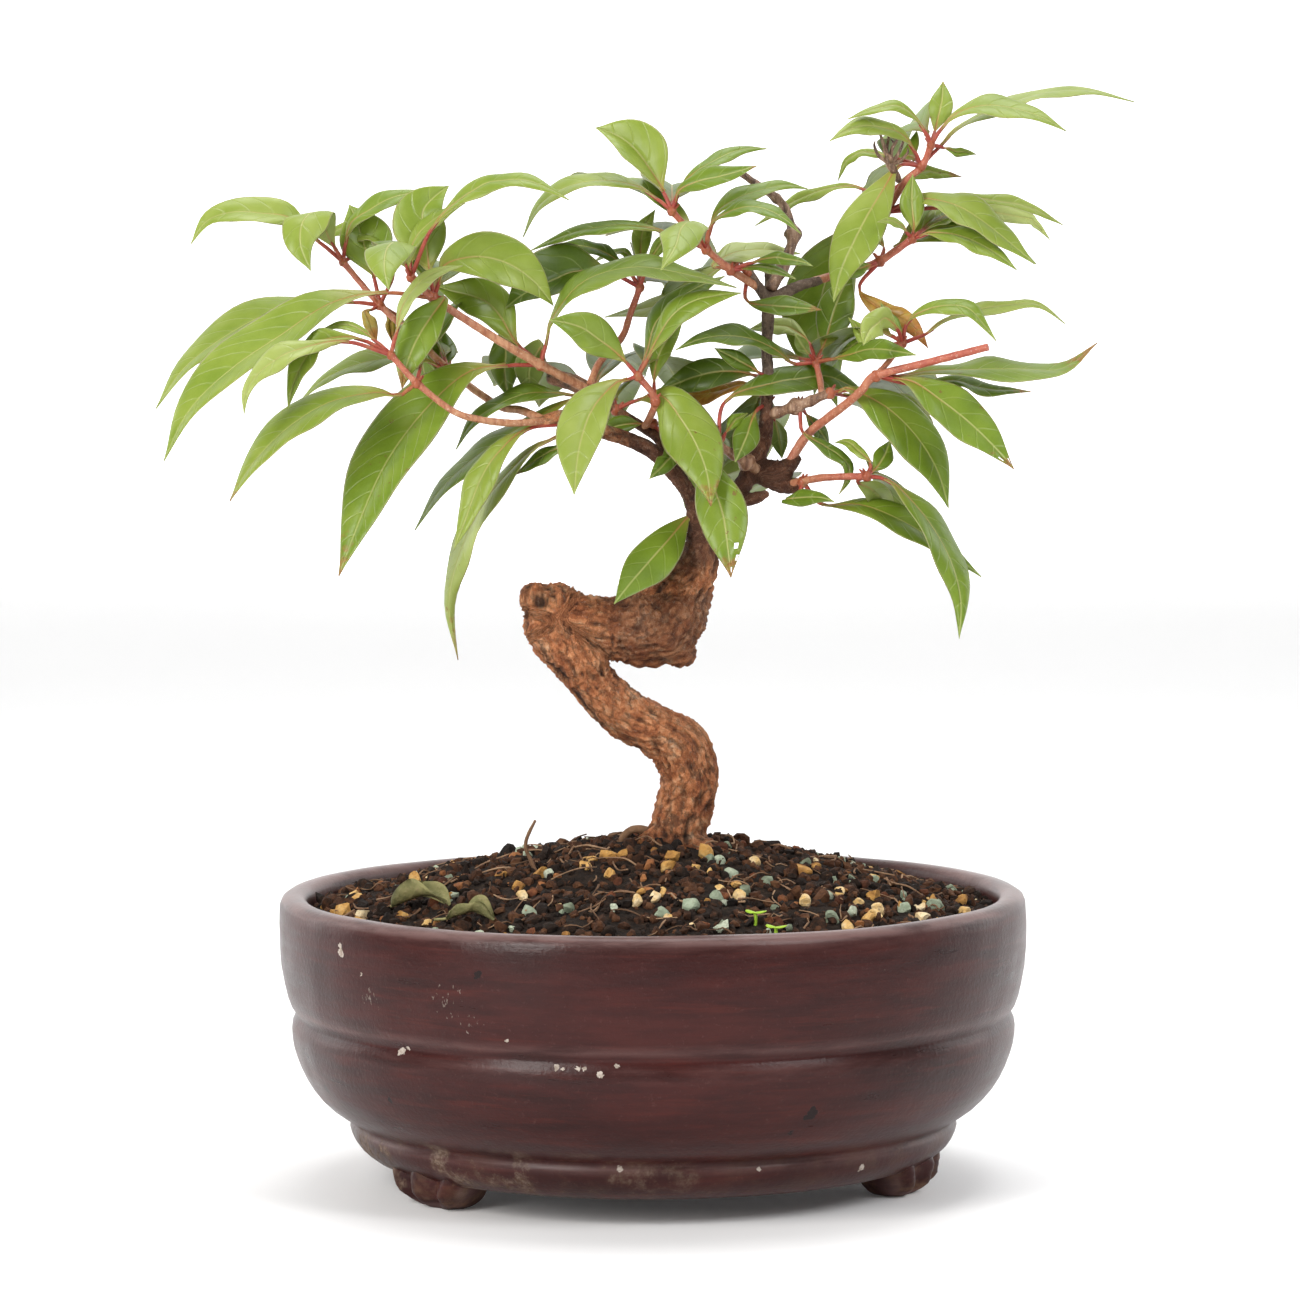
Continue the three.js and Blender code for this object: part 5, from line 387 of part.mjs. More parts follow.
// ---------------------------------------------------------------- trunk, boughs and roots: one grown piece
let wood = null;
LIMBS.forEach((run, i) => { const s = limb(run, i < 2 ? 12 : 6, 0, i < 2 ? 2 : 1, i < 2 ? 0.10 : 0); wood = wood ? wood.add(s) : s; });
for (const run of ROOTS) wood = wood.add(limb(run, 6, 0, 1));
wood = largest(wood);
let woodGrown = null;
LIMBS.forEach((run, i) => { const s = limb(run, i < 2 ? 12 : 6, 0.4, i < 2 ? 2 : 1, i < 2 ? 0.10 : 0); woodGrown = woodGrown ? woodGrown.add(s) : s; });
for (const run of ROOTS) woodGrown = woodGrown.add(limb(run, 6, 0.4, 1));
add('trunk_and_boughs', wood, 0x9a7450, 0.9);

// ---------------------------------------------------------------- soil: fills the pot, mounded round the trunk
const g = SOIL_GAP;
const SOIL_PROFILE = [
  [0, 92.6], [24, 92.0], [50, 88.4], [76, 81.2], [RIM_R - WALL - g, 74.8],
  [RIM_R - WALL - g, 50], [90.5 - 0.5, 34 + g], [81.4, FLOOR_TOP + g], [0, FLOOR_TOP + g]
];
let soil = lathe(SOIL_PROFILE, 40);
soil = soil.subtract(rod(SCREEN_R + 0.4, FLOOR_TOP - 2, FLOOR_TOP + 2 + SCREEN_T - 0.4, 0, 0, 24));
soil = largest(soil.subtract(woodGrown));
add('soil', soil, 0x2c1d16, 1.0);

// ---------------------------------------------------------------- shoots
const grown = [];       // every woody piece made so far, a little larger
const stemSolids = {};
for (const [name, run] of STEMS) {
  let s = limb(run, 6, 0, 1);
  s = s.subtract(woodGrown);
  for (const o of grown) s = s.subtract(o);
  s = largest(s);
  add(name, s, name.includes('dry') ? 0x8a6a4a : 0xb5765c, 0.6);
  grown.push(limb(run, 6, STEM_GAP + 0.1, 1));
  stemSolids[name] = s;
}

// ---------------------------------------------------------------- leaves, gathered at their bases
const made = [];
for (const [name, at, r] of HUBS) {
  let s = solid(new THREE.IcosahedronGeometry(r * 1.12, 0).translate(at[0], at[1], at[2]));
  for (const row of LEAVES) if (row[1] === name) s = s.add(leaf(row));
  s = s.subtract(woodGrown);
  for (const o of grown) s = s.subtract(o);
  for (const o of made) { const v = s.intersect(o).volume(); if (v > 0.005) s = s.subtract(o); }
  s = largest(s);
  made.push(s);
  add(name, s, 0x5f9a2f, 0.45);
}

// ---------------------------------------------------------------- what lies and grows on the soil
const top = (x, y) => { const q = Math.hypot(x, y); for (let i = 0; i < 4; i++) { const a = SOIL_PROFILE[i], b = SOIL_PROFILE[i + 1]; if (q <= b[0]) return a[1] + (b[1] - a[1]) * (q - a[0]) / (b[0] - a[0]); } return 74.8; };
function lying(points, half, lift) {   // dry curled leaf: midrib points [x, y, height over the soil]
  const rings = points.map((p, i) => {
    const m = new THREE.Vector3(p[0], p[1], top(p[0], p[1]) + lift + p[2]);
    const a = points[Math.max(0, i - 1)], b = points[Math.min(points.length - 1, i + 1)];
    const d = new THREE.Vector3(b[0] - a[0], b[1] - a[1], 0).normalize(), s = new THREE.Vector3(-d.y, d.x, 0);
    const w = half * Math.sin(Math.PI * (i + 0.35) / (points.length - 0.3)), c = w * 0.55;
    return [m.clone().addScaledVector(s, -w).add(new THREE.Vector3(0, 0, c)), m.clone().add(new THREE.Vector3(0, 0, -0.35)), m.clone().addScaledVector(s, w).add(new THREE.Vector3(0, 0, c)), m.clone().add(new THREE.Vector3(0, 0, 0.35))];
  });
  let m = solid(loft(rings));
  if (m.volume() < 0) m = solid(loft(rings.map(r => r.slice().reverse())));
  return m;
}
add('fallen_leaf_left', lying([[-70, -30, 0], [-65, -34, 1.5], [-60, -37, 2.6], [-55, -40, 2.2], [-51, -44, 0.6]], 5, 1.6), 0x6f6b3c, 0.8);
add('fallen_leaf_front', lying([[-55, -58, 0.6], [-50, -60, 2], [-46, -61, 2.4], [-42, -63, 0.8]], 4, 1.6), 0x77733f, 0.8);
add('dry_twig', limb([[-31, -24, top(-31, -24) + 1.4, 0.55], [-33.5, -24, top(-31, -24) + 5, 0.5], [-33, -24, top(-31, -24) + 9, 0.5], [-31, -24, top(-31, -24) + 12.5, 0.4]], 6, 0, 1), 0x4a3a2e, 0.9);
function seedling(x, y, h) {
  const z = top(x, y) + 0.8;
  let s = limb([[x, y, z, 0.5], [x + 0.3, y, z + h * 0.6, 0.45], [x, y, z + h, 0.4]], 6, 0, 1);
  for (const a of [0, 2.3]) s = s.add(solid(new THREE.IcosahedronGeometry(1, 0).scale(2.2, 1.3, 0.6).translate(1.9, 0, 0).rotateZ(a).translate(x, y, z + h)));
  return s;
}
add('seedling_left', seedling(26, -72, 3.5), 0x9ad82a, 0.5);
add('seedling_right', seedling(31, -80, 3), 0x9ad82a, 0.5);

export default group;
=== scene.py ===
# Firebush bonsai: the looks.  Metres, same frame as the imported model.  Front is -Y.
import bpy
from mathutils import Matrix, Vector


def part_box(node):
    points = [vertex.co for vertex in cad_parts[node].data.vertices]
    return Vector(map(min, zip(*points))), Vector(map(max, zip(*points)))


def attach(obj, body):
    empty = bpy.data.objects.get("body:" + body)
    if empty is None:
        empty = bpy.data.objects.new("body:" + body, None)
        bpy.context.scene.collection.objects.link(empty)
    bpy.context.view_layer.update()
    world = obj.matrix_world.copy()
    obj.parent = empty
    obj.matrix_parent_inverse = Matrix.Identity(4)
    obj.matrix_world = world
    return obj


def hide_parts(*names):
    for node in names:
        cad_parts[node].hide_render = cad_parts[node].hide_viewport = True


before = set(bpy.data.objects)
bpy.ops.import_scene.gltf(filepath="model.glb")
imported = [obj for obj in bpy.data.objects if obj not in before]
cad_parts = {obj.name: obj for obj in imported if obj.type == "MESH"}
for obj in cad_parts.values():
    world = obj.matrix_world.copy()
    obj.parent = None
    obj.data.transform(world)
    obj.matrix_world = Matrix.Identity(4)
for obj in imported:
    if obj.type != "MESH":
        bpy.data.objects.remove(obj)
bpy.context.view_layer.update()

import math, random
import bpy, bmesh
import numpy as np
from mathutils import Vector, Matrix, noise

random.seed(11)
RNG = np.random.default_rng(11)

_lo, _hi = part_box("pot")
SHIFT = np.array([(_lo[0] + _hi[0]) / 2, (_lo[1] + _hi[1]) / 2, 0.0]) * 1000.0   # the pot's axis, mm

# ---------------------------------------------------------------- plant layout, mm, pot's axis at x = y = 0
LIMBS = [
  [[5.2,0,85.5,8.6],[5.5,0,89.8,8],[8,0,99,7.5],[9.9,0,108.2,7.9],[7.5,0,116.3,7.9],[1,0,121.2,7.2],[-6.7,-1,125,6.6],[-15.5,-2,133.5,6.4],[-20.3,-3,141.1,7.4],[-25.1,-3,148.9,8.6],[-26.4,-3,153.2,7.6]],
  [[-26.7,-3,151.6,8],[-19.2,-2,150.4,7.8],[-12,-1,149,8.2],[-3.2,0,148.4,10.2],[2.7,0,150.2,10.6],[7.6,0,156.1,8.6],[11.4,0,163.6,6.4],[13.3,0,170.1,4.6],[13.3,0,177.6,3.8]],
  [[13,0,177,3.9],[10.3,-3,184.4,2.8],[5.5,-5,191.2,2.6],[-0.3,-6,196.6,2.5],[-7,-7,199.8,2.5],[-13.6,-8,202,2.4],[-18.9,-8,205,2.3],[-24.2,-8,205.5,2.2],[-29.3,-8,204.2,2]],
  [[6.6,-4,190.1,1.9],[2.4,-1,198.8,1.8],[-1.6,0,202,1.7],[-9.4,2,207.1,1.6],[-15.8,1,211.4,1.7],[-18.2,0,213.3,1.6]],
  [[-15.8,3,211.6,2.2],[-20.6,5,214.3,2.7],[-26.6,7,215.8,2.5]],
  [[13.3,0,174.4,4.4],[18.9,1,180.7,3.3],[23.8,2,185.5,3.1],[27,3,191.4,3],[29.7,4,197.5,2.8],[30.8,4,202.8,2.4],[31.1,4,209.5,2.1],[31.4,4,216.2,2],[31.1,4,221.6,1.9],[31.4,5,230.9,2.1],[32,5,237.1,2.4]],
  [[32,5,235.8,2.2],[28.8,5,240,1.7],[26.1,5,244.1,1.5]],
  [[32,5,235.8,2.2],[36.3,5,238.4,2],[40.6,6,240.3,1.7],[45.4,6,241.6,1.5]],
  [[32,6,236.3,1.8],[31.8,9,241.1,1.5],[31.6,11,244.3,1.3]],
  [[27.8,3,190.3,3.2],[32.4,3,189.7,4.9],[36.4,4,191.3,3.2],[39.1,4,194,1.8]],
  [[29.7,3,189.7,3.4],[34.5,3,187,3],[38.8,3,186.2,2],[40.6,0,187.7,1.5]],
  [[22.4,2,182.8,2.4],[26.9,-1,183.2,2.2],[30.7,-2,184.6,1.4]]
]
ROOTS = [
  [[4,0,90,7],[-8,-5,87.5,3.2],[-22,-13,84,2.2],[-34,-22,80,1.2]],
  [[6,0,90,7],[18,-8,87,3.4],[32,-12,84,2.2],[44,-22,80,1.2]],
  [[6,0,90,7],[14,10,87,3.4],[24,24,84,2.2],[28,38,80,1.2]],
  [[4,0,90,7],[-6,11,86,3.2],[-18,22,83,2.2],[-30,30,79,1.2]],
]
STEMS = [
  ["stem_upper_left",[[-17.64,0.00,213.02,1.25],[-29.29,-4.00,219.28,1.18],[-42.71,-8.00,227.36,1.10],[-57.88,-12.00,237.51,1.02],[-63.32,-14.00,242.81,0.95]]],
  ["stem_left",[[-29.01,-8.00,205.01,1.15],[-35.02,-1.00,207.23,1.09],[-41.28,3.00,208.48,1.03],[-54.01,8.00,217.52,0.97],[-62.20,12.00,225.27,0.92],[-73.11,16.00,235.23,0.86],[-83.13,18.00,246.85,0.80]]],
  ["stem_low_left",[[-27.42,-8.00,204.47,1.00],[-37.36,-14.00,204.16,0.96],[-45.70,-18.00,205.36,0.92],[-52.21,-20.00,207.55,0.88],[-61.56,-22.00,215.01,0.84],[-68.35,-22.00,222.39,0.80]]],
  ["stem_crown",[[28.51,5.00,239.78,1.10],[21.21,0.00,244.62,1.00],[14.77,-4.00,249.95,0.90],[5.74,-8.00,260.02,0.80]]],
  ["stem_centre",[[-16.29,0.00,214.08,1.00],[-13.65,6.00,219.83,0.96],[-7.74,10.00,226.46,0.93],[-5.57,12.00,232.34,0.89],[-2.86,14.00,239.85,0.85]]],
  ["stem_front",[[-1.63,0.00,202.27,1.00],[1.06,-6.00,209.90,0.93],[-3.43,-10.00,216.39,0.85]]],
  ["spur_hanging",[[30.54,4.00,189.42,1.40],[22.35,-5.00,195.15,1.25],[17.77,-9.00,197.70,1.10]]],
  ["branch_right",[[31.37,4.00,205.52,1.35],[39.85,0.00,208.28,1.23],[47.77,-3.00,211.53,1.10]]],
  ["stem_long_right",[[36.18,4.00,191.28,1.30],[39.92,3.00,197.48,1.26],[43.08,1.00,201.55,1.21],[51.69,-5.00,208.37,1.17],[56.06,-9.00,212.44,1.13],[59.69,-11.00,216.19,1.09],[73.74,-16.00,219.94,1.04],[88.74,-21.00,223.92,1.00]]],
  ["stem_right_side",[[59.69,-11.00,216.19,0.80],[63.50,-9.00,220.38,0.75],[67.05,-7.00,224.84,0.70]]],
  ["stem_inner_right",[[45.67,-2.00,210.71,0.90],[45.30,3.00,214.87,0.85],[44.33,6.00,219.63,0.80]]],
  ["stem_lower_right",[[37.22,3.00,187.02,1.10],[45.04,-4.00,188.89,1.00],[57.21,-13.00,189.75,0.90]]],
  ["stem_dry_twisted",[[32.26,5.00,239.50,1.60],[36.10,8.00,246.43,1.48],[38.31,10.00,252.86,1.37],[37.57,12.00,257.16,1.25],[35.69,12.00,261.72,1.13],[30.81,10.00,265.73,1.02],[24.61,8.00,270.00,0.90]]],
  ["stem_upper_right",[[44.09,6.00,241.32,1.20],[53.55,8.00,243.96,1.10],[61.69,10.00,246.61,1.00],[70.19,8.00,252.47,0.90]]],
  ["stem_top_right",[[53.55,8.00,243.96,1.10],[58.55,12.00,252.26,1.04],[63.49,14.00,259.77,0.98],[68.61,14.00,267.80,0.92],[73.18,14.00,272.08,0.86],[75.50,12.00,277.65,0.80]]]
]
HUBS = [
  ["leaves_left_shoot_tip",[-83.1,18,246.9],1.6],
  ["leaves_left_shoot_middle",[-73.1,16,235.2],1.8],
  ["leaves_left_shoot_base",[-54.8,8.3,218.1],1.9],
  ["leaves_low_shoot_tip",[-68.4,-22,222.4],1.6],
  ["leaf_low_shoot",[-61.6,-22,215],1.8],
  ["leaves_upper_left_tip",[-63.3,-14,242.8],1.7],
  ["leaves_upper_left_middle",[-57.4,-11.9,237.2],2.0],
  ["leaves_upper_left_base",[-29.3,-4,219.3],2.2],
  ["leaves_grey_bough_end",[-16.3,0,210.9],2.6],
  ["leaf_left_bough_hanging",[-18.9,-8,203.9],3.6],
  ["leaves_left_bough_end",[-23.7,-8,203.7],3.4],
  ["leaves_centre_shoot_tip",[-2.9,14,239.8],1.7],
  ["leaves_crown_shoot_middle",[14.8,-4,249.9],1.9],
  ["leaves_crown_shoot_tip",[5.7,-8,260],1.7],
  ["leaves_crown_shoot_base",[21.5,0,244.3],1.9],
  ["leaves_top_fork",[26.1,5,243.5],2.4],
  ["leaves_front_shoot_tip",[-3.4,-10,216.4],1.8],
  ["leaf_front_shoot_base",[1.1,-6,209.6],1.9],
  ["leaf_grey_bough_front",[-9.4,2,207.1],2.4],
  ["leaves_hanging_spur",[17.8,-9,197.7],2.0],
  ["leaf_trunk_neck",[13,0,181.1],4.6],
  ["leaves_left_bough_front",[0.5,0,203.3],2.3],
  ["leaves_upright_bough_top",[31.4,4,215.4],3.3],
  ["leaves_inner_right_shoot",[44.3,6,219.6],1.8],
  ["leaf_right_branch_end",[47.8,-3,211.5],2.0],
  ["leaves_right_shoot",[59.7,-11,216.2],2.1],
  ["leaves_right_side_shoot",[67,-7,224.8],1.6],
  ["leaves_upper_right_node",[61.7,10,246.6],2.0],
  ["leaves_upper_right_tip",[70.2,8,252.5],1.7],
  ["leaves_top_right_low",[63.5,14,259.8],1.9],
  ["leaves_top_right_middle",[72.9,14,272.1],1.8],
  ["leaves_top_right_tip",[75.5,12,277.7],1.6],
  ["leaves_lower_right_tip",[57.2,-13,189.7],1.8],
  ["leaves_lower_right_base",[40.6,0,187.7],2.2],
  ["leaves_right_branch_base",[39.8,0,208.3],2.2],
  ["leaves_upright_bough_middle",[31.1,4,208.5],3.3]
]
LEAVES = [
  ["B2a","leaves_left_shoot_tip",[[-83.1,18,246.9],[-90.1,16.8,252.9],[-97.2,15.4,258.7],[-104.6,14.1,259.9],[-112.1,12.8,260.3],[-119.1,11.4,257.9],[-123.5,10,251.8]],[[-1.3,-4.4,-2.1],[-1.2,-4.4,-2.1],[-0.6,-4.4,-2.4],[0.2,-4.3,-2.5],[0.9,-4.3,-2.3],[1.8,-4.3,-1.7],[2.2,-4.3,-1]],[[2.5,3,3.2],[2.3,3,3.3],[1.5,3,3.8],[0.2,3,4],[-1,3,3.9],[-2.6,2.9,3.1],[-3.5,3,2.1]]],
  ["B2b","leaves_left_shoot_tip",[[-83.1,18,246.9],[-85,16.5,250.4],[-86.9,15.1,253.9],[-89.3,11.5,260.2],[-93,6,257.8],[-93.5,2.2,251.3],[-90.7,0.3,244.5]],[[-5.7,0.5,-2.9],[-5.7,0.5,-2.9],[-5.8,0.3,-2.3],[-5.1,2.3,-2.7],[-5,2,0.2],[-5.8,0.2,-1.1],[-5.8,-0.2,-2.4]],[[4.4,-1.5,1.8],[4.4,-1.5,1.8],[4.8,-1.5,1.3],[4.5,-3.2,-0.3],[5.7,-0.5,-2.2],[5.3,0.9,0.5],[4.7,0.9,1.7]]],
  ["B2d","leaves_left_shoot_tip",[[-83.1,18,246.9],[-82.4,18.9,252.4],[-80.7,20.1,257.6],[-76,21.4,260.8],[-71,22.7,263.7],[-65.5,24.1,265.2],[-59.9,25.5,265.6]],[[-2.4,1.8,0.1],[-2.4,2.4,0.3],[-2.2,2.9,1.1],[-1.7,3,1.8],[-1.3,2.9,2.1],[-0.9,2.9,2.3],[-0.6,2.9,2.4]],[[2.1,0.1,-0.3],[2.1,-1.6,-0.4],[2,-3.1,-1],[1.5,-3.1,-1.6],[1.2,-3.1,-1.8],[0.8,-3.1,-2],[0.6,-3.1,-2.1]]],
  ["bk00","leaves_left_shoot_tip",[[-83.1,18,246.9],[-79.6,21.2,248.8],[-75.8,24.6,249.6],[-69.6,30.3,248.4],[-64,35.4,244.2],[-60,39,237.6],[-58.1,40.7,229.4]],[[6.2,-6.4,-0.6],[6.1,-6.5,-0.6],[6,-6.6,-0.6],[5.9,-6.8,-0.6],[5.7,-6.9,-0.5],[5.6,-7,-0.3],[5.6,-7,-0.2]],[[-6.5,4.7,4],[-6.1,5,4.2],[-5.2,5.9,4.3],[-4.2,6.7,4.1],[-3.2,7.7,3.3],[-2.4,8.4,2.1],[-2.2,8.6,1.3]]],
  ["B1a","leaves_left_shoot_middle",[[-73.1,16,235.2],[-81.1,14.8,236.1],[-89.2,13.4,235.8],[-102.4,10.8,233.2],[-114.3,8,227],[-125,5.1,218.7],[-132.6,2,207.8]],[[0.4,-7.4,-2.7],[0.6,-7.4,-2.7],[1.2,-7.4,-2.6],[1.7,-7.3,-2.2],[2.2,-7.3,-1.8],[2.6,-7.3,-1.2],[2.8,-7.3,-0.7]],[[-0.2,7.4,4.6],[-0.6,7.4,4.6],[-1.5,7.4,4.4],[-2.4,7.3,4],[-3.3,7.3,3.4],[-4,7.3,2.5],[-4.3,7.3,1.8]]],
  ["B1c","leaves_left_shoot_middle",[[-73.1,16,235.2],[-75,18.5,243.5],[-77.6,21.5,251.4],[-78.5,22.6,254.2],[-79.4,23.7,257],[-80.5,24.8,259.7],[-81.8,26,262.3]],[[-5.3,-1.2,-1],[-5.3,-1.7,-1.1],[-5.3,-2,-1.2],[-5.3,-2.3,-1.1],[-5.3,-2.9,-1.3],[-5.3,-3.8,-1.5],[-5.3,-4.4,-1.6]],[[7.1,0,1.6],[7,0,1.9],[7,0,2.1],[6.9,0,2.2],[6.8,0,2.5],[6.6,0,3],[6.5,0,3.3]]],
  ["B1f","leaves_left_shoot_middle",[[-73.1,16,235.2],[-69.2,18.7,245.2],[-73.3,21.8,252.8],[-77.8,23.4,254.7],[-82.6,25,255.8],[-87.3,26.6,254.5],[-92.1,28.2,253.1]],[[-2.1,2.3,0.5],[-2.2,1.1,-0.2],[-2,-2.5,-0.9],[-1.2,-2.5,-1.9],[-0.5,-2.5,-2.2],[0.1,-2.5,-2.2],[0.2,-2.5,-2.2]],[[2.3,-1.7,-0.7],[2.4,1,-0.2],[2.2,2.3,1.1],[1.2,2.3,2.1],[0.4,2.3,2.4],[-0.2,2.3,2.5],[-0.3,2.3,2.4]]],
  ["B1d","leaves_left_shoot_middle",[[-73.1,16,235.2],[-74.9,14.6,234.3],[-76.8,13.2,233.4],[-75.9,11.5,231.4],[-75.1,9.7,229.3],[-74.3,7.9,227.4],[-73.5,6,225.4]],[[1,-0.7,-1.3],[1.1,-0.8,-1.3],[1.6,-0.4,-0.4],[1.6,0.6,0.3],[1.6,0.6,0.4],[1.6,0.6,0.4],[1.6,0.6,0.3]],[[-1,0.7,1.3],[-1.1,0.8,1.3],[-1.6,0.5,0.3],[-1.6,-0.3,-0.4],[-1.6,-0.5,-0.4],[-1.6,-0.4,-0.4],[-1.6,-0.4,-0.4]]],
  ["B1e","leaves_left_shoot_middle",[[-73.1,16,235.2],[-71.8,17.1,233.5],[-70.5,18.1,231.7],[-70.5,19.1,230.1],[-70.4,20.1,228.4],[-70.3,21,226.8],[-70.2,22,225.2]],[[1.1,0,0.8],[1.1,0,0.8],[1.2,0,0.5],[1.3,0,0.2],[1.3,0,0.1],[1.3,0,0.1],[1.3,0,0.1]],[[-1.1,0,-0.8],[-1.1,0,-0.8],[-1.2,0,-0.5],[-1.3,0,-0.2],[-1.3,0,-0.1],[-1.3,0,-0.1],[-1.3,0,-0.1]]],
  ["bk01","leaves_left_shoot_middle",[[-73.1,16,235.2],[-68.4,20.7,231.8],[-64.7,24.4,226.5],[-61.5,27.5,215],[-62.8,26.3,202.8],[-68.2,20.9,193],[-76.3,12.8,188.3]],[[6.1,-5.2,1.3],[6.3,-5,1.2],[6.6,-4.7,0.8],[6.7,-4.6,0.2],[4.3,-6.9,0.8],[4.7,-6.4,1.6],[5,-6.1,1.8]],[[-4.9,6.2,1.8],[-4.7,6.4,1.6],[-4.4,6.8,1],[-4.2,7,0.2],[-6.6,4.7,0.6],[-6.3,5,1.2],[-6.1,5.3,1.4]]],
  ["Bx1","leaves_left_shoot_base",[[-54.8,8.3,218.1],[-57.8,8.6,219.3],[-60.8,9,220.5],[-70.1,10.2,220.9],[-79.2,11.5,219.2],[-87.8,12.9,215.5],[-94.8,14.3,209.4]],[[-1.1,-5.9,-1.6],[-1,-5.9,-1.6],[-0.6,-5.9,-1.8],[-0.3,-5.9,-1.9],[0.1,-5.9,-1.9],[0.5,-5.9,-1.9],[0.8,-5.8,-1.8]],[[1.2,5.7,2.1],[1.1,5.7,2.1],[0.7,5.7,2.4],[0.3,5.7,2.4],[-0.2,5.7,2.5],[-0.8,5.7,2.3],[-1.2,5.6,2.2]]],
  ["Bx2","leaves_left_shoot_base",[[-54.8,8.3,218.1],[-57,11.1,216.6],[-57.2,14.1,219.8],[-57,16.6,222.1],[-56.8,19.1,224.4],[-56.8,21.7,226.7],[-56.7,24.3,228.9]],[[1.3,-1.6,-3.1],[-2.5,-1.3,-2.2],[-3.2,0.4,-0.3],[-3.3,0.9,-0.1],[-3.2,0.9,-0.1],[-3.2,0.8,-0.2],[-3.2,0.8,-0.2]],[[-2.3,0,3.3],[2.5,0,3.2],[4,-0.1,0.2],[4,0,-0.3],[4,0,-0.3],[4,0.1,-0.2],[4,0,-0.2]]],
  ["bk02","leaves_left_shoot_base",[[-54.8,8.3,218.1],[-55.7,11.4,221.3],[-56.8,15.1,223.8],[-58.8,22.2,226.1],[-60.8,29.6,225.5],[-62.7,36.3,222.3],[-64.2,41.6,216.9]],[[5.9,4.3,-2.5],[5.9,4,-2.8],[6.2,3.2,-3.3],[6.4,2.2,-3.6],[6.8,1,-3.5],[7.1,-0.1,-2.9],[7.2,-0.6,-2.5]],[[-3.3,-5.4,4.3],[-3.5,-5,4.7],[-3.9,-3.5,5.6],[-4.3,-1.9,6.1],[-4.9,0.2,5.9],[-5.4,2.1,5],[-5.7,2.9,4.3]]],
  ["C1a","leaves_low_shoot_tip",[[-68.4,-22,222.4],[-76.7,-23.1,226.7],[-85.5,-24.5,226.4],[-89.5,-25.3,222.9],[-92.2,-26.2,218.3],[-94,-27.1,213.4],[-95.2,-28,208.2]],[[-0.8,-2.8,-2],[-0.2,-2.8,-2.2],[0.8,-2.8,-2],[1.8,-2.8,-1.2],[2.1,-2.7,-0.7],[2.1,-1.4,-0.5],[2.1,-0.7,-0.4]],[[1.4,1.5,2.9],[0.6,1.5,3.2],[-1,1.4,3.1],[-2.5,1.4,2],[-3,1.4,1.3],[-3.1,1.2,0.8],[-3.2,1,0.6]]],
  ["C1e","leaves_low_shoot_tip",[[-68.4,-22,222.4],[-72.8,-20.6,226.4],[-77.9,-18.9,229.5],[-80.3,-18.2,230.1],[-82.7,-17.5,230.1],[-85,-16.7,229.5],[-87.4,-16,228.7]],[[-0.8,-1.3,-0.7],[-0.8,-1.2,-0.8],[-0.7,-1.2,-0.9],[-0.4,-1.2,-1],[-0.1,-1.2,-1.1],[0.1,-1.2,-1.1],[0.1,-1.2,-1.1]],[[0.8,1.3,0.7],[0.8,1.2,0.8],[0.7,1.2,0.9],[0.4,1.2,1],[0.1,1.2,1.1],[-0.1,1.2,1.1],[-0.1,1.2,1.1]]],
  ["C1b","leaves_low_shoot_tip",[[-68.4,-22,222.4],[-80.7,-26.4,226.1],[-92.9,-31.6,223.7],[-98,-34.1,221.2],[-102.3,-36.7,217.6],[-105.2,-39.3,212.9],[-105.6,-42,207.3]],[[-0.1,-3.1,-2.5],[0.5,-3,-2.5],[1.3,-2.9,-2.2],[1.9,-2.9,-1.7],[2.3,-2.9,-1],[2.4,-2,-0.3],[2.4,0.4,-0.3]],[[0.2,2.9,2.7],[-0.5,2.8,2.7],[-1.3,2.7,2.4],[-2,2.7,1.9],[-2.5,2.7,1.2],[-2.7,2.4,0.3],[-2.7,1.6,-0.2]]],
  ["C1k","leaves_low_shoot_tip",[[-68.4,-22,222.4],[-67,-21.1,228.3],[-65.5,-20.1,234.2],[-63,-19.1,238.8],[-59.3,-18.1,242.5],[-54.6,-17.1,244.7],[-49.5,-16,245.7]],[[-1.6,2.2,0.2],[-1.6,2.4,0.2],[-1.6,2.8,0.3],[-1.5,3.1,0.7],[-1.2,3.1,1.1],[-0.9,3.1,1.4],[-0.7,3.1,1.5]],[[2.1,-0.7,-0.4],[2.1,-1.1,-0.4],[2.1,-2.1,-0.6],[1.9,-2.7,-1],[1.5,-2.7,-1.6],[1,-2.7,-1.9],[0.7,-2.7,-2]]],
  ["BB1","leaf_low_shoot",[[-61.6,-22,215],[-66.6,-23.1,211.8],[-72.5,-24.4,212.5],[-84.5,-27.5,210],[-94.8,-30.9,203.7],[-103.4,-34.4,195.1],[-109.8,-38,184.8]],[[2.4,-7.4,-2.3],[1.7,-7.3,-2.9],[1.5,-7.3,-3.1],[2.3,-7.2,-2.6],[2.9,-7.2,-1.8],[3.3,-7.1,-1.1],[3.4,-7.1,-0.6]],[[-3,7,3.2],[-1.9,7,4],[-1.6,7,4.1],[-2.6,6.9,3.6],[-3.5,6.8,2.7],[-4.1,6.8,1.8],[-4.3,6.8,1.3]]],
  ["bk03","leaf_low_shoot",[[-61.6,-22,215],[-60.9,-17,219.2],[-60.2,-11.6,222.9],[-59,-1.9,227.9],[-57.6,8.4,231.4],[-56.3,19.1,233.2],[-54.8,30,233.4]],[[6.7,-4,3.8],[6.7,-3.8,3.9],[6.8,-3.3,4.2],[6.8,-2.8,4.5],[6.9,-2.1,4.7],[7,-1.4,4.8],[7.1,-1,4.9]],[[-8.3,2,-1.1],[-8.3,1.9,-1.1],[-8.4,1.8,-1.2],[-8.4,1.6,-1.3],[-8.4,1.4,-1.4],[-8.4,1.2,-1.4],[-8.4,1.1,-1.4]]],
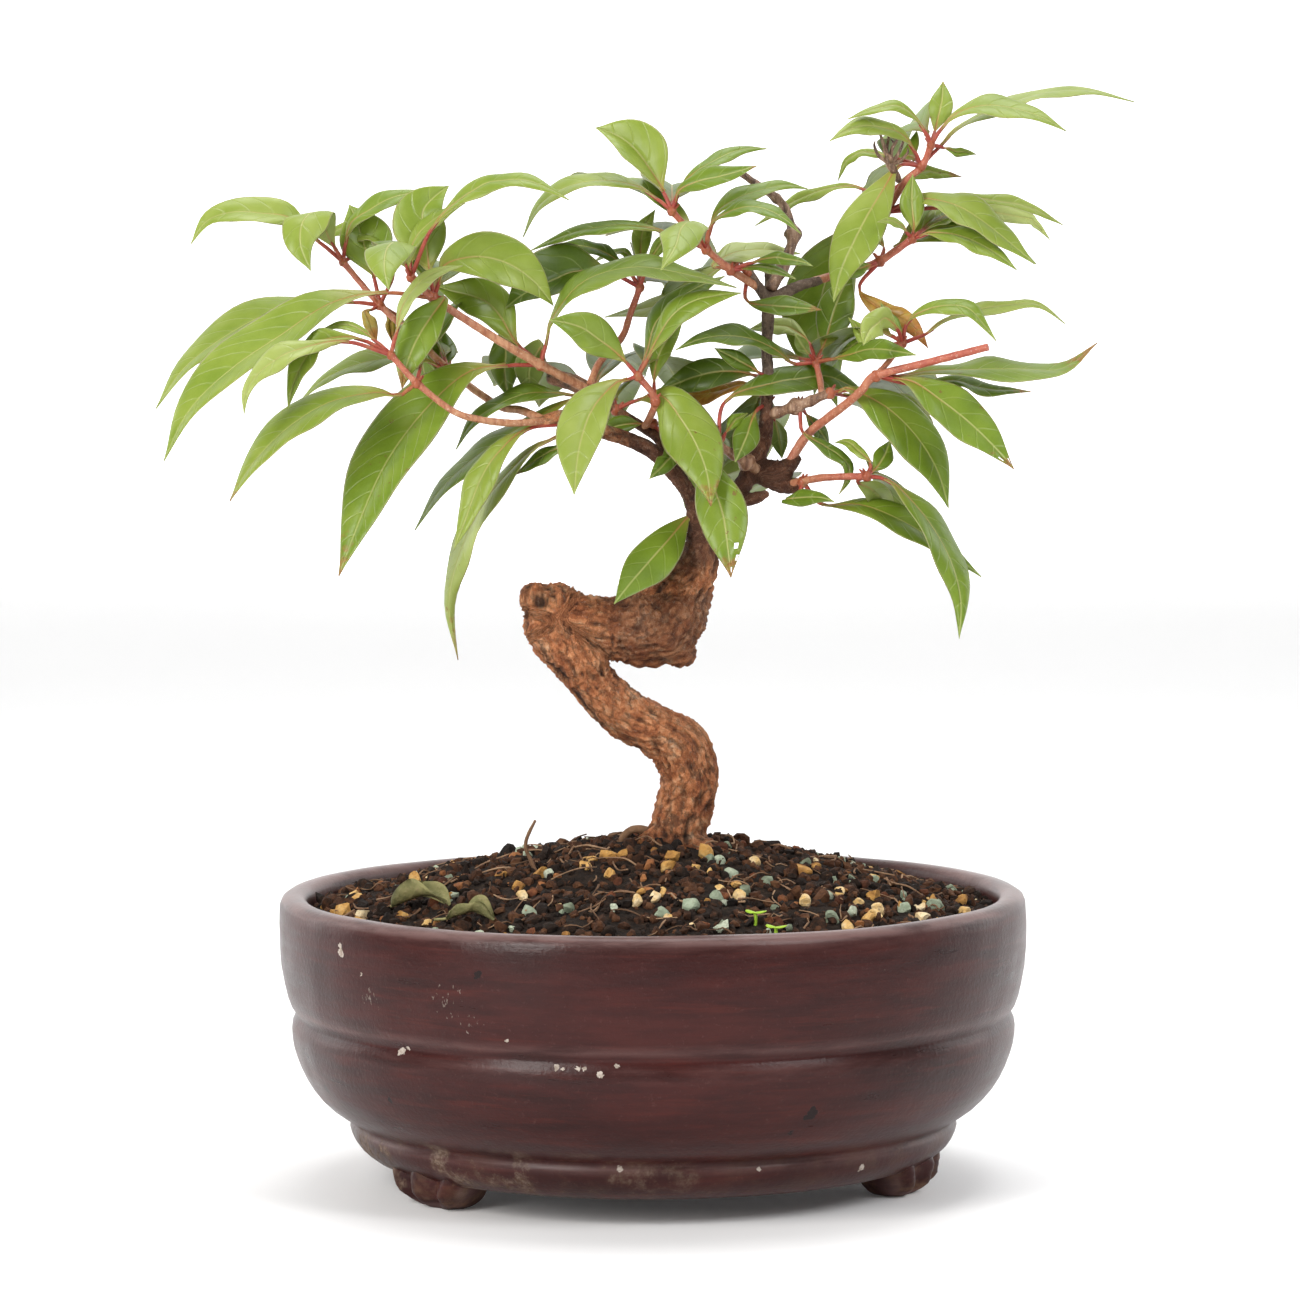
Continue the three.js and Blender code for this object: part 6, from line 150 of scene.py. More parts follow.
  ["A3d","leaves_upper_left_tip",[[-63.3,-14,242.8],[-64,-16.5,244.8],[-64.6,-19,246.8],[-66.3,-25.9,251.7],[-68.4,-34.1,250.6],[-69,-41.2,245.8],[-67.6,-47,239.6]],[[-5.7,0.1,-1.8],[-5.7,0.1,-1.8],[-5.7,0.1,-1.8],[-5.6,0.9,-1.9],[-5.5,1.4,-1.2],[-5.7,0.7,-1.1],[-5.8,0.2,-1.5]],[[5.3,-1.7,-0.4],[5.3,-1.7,-0.4],[5.3,-1.7,-0.5],[5.4,-1.7,-1.3],[5.7,-0.3,-1.8],[5.6,1,-0.8],[5.4,1.4,-0.1]]],
  ["A3e","leaves_upper_left_tip",[[-63.3,-14,242.8],[-63.5,-13.5,245.7],[-63.6,-13,248.6],[-61.7,-11.8,253.5],[-58.1,-10.6,257.2],[-53.8,-9.3,260],[-49.1,-8,262.3]],[[-1.9,0.9,-0.2],[-1.9,1.4,-0.2],[-1.9,2.3,0.2],[-1.8,2.9,0.7],[-1.5,2.9,1.2],[-1.3,2.9,1.4],[-1.2,2.9,1.5]],[[1.9,1.5,-0.1],[1.9,1,-0.1],[1.9,-1.3,-0.3],[1.8,-2.9,-0.7],[1.5,-2.9,-1.2],[1.3,-2.9,-1.4],[1.2,-2.9,-1.5]]],
  ["A3h","leaves_upper_left_tip",[[-63.3,-14,242.8],[-56.6,-16.9,257.1],[-44.7,-20.1,266.4],[-38.7,-21.5,267.9],[-32.5,-23,267.9],[-26.8,-24.5,265.7],[-21.3,-26,262.8]],[[-1.8,3.4,1.2],[-1.4,3.5,1.7],[-0.8,3.5,2],[0.1,3.5,2.2],[0.9,3.5,2],[1.3,3.5,1.8],[1.5,3.5,1.7]],[[1.8,-3.1,-1.2],[1.4,-3.5,-1.7],[0.8,-3.5,-2],[-0.1,-3.5,-2.2],[-0.9,-3.5,-2],[-1.3,-3.5,-1.8],[-1.5,-3.5,-1.7]]],
  ["bk04","leaves_upper_left_tip",[[-63.3,-14,242.8],[-63.7,-11.1,245.9],[-64.1,-7.7,248.4],[-65,-1.1,251.2],[-65.8,5.9,251.9],[-66.7,12.9,250.5],[-67.5,19.1,247.1]],[[7.6,-1.7,2.5],[7.6,-1.5,2.7],[7.5,-0.8,3.2],[7.4,0,3.5],[7.3,1.1,3.6],[7.1,2.2,3.4],[7.1,2.6,3.2]],[[-8.2,-0.9,-0.2],[-8.2,-0.9,-0.2],[-8.1,-0.9,-0.2],[-8.1,-1,-0.2],[-8.1,-1,-0.2],[-8.1,-1.1,-0.2],[-8.1,-1.1,-0.2]]],
  ["A2b","leaves_upper_left_middle",[[-57.4,-11.9,237.2],[-71.1,-14.5,238.7],[-84.6,-17.7,235.8],[-97.3,-21.4,227.6],[-109.8,-25.4,219.1],[-120.5,-29.6,208.6],[-127.2,-33.9,195.2]],[[0.5,-7.3,-3.6],[1.2,-7.3,-3.4],[2.3,-7.2,-2.8],[2.8,-7.2,-2.3],[3.1,-7.2,-1.9],[3.5,-7.1,-1.1],[3.7,-7.2,-0.5]],[[-0.1,7.3,7.1],[-1.4,7.4,6.9],[-3.6,7.2,6.1],[-4.7,7.2,5.3],[-5.4,7.2,4.6],[-6.3,7.1,3.2],[-6.8,7.1,2.1]]],
  ["A2m","leaves_upper_left_middle",[[-57.4,-11.9,237.2],[-55.8,-12.2,237.4],[-54.2,-12.6,237.5],[-58.2,-14.5,232],[-61.8,-16.5,226.2],[-64.3,-18.8,219.9],[-65.6,-21.1,213.3]],[[-0.1,2.2,4.3],[1.1,2.5,3.5],[4.1,-1.7,-1.4],[3.8,-2.2,-2],[4,-2,-1.6],[4.2,-1.1,-1.1],[4.2,-0.3,-0.7]],[[0.4,0,-4.8],[-1,-0.4,-3.9],[-4.4,0,2],[-4.1,0,2.6],[-4.3,0,2.2],[-4.6,0,1.4],[-4.8,0,0.9]]],
  ["A2g","leaves_upper_left_middle",[[-57.4,-11.9,237.2],[-58.6,-10.2,244.1],[-59.4,-8.2,251],[-60.4,-6.7,255.7],[-60.3,-5.2,260.4],[-57.4,-3.5,264],[-53.6,-1.9,266.9]],[[-7.2,0,-1.2],[-7.2,0,-1.1],[-7.2,0,-1.1],[-7.2,-0.1,-0.4],[-6.8,0,2.5],[-5.2,0.1,5.1],[-4.4,0,5.8]],[[5.4,3.1,0.5],[5.4,3,0.3],[5.4,2.9,0.3],[5.4,2.2,-0.1],[5.3,-3,-1.3],[4.5,-4.6,-3.1],[4,-4.6,-3.8]]],
  ["A2j","leaves_upper_left_middle",[[-57.4,-11.9,237.2],[-55.9,-11.2,241.8],[-54.2,-10.4,246.2],[-46.1,-8.7,248.1],[-38,-7,246.3],[-31.1,-5.2,241.5],[-25.9,-3.3,235]],[[-6.2,0,1.9],[-5.8,-0.1,2.6],[-3.3,0,5.5],[0,0,6.5],[2.5,0,5.9],[4.3,0,4.8],[5.1,0,4]],[[5.2,-1.8,-1.5],[5,-3.4,-1.8],[3.2,-3.4,-4.4],[0.4,-3.5,-5.4],[-1.7,-3.5,-5.1],[-3.3,-3.5,-4.3],[-3.9,-3.5,-3.7]]],
  ["bk05","leaves_upper_left_middle",[[-57.4,-11.9,237.2],[-57.2,-8.9,239.8],[-56.9,-5.7,242],[-56.5,0.4,244.7],[-56.1,6.8,246],[-55.7,13.4,246],[-55.2,19.8,244.5]],[[8.7,-1.3,0.8],[8.7,-1.2,0.8],[8.7,-1.1,0.9],[8.7,-0.9,1],[8.7,-0.7,1],[8.7,-0.5,1],[8.7,-0.4,1]],[[-8.5,-1.2,2.1],[-8.5,-1.1,2.2],[-8.4,-0.7,2.4],[-8.4,-0.3,2.6],[-8.4,0.3,2.7],[-8.3,0.9,2.7],[-8.3,1.2,2.7]]],
  ["A1l","leaves_upper_left_base",[[-29.3,-4,219.3],[-35.8,-1.7,225],[-40.3,1,232.3],[-43.8,2.7,235.9],[-48.3,4.4,237.7],[-53.1,6.2,238.9],[-57.9,8,240.3]],[[-3.3,-2.7,-3.2],[-3.8,-2.7,-2.6],[-3.9,-2.6,-2.4],[-3.1,-2.7,-3.4],[-2.1,-2.7,-4.1],[-1.8,-2.7,-4.3],[-1.8,-2.6,-4.2]],[[3.6,0,4],[4.1,0,3.5],[4.2,-0.1,3.3],[3.1,0,4.4],[1.8,0.1,5.1],[1.5,0,5.2],[1.5,0,5.2]]],
  ["A1a","leaves_upper_left_base",[[-29.3,-4,219.3],[-39.5,-5.9,219.1],[-49.4,-8.3,217],[-61,-12.4,206.3],[-70.2,-16.7,193.5],[-76.7,-21.3,179.1],[-82.3,-26,164.4]],[[0.9,-7.3,-5.9],[1.8,-7.4,-5.7],[4,-7.2,-4.5],[5.2,-7.2,-3.1],[5.7,-7.1,-2],[5.8,-6,-1.4],[5.8,-4.9,-1.3]],[[-0.9,6.4,8.6],[-2.1,6.5,8.4],[-5.3,6.3,6.9],[-7.1,6.3,5],[-7.9,6.2,3.5],[-8.3,5.8,2.5],[-8.4,5.5,2.2]]],
  ["A1b","leaves_upper_left_base",[[-29.3,-4,219.3],[-29,-2.7,221.9],[-28.8,-1.4,224.6],[-31.1,0.9,221.4],[-32.6,3.3,217.9],[-32.6,5.7,214.1],[-32.2,8.2,210.3]],[[-3.8,0,0.4],[-3.7,0.1,0.1],[1.1,0,-3.6],[3.3,0,-1.8],[3.7,0,-0.7],[3.8,0,0.2],[3.7,0,0.4]],[[3.8,0,-0.4],[3.7,-0.1,-0.1],[-1.1,0,3.6],[-3.3,0,1.8],[-3.7,0,0.7],[-3.8,0,-0.2],[-3.7,0,-0.4]]],
  ["A1e","leaves_upper_left_base",[[-29.3,-4,219.3],[-33.6,-1,223],[-38.2,2.5,225.9],[-38.9,5.3,221.8],[-39.3,8.1,217.7],[-39,11,213.7],[-38.3,14,209.8]],[[-2.7,0,-3],[-2.3,0.1,-3.3],[0.8,-0.1,-4],[3.9,-0.2,-0.8],[4,0,0],[4,0,0.5],[4,0,0.7]],[[2.7,0,3],[2.3,-0.1,3.3],[-0.8,0.1,4],[-3.9,0.2,0.8],[-4,0,0],[-4,0,-0.5],[-4,0,-0.7]]],
  ["A1n","leaves_upper_left_base",[[-29.3,-4,219.3],[-27.9,-4.7,225.3],[-26.3,-5.5,231.3],[-17.7,-7.7,241.4],[-4.5,-10,245.1],[9.3,-12.5,243.2],[22.7,-15.1,239.7]],[[-2.8,5.3,1],[-2.7,6.4,1.3],[-2.1,7.4,2.3],[-0.9,7.4,2.9],[0.5,7.3,3],[1.3,7.3,2.8],[1.5,7.3,2.7]],[[2.6,-1.7,-0.7],[2.5,-4.6,-1.1],[1.8,-7.4,-2.1],[0.8,-7.4,-2.7],[-0.5,-7.3,-2.7],[-1.2,-7.3,-2.5],[-1.5,-7.3,-2.4]]],
  ["bk06","leaves_upper_left_base",[[-29.3,-4,219.3],[-29.5,0.9,219.7],[-29.6,5.7,219.6],[-29.9,13.8,218.3],[-30.2,21.5,215.8],[-30.5,28.7,211.9],[-30.7,35.1,207]],[[8.9,0.4,-0.4],[8.9,0.3,-0.4],[8.9,0.3,-0.4],[8.9,0.2,-0.4],[8.9,0.2,-0.4],[8.9,0.1,-0.3],[8.9,0.1,-0.3]],[[-7.9,-0.6,4.1],[-7.9,-0.4,4.1],[-8,0.1,4.1],[-8,0.7,4],[-8,1.3,3.8],[-8,1.9,3.5],[-8,2.2,3.3]]],
  ["bk07","leaves_upper_left_base",[[-29.3,-4,219.3],[-30.9,0.7,219.6],[-32.5,5.4,219.6],[-35.2,13.3,219],[-37.9,21,217.6],[-40.5,28.7,215.5],[-43.1,36.1,212.7]],[[7.6,2.6,0.5],[7.6,2.6,0.5],[7.6,2.6,0.5],[7.5,2.7,0.5],[7.5,2.7,0.5],[7.5,2.7,0.5],[7.5,2.8,0.5]],[[-7,-2.6,2.9],[-7,-2.5,2.9],[-7.1,-2.3,2.9],[-7.2,-2.1,2.9],[-7.3,-1.9,2.8],[-7.3,-1.6,2.8],[-7.4,-1.5,2.7]]],
  ["AA1","leaves_grey_bough_end",[[-16.3,0,210.9],[-19.6,-0.3,210.1],[-23,-0.5,209.3],[-34.6,-1.8,202.7],[-45.9,-3.2,195.5],[-55.8,-4.7,186.6],[-63.1,-6.2,175.4]],[[0.9,-7.5,-2.3],[1,-7.5,-2.2],[1.5,-7.5,-2],[1.6,-7.5,-1.8],[1.9,-7.5,-1.6],[2.2,-7.4,-1.2],[2.3,-7.4,-0.9]],[[-0.9,7.5,2.3],[-1,7.5,2.2],[-1.5,7.5,2],[-1.6,7.5,1.8],[-1.9,7.5,1.6],[-2.2,7.4,1.2],[-2.3,7.4,0.9]]],
  ["AA2","leaves_grey_bough_end",[[-16.3,0,210.9],[-20.3,-0.4,211.2],[-24.3,-0.8,211.5],[-32.7,-1.8,211.6],[-40.6,-2.9,208.7],[-47.5,-4.1,204],[-52,-5.3,196.9]],[[0.2,-5.3,-1.6],[0.2,-5.3,-1.6],[0.4,-5.3,-1.6],[0.7,-5.3,-1.5],[1.1,-5.3,-1.2],[1.5,-5.3,-0.8],[1.6,-5.3,-0.5]],[[-0.1,5,2.4],[-0.1,5,2.4],[-0.3,5,2.4],[-0.8,5,2.3],[-1.5,5,2],[-2,5,1.4],[-2.3,5,0.9]]],
  ["bk08","leaves_grey_bough_end",[[-16.3,0,210.9],[-14.7,6.4,214.3],[-13.1,13.2,217.1],[-10.2,25,219.9],[-7.3,37.1,220.5],[-4.3,49.2,218.7],[-1.5,60.7,214.8]],[[7,-2.7,1.9],[7,-2.6,1.9],[7.1,-2.3,2],[7.2,-2,2.1],[7.3,-1.7,2.1],[7.4,-1.3,2],[7.4,-1.1,2]],[[-7.6,1.3,1.1],[-7.6,1.3,1.1],[-7.5,1.5,1.2],[-7.5,1.6,1.2],[-7.4,1.9,1.2],[-7.4,2.1,1.2],[-7.3,2.2,1.2]]],
  ["AA4","leaf_left_bough_hanging",[[-18.9,-8,203.9],[-25.6,-7.2,200.1],[-32.3,-6.1,196.2],[-43.1,-3.8,184.6],[-50.6,-1.3,170.6],[-54.4,1.3,155.4],[-52.2,4,139.9]],[[0.9,-7.4,-2.6],[0.9,-7.4,-2.6],[1.3,-7.4,-2.4],[1.8,-7.4,-2.1],[2.4,-4.7,-1.4],[2.7,1.6,0],[2.6,4.7,0.9]],[[-0.8,7.4,2.3],[-0.8,7.4,2.3],[-1.2,7.4,2.2],[-1.6,7.4,1.9],[-2,6.4,1.4],[-2.4,4,0.5],[-2.4,-0.3,-0.4]]],
  ["AA3","leaves_left_bough_end",[[-23.7,-8,203.7],[-33.5,-10.2,202.2],[-40.9,-12.9,195.7],[-44.7,-14.9,190],[-47.3,-17,183.7],[-49.6,-19.2,177.3],[-52.2,-21.4,171]],[[0.9,-3.3,-3.1],[1.8,-3.3,-2.7],[2.7,-3.3,-1.8],[3.1,-3.2,-1.1],[3.2,-2.5,-0.8],[3.2,-2.3,-0.8],[3.2,-2.4,-0.8]],[[-0.9,3.1,3.4],[-1.9,3,3],[-2.9,3,2.1],[-3.3,3,1.2],[-3.4,2.7,0.8],[-3.4,2.7,0.8],[-3.4,2.7,0.9]]],
  ["AA5","leaves_left_bough_end",[[-23.7,-8,203.7],[-24,-7,200.6],[-24.3,-6,197.5],[-27.5,-4.6,195.8],[-30.6,-3.1,193.9],[-33.5,-1.6,191.8],[-36.5,0,189.8]],[[1.6,0.3,-0.1],[1.6,-0.5,-0.3],[1.1,-1.8,-1.3],[0.5,-1.8,-1.6],[0.5,-1.8,-1.6],[0.5,-1.8,-1.6],[0.5,-1.8,-1.6]],[[-1.6,1,0.3],[-1.6,1.4,0.5],[-1.1,1.8,1.3],[-0.5,1.8,1.6],[-0.5,1.8,1.6],[-0.5,1.8,1.6],[-0.5,1.8,1.6]]],
  ["Er","leaves_centre_shoot_tip",[[-2.9,14,239.8],[-11.3,11.3,243.8],[-20.3,8.2,244],[-25.3,6.2,242.1],[-30.1,4.1,240],[-34.7,2,237.5],[-38.8,-0.2,234.3]],[[-0.6,-6.8,-3.9],[0.4,-6.7,-4],[1.7,-6.6,-3.6],[2.6,-6.6,-3],[3,-6.6,-2.7],[3.3,-6.5,-2.3],[3.5,-6.5,-2.1]],[[3.4,0,7.3],[1.8,0,7.9],[-0.7,-0.1,8],[-2.8,-0.1,7.6],[-3.6,0,7.2],[-4.4,0,6.8],[-4.9,0,6.4]]],
  ["Es","leaves_centre_shoot_tip",[[-2.9,14,239.8],[-6.2,16.1,244.4],[-10.4,18.6,247.9],[-14.6,20.8,250],[-19.2,23.2,250.9],[-23.8,25.6,250.9],[-28.4,28,250.5]],[[-1.9,-2.7,-0.6],[-1.8,-2.6,-0.9],[-1.6,-2.6,-1.2],[-1.3,-2.5,-1.6],[-0.9,-2.5,-1.8],[-0.6,-2.5,-1.9],[-0.5,-2.5,-1.9]],[[1.9,2.7,0.6],[1.8,2.6,0.9],[1.6,2.6,1.2],[1.3,2.5,1.6],[0.9,2.5,1.8],[0.6,2.5,1.9],[0.5,2.5,1.9]]],
  ["E1","leaves_centre_shoot_tip",[[-2.9,14,239.8],[-2.8,17,245.6],[-2.6,20.5,251.2],[-2.3,22.3,253.9],[-1.4,24.2,256.4],[0,26.1,258.6],[1.4,27.9,260.9]],[[-2.4,0,0],[-2.4,0,0.1],[-2.4,0,0.2],[-2.4,0,0.5],[-2.2,0,1],[-2.1,0,1.3],[-2,0,1.3]],[[2.4,0,0],[2.4,0,-0.1],[2.4,0,-0.2],[2.4,0,-0.5],[2.2,0,-1],[2.1,0,-1.3],[2,0,-1.3]]],
  ["E2","leaves_centre_shoot_tip",[[-2.9,14,239.8],[-0.5,11.4,246.3],[3.1,8.5,251.9],[4.3,7.8,252.3],[5.5,7.2,252.7],[6.7,6.6,253.1],[7.9,6,253.5]],[[-1.5,0,0.6],[-1.4,0,0.7],[-1.3,0,1],[-0.7,-0.1,1.4],[-0.5,0,1.5],[-0.5,0,1.5],[-0.5,0,1.5]],[[1.5,0,-0.6],[1.4,0,-0.7],[1.3,0,-1],[0.7,0.1,-1.4],[0.5,0,-1.5],[0.5,0,-1.5],[0.5,0,-1.5]]],
  ["E3","leaves_centre_shoot_tip",[[-2.9,14,239.8],[-3.8,18.7,245.2],[-6.9,23.9,249],[-9.2,26.3,249],[-11.5,28.9,248.8],[-13.5,31.4,247.8],[-15.4,34,246.6]],[[-1.1,-0.1,-0.1],[-1.2,-1.2,0],[-1.2,-1.3,-0.5],[-0.7,-1.4,-1.1],[-0.3,-1.3,-1.2],[0,-1.3,-1.2],[0.1,-1.3,-1.2]],[[1.1,1,-0.2],[1.2,1.3,-0.1],[1.2,1.3,0.5],[0.7,1.4,1.1],[0.3,1.3,1.2],[0,1.3,1.2],[-0.1,1.3,1.2]]],
  ["bk09","leaves_centre_shoot_tip",[[-2.9,14,239.8],[-2.1,19.6,241.5],[-1.3,25.4,242.7],[0,35.1,243.8],[1.3,44.9,243.7],[2.6,54.6,242.3],[3.9,64.1,239.8]],[[8.6,0.1,-4.3],[8.5,-0.1,-4.3],[8.5,-0.5,-4.4],[8.4,-0.9,-4.4],[8.3,-1.5,-4.4],[8.3,-2,-4.4],[8.2,-2.3,-4.3]],[[-6,-1.3,7.3],[-6,-1.1,7.4],[-5.9,-0.3,7.5],[-5.8,0.4,7.6],[-5.7,1.3,7.6],[-5.6,2.3,7.4],[-5.5,2.7,7.3]]],
  ["D1t","leaves_crown_shoot_middle",[[14.8,-4,249.9],[3.7,-1.2,254.7],[-8.1,2.1,256.2],[-14.5,4,255.6],[-20.6,6,254.3],[-26.6,8,252.1],[-32.4,10,249.6]],[[-1.1,-3.9,-1.3],[-1,-3.9,-1.4],[-0.8,-3.9,-1.6],[-0.5,-3.9,-1.7],[-0.2,-3.9,-1.7],[-0.1,-3.8,-1.8],[0,-3.8,-1.8]],[[1.1,3.9,1.3],[1,3.9,1.4],[0.8,3.9,1.6],[0.5,3.9,1.7],[0.2,3.9,1.7],[0.1,3.8,1.8],[0,3.8,1.8]]],
  ["D1u","leaves_crown_shoot_middle",[[14.8,-4,249.9],[13.8,-7.1,251.8],[12.9,-10.1,253.6],[10.6,-19,257.1],[8,-28.3,255.1],[6.4,-36.7,250.3],[2.7,-43.8,244.5]],[[-5.4,0.5,-1.9],[-5.4,0.5,-1.9],[-5.4,0.6,-1.9],[-5.2,1.3,-1.7],[-5.1,1.6,-1],[-4.9,1.9,-0.3],[-4.6,2.3,0.2]],[[5,-1.9,-0.5],[5,-1.9,-0.5],[5.1,-1.7,-0.8],[5.2,-1.5,-1.5],[5.4,-0.6,-1.8],[5.4,-0.5,-2],[5.3,-0.9,-2.3]]],
  ["D1b","leaves_crown_shoot_middle",[[14.8,-4,249.9],[15.9,-2.9,255.1],[18,-1.6,259.8],[23.4,0.2,263.3],[29.5,2.1,265.4],[35.9,4,266.7],[42.2,6,265.9]],[[-2.4,2.5,0.2],[-2.4,3.3,0.4],[-2.2,3.6,1.2],[-1.6,3.6,1.9],[-1.2,3.5,2.2],[-0.7,3.5,2.4],[-0.3,3.5,2.5]],[[1.6,-0.8,-0.2],[1.6,-3.1,-0.2],[1.6,-4,-0.6],[1.3,-4,-1.1],[1.1,-3.9,-1.4],[0.8,-3.9,-1.6],[0.5,-3.9,-1.7]]],
  ["D1c","leaves_crown_shoot_middle",[[14.8,-4,249.9],[16,-5.2,256.3],[21.1,-6.6,259.7],[26.3,-7.9,261],[31.4,-9.2,260],[35.9,-10.6,257.3],[39.8,-12,253.8]],[[-1.8,2,0.6],[-1.4,3,1.4],[-0.4,2.9,1.9],[0.4,2.9,1.9],[1.1,2.9,1.6],[1.5,2.9,1.3],[1.6,2.9,1.1]],[[1.6,-0.4,-0.3],[1.1,-3.1,-1.2],[0.3,-3.1,-1.6],[-0.4,-3.1,-1.6],[-1,-3.1,-1.3],[-1.3,-3.1,-1],[-1.4,-3.1,-0.9]]],
  ["bk10","leaves_crown_shoot_middle",[[14.8,-4,249.9],[11,0,255],[6.8,4.4,259.3],[-1,12.5,264.7],[-9.3,21.3,267.7],[-17.9,30.3,268.2],[-26.4,39.2,266]],[[6.7,5.5,0.6],[6.6,5.6,0.7],[6.6,5.7,0.8],[6.5,5.8,0.8],[6.4,5.9,0.9],[6.2,6,0.9],[6.2,6.1,0.9]],[[-4.6,-7.1,2.1],[-4.7,-7,2.2],[-5,-6.7,2.5],[-5.3,-6.4,2.7],[-5.7,-6,2.8],[-6.1,-5.5,2.8],[-6.3,-5.3,2.8]]],
  ["D2v","leaves_crown_shoot_tip",[[5.7,-8,260],[1.1,-7.1,263.8],[-4.1,-6,266.7],[-13.2,-4.2,268.1],[-22.2,-2.2,266.5],[-29.7,-0.1,261.4],[-34,2,253.3]],[[-1.4,-5.9,-0.9],[-1.4,-5.9,-1],[-1.1,-5.9,-1.4],[-0.7,-5.8,-1.6],[-0.1,-5.8,-1.8],[0.6,-5.8,-1.7],[1,-5.8,-1.5]],[[1.9,5.7,1.5],[1.8,5.6,1.7],[1.3,5.6,2.1],[0.6,5.6,2.4],[-0.3,5.6,2.5],[-1.3,5.6,2.2],[-1.8,5.5,1.8]]],
  ["D2w","leaves_crown_shoot_tip",[[5.7,-8,260],[3.2,-6.7,265.7],[-0.1,-5.2,270.9],[-2.8,-4,274.8],[-6.1,-2.7,278.2],[-10.1,-1.4,280.6],[-14.5,0,282.2]],[[-3.2,-5.6,-0.7],[-3.2,-6.3,-0.8],[-3.2,-6.3,-1],[-3.1,-6.2,-1.3],[-2.8,-6.2,-1.9],[-2.4,-6.2,-2.5],[-2.1,-6.2,-2.7]],[[6.6,0,3],[6.4,0,3.4],[6.1,0,4],[5.6,0,4.7],[4.5,0,5.7],[3.2,0,6.5],[2.4,0,6.9]]],
  ["D2x1","leaves_crown_shoot_tip",[[5.7,-8,260],[6.8,-8.7,262.8],[7.9,-9.4,265.5],[12.8,-10.9,267.7],[18,-12.5,268.8],[23.1,-14.2,270.1],[28.1,-16,271.7]],[[-2.4,2.1,1.2],[-2.3,2.5,1.4],[-1.4,2.4,2.3],[-0.5,2.4,2.7],[-0.2,2.3,2.7],[-0.3,2.4,2.7],[-0.4,2.3,2.7]],[[1.9,-2,-1],[1.8,-2.9,-1.3],[1,-2.9,-2],[0.2,-2.8,-2.2],[0,-2.8,-2.2],[0.1,-2.8,-2.2],[0.1,-2.8,-2.2]]],
  ["D2x2","leaves_crown_shoot_tip",[[5.7,-8,260],[8,-6.2,266],[12.4,-4,270.4],[16.8,-2.1,273],[21.3,-0.1,275.3],[26.2,1.9,276.4],[31.2,4,276.6]],[[-1.7,2.7,0.2],[-1.7,3,0.4],[-1.5,3,0.8],[-1.3,3,1.1],[-1.2,2.9,1.3],[-0.9,2.9,1.5],[-0.7,2.9,1.6]],[[1.6,-2.1,-0.2],[1.7,-3,-0.4],[1.5,-3,-0.8],[1.3,-3,-1.1],[1.2,-2.9,-1.3],[0.9,-2.9,-1.5],[0.7,-2.9,-1.6]]],
  ["bk11","leaves_crown_shoot_tip",[[5.7,-8,260],[5.8,-2.3,262.4],[5.8,3.6,264.3],[5.8,13.6,266.5],[5.9,23.9,267.4],[5.9,34.2,266.9],[5.9,44.4,265.1]],[[8,-0.3,0.6],[8,-0.2,0.6],[8.1,-0.2,0.6],[8.1,-0.1,0.6],[8.1,0,0.6],[8.1,0,0.6],[8.1,0.1,0.6]],[[-7.6,-1.1,2.6],[-7.6,-1,2.7],[-7.6,-0.7,2.7],[-7.6,-0.4,2.8],[-7.6,0,2.8],[-7.6,0.3,2.8],[-7.6,0.5,2.8]]],
  ["D0a","leaves_crown_shoot_base",[[21.5,0,244.3],[27.3,-3.2,246.4],[33.1,-6.9,247.5],[35.6,-8.6,247.1],[38.1,-10.4,246.7],[40.6,-12.2,246.2],[42.9,-14,245.3]],[[-0.2,1.1,1.6],[-0.1,1.1,1.6],[0.2,1,1.6],[0.5,1,1.5],[0.7,1,1.5],[0.8,1,1.5],[0.9,1,1.4]],[[0.2,-1.1,-1.6],[0.1,-1.1,-1.6],[-0.2,-1,-1.6],[-0.5,-1,-1.5],[-0.7,-1,-1.5],[-0.8,-1,-1.5],[-0.9,-1,-1.4]]],
  ["D0b","leaves_crown_shoot_base",[[21.5,0,244.3],[24,-1.2,244.6],[26.5,-2.4,244.9],[29.7,-4.2,244.9],[32.8,-6.1,244.3],[35.7,-8,243.1],[38.5,-10,241.9]],[[0.4,1.9,1.1],[0.4,1.9,1.1],[0.5,1.8,1.1],[0.7,1.8,1],[0.8,1.7,0.9],[0.9,1.7,0.8],[0.9,1.7,0.8]],[[-0.4,-1.9,-1.1],[-0.4,-1.9,-1.1],[-0.5,-1.8,-1.1],[-0.7,-1.8,-1],[-0.8,-1.7,-0.9],[-0.9,-1.7,-0.8],[-0.9,-1.7,-0.8]]],
  ["D0c","leaves_crown_shoot_base",[[21.5,0,244.3],[19,1.3,244.9],[16.4,2.6,245.4],[22,6.5,248.7],[28.2,10.6,249.7],[34.4,14.9,249.4],[40.5,19.2,248.6]],[[-1.5,-3.8,-2.2],[-1.9,-4,-2],[-2.6,2.9,0.6],[-1.9,3.6,1.9],[-1.4,3.5,2.3],[-1,3.5,2.5],[-0.9,3.5,2.6]],[[1.5,3.8,2.2],[1.9,4,2],[2.6,-2.9,-0.6],[1.9,-3.6,-1.9],[1.4,-3.5,-2.3],[1,-3.5,-2.5],[0.9,-3.5,-2.6]]],
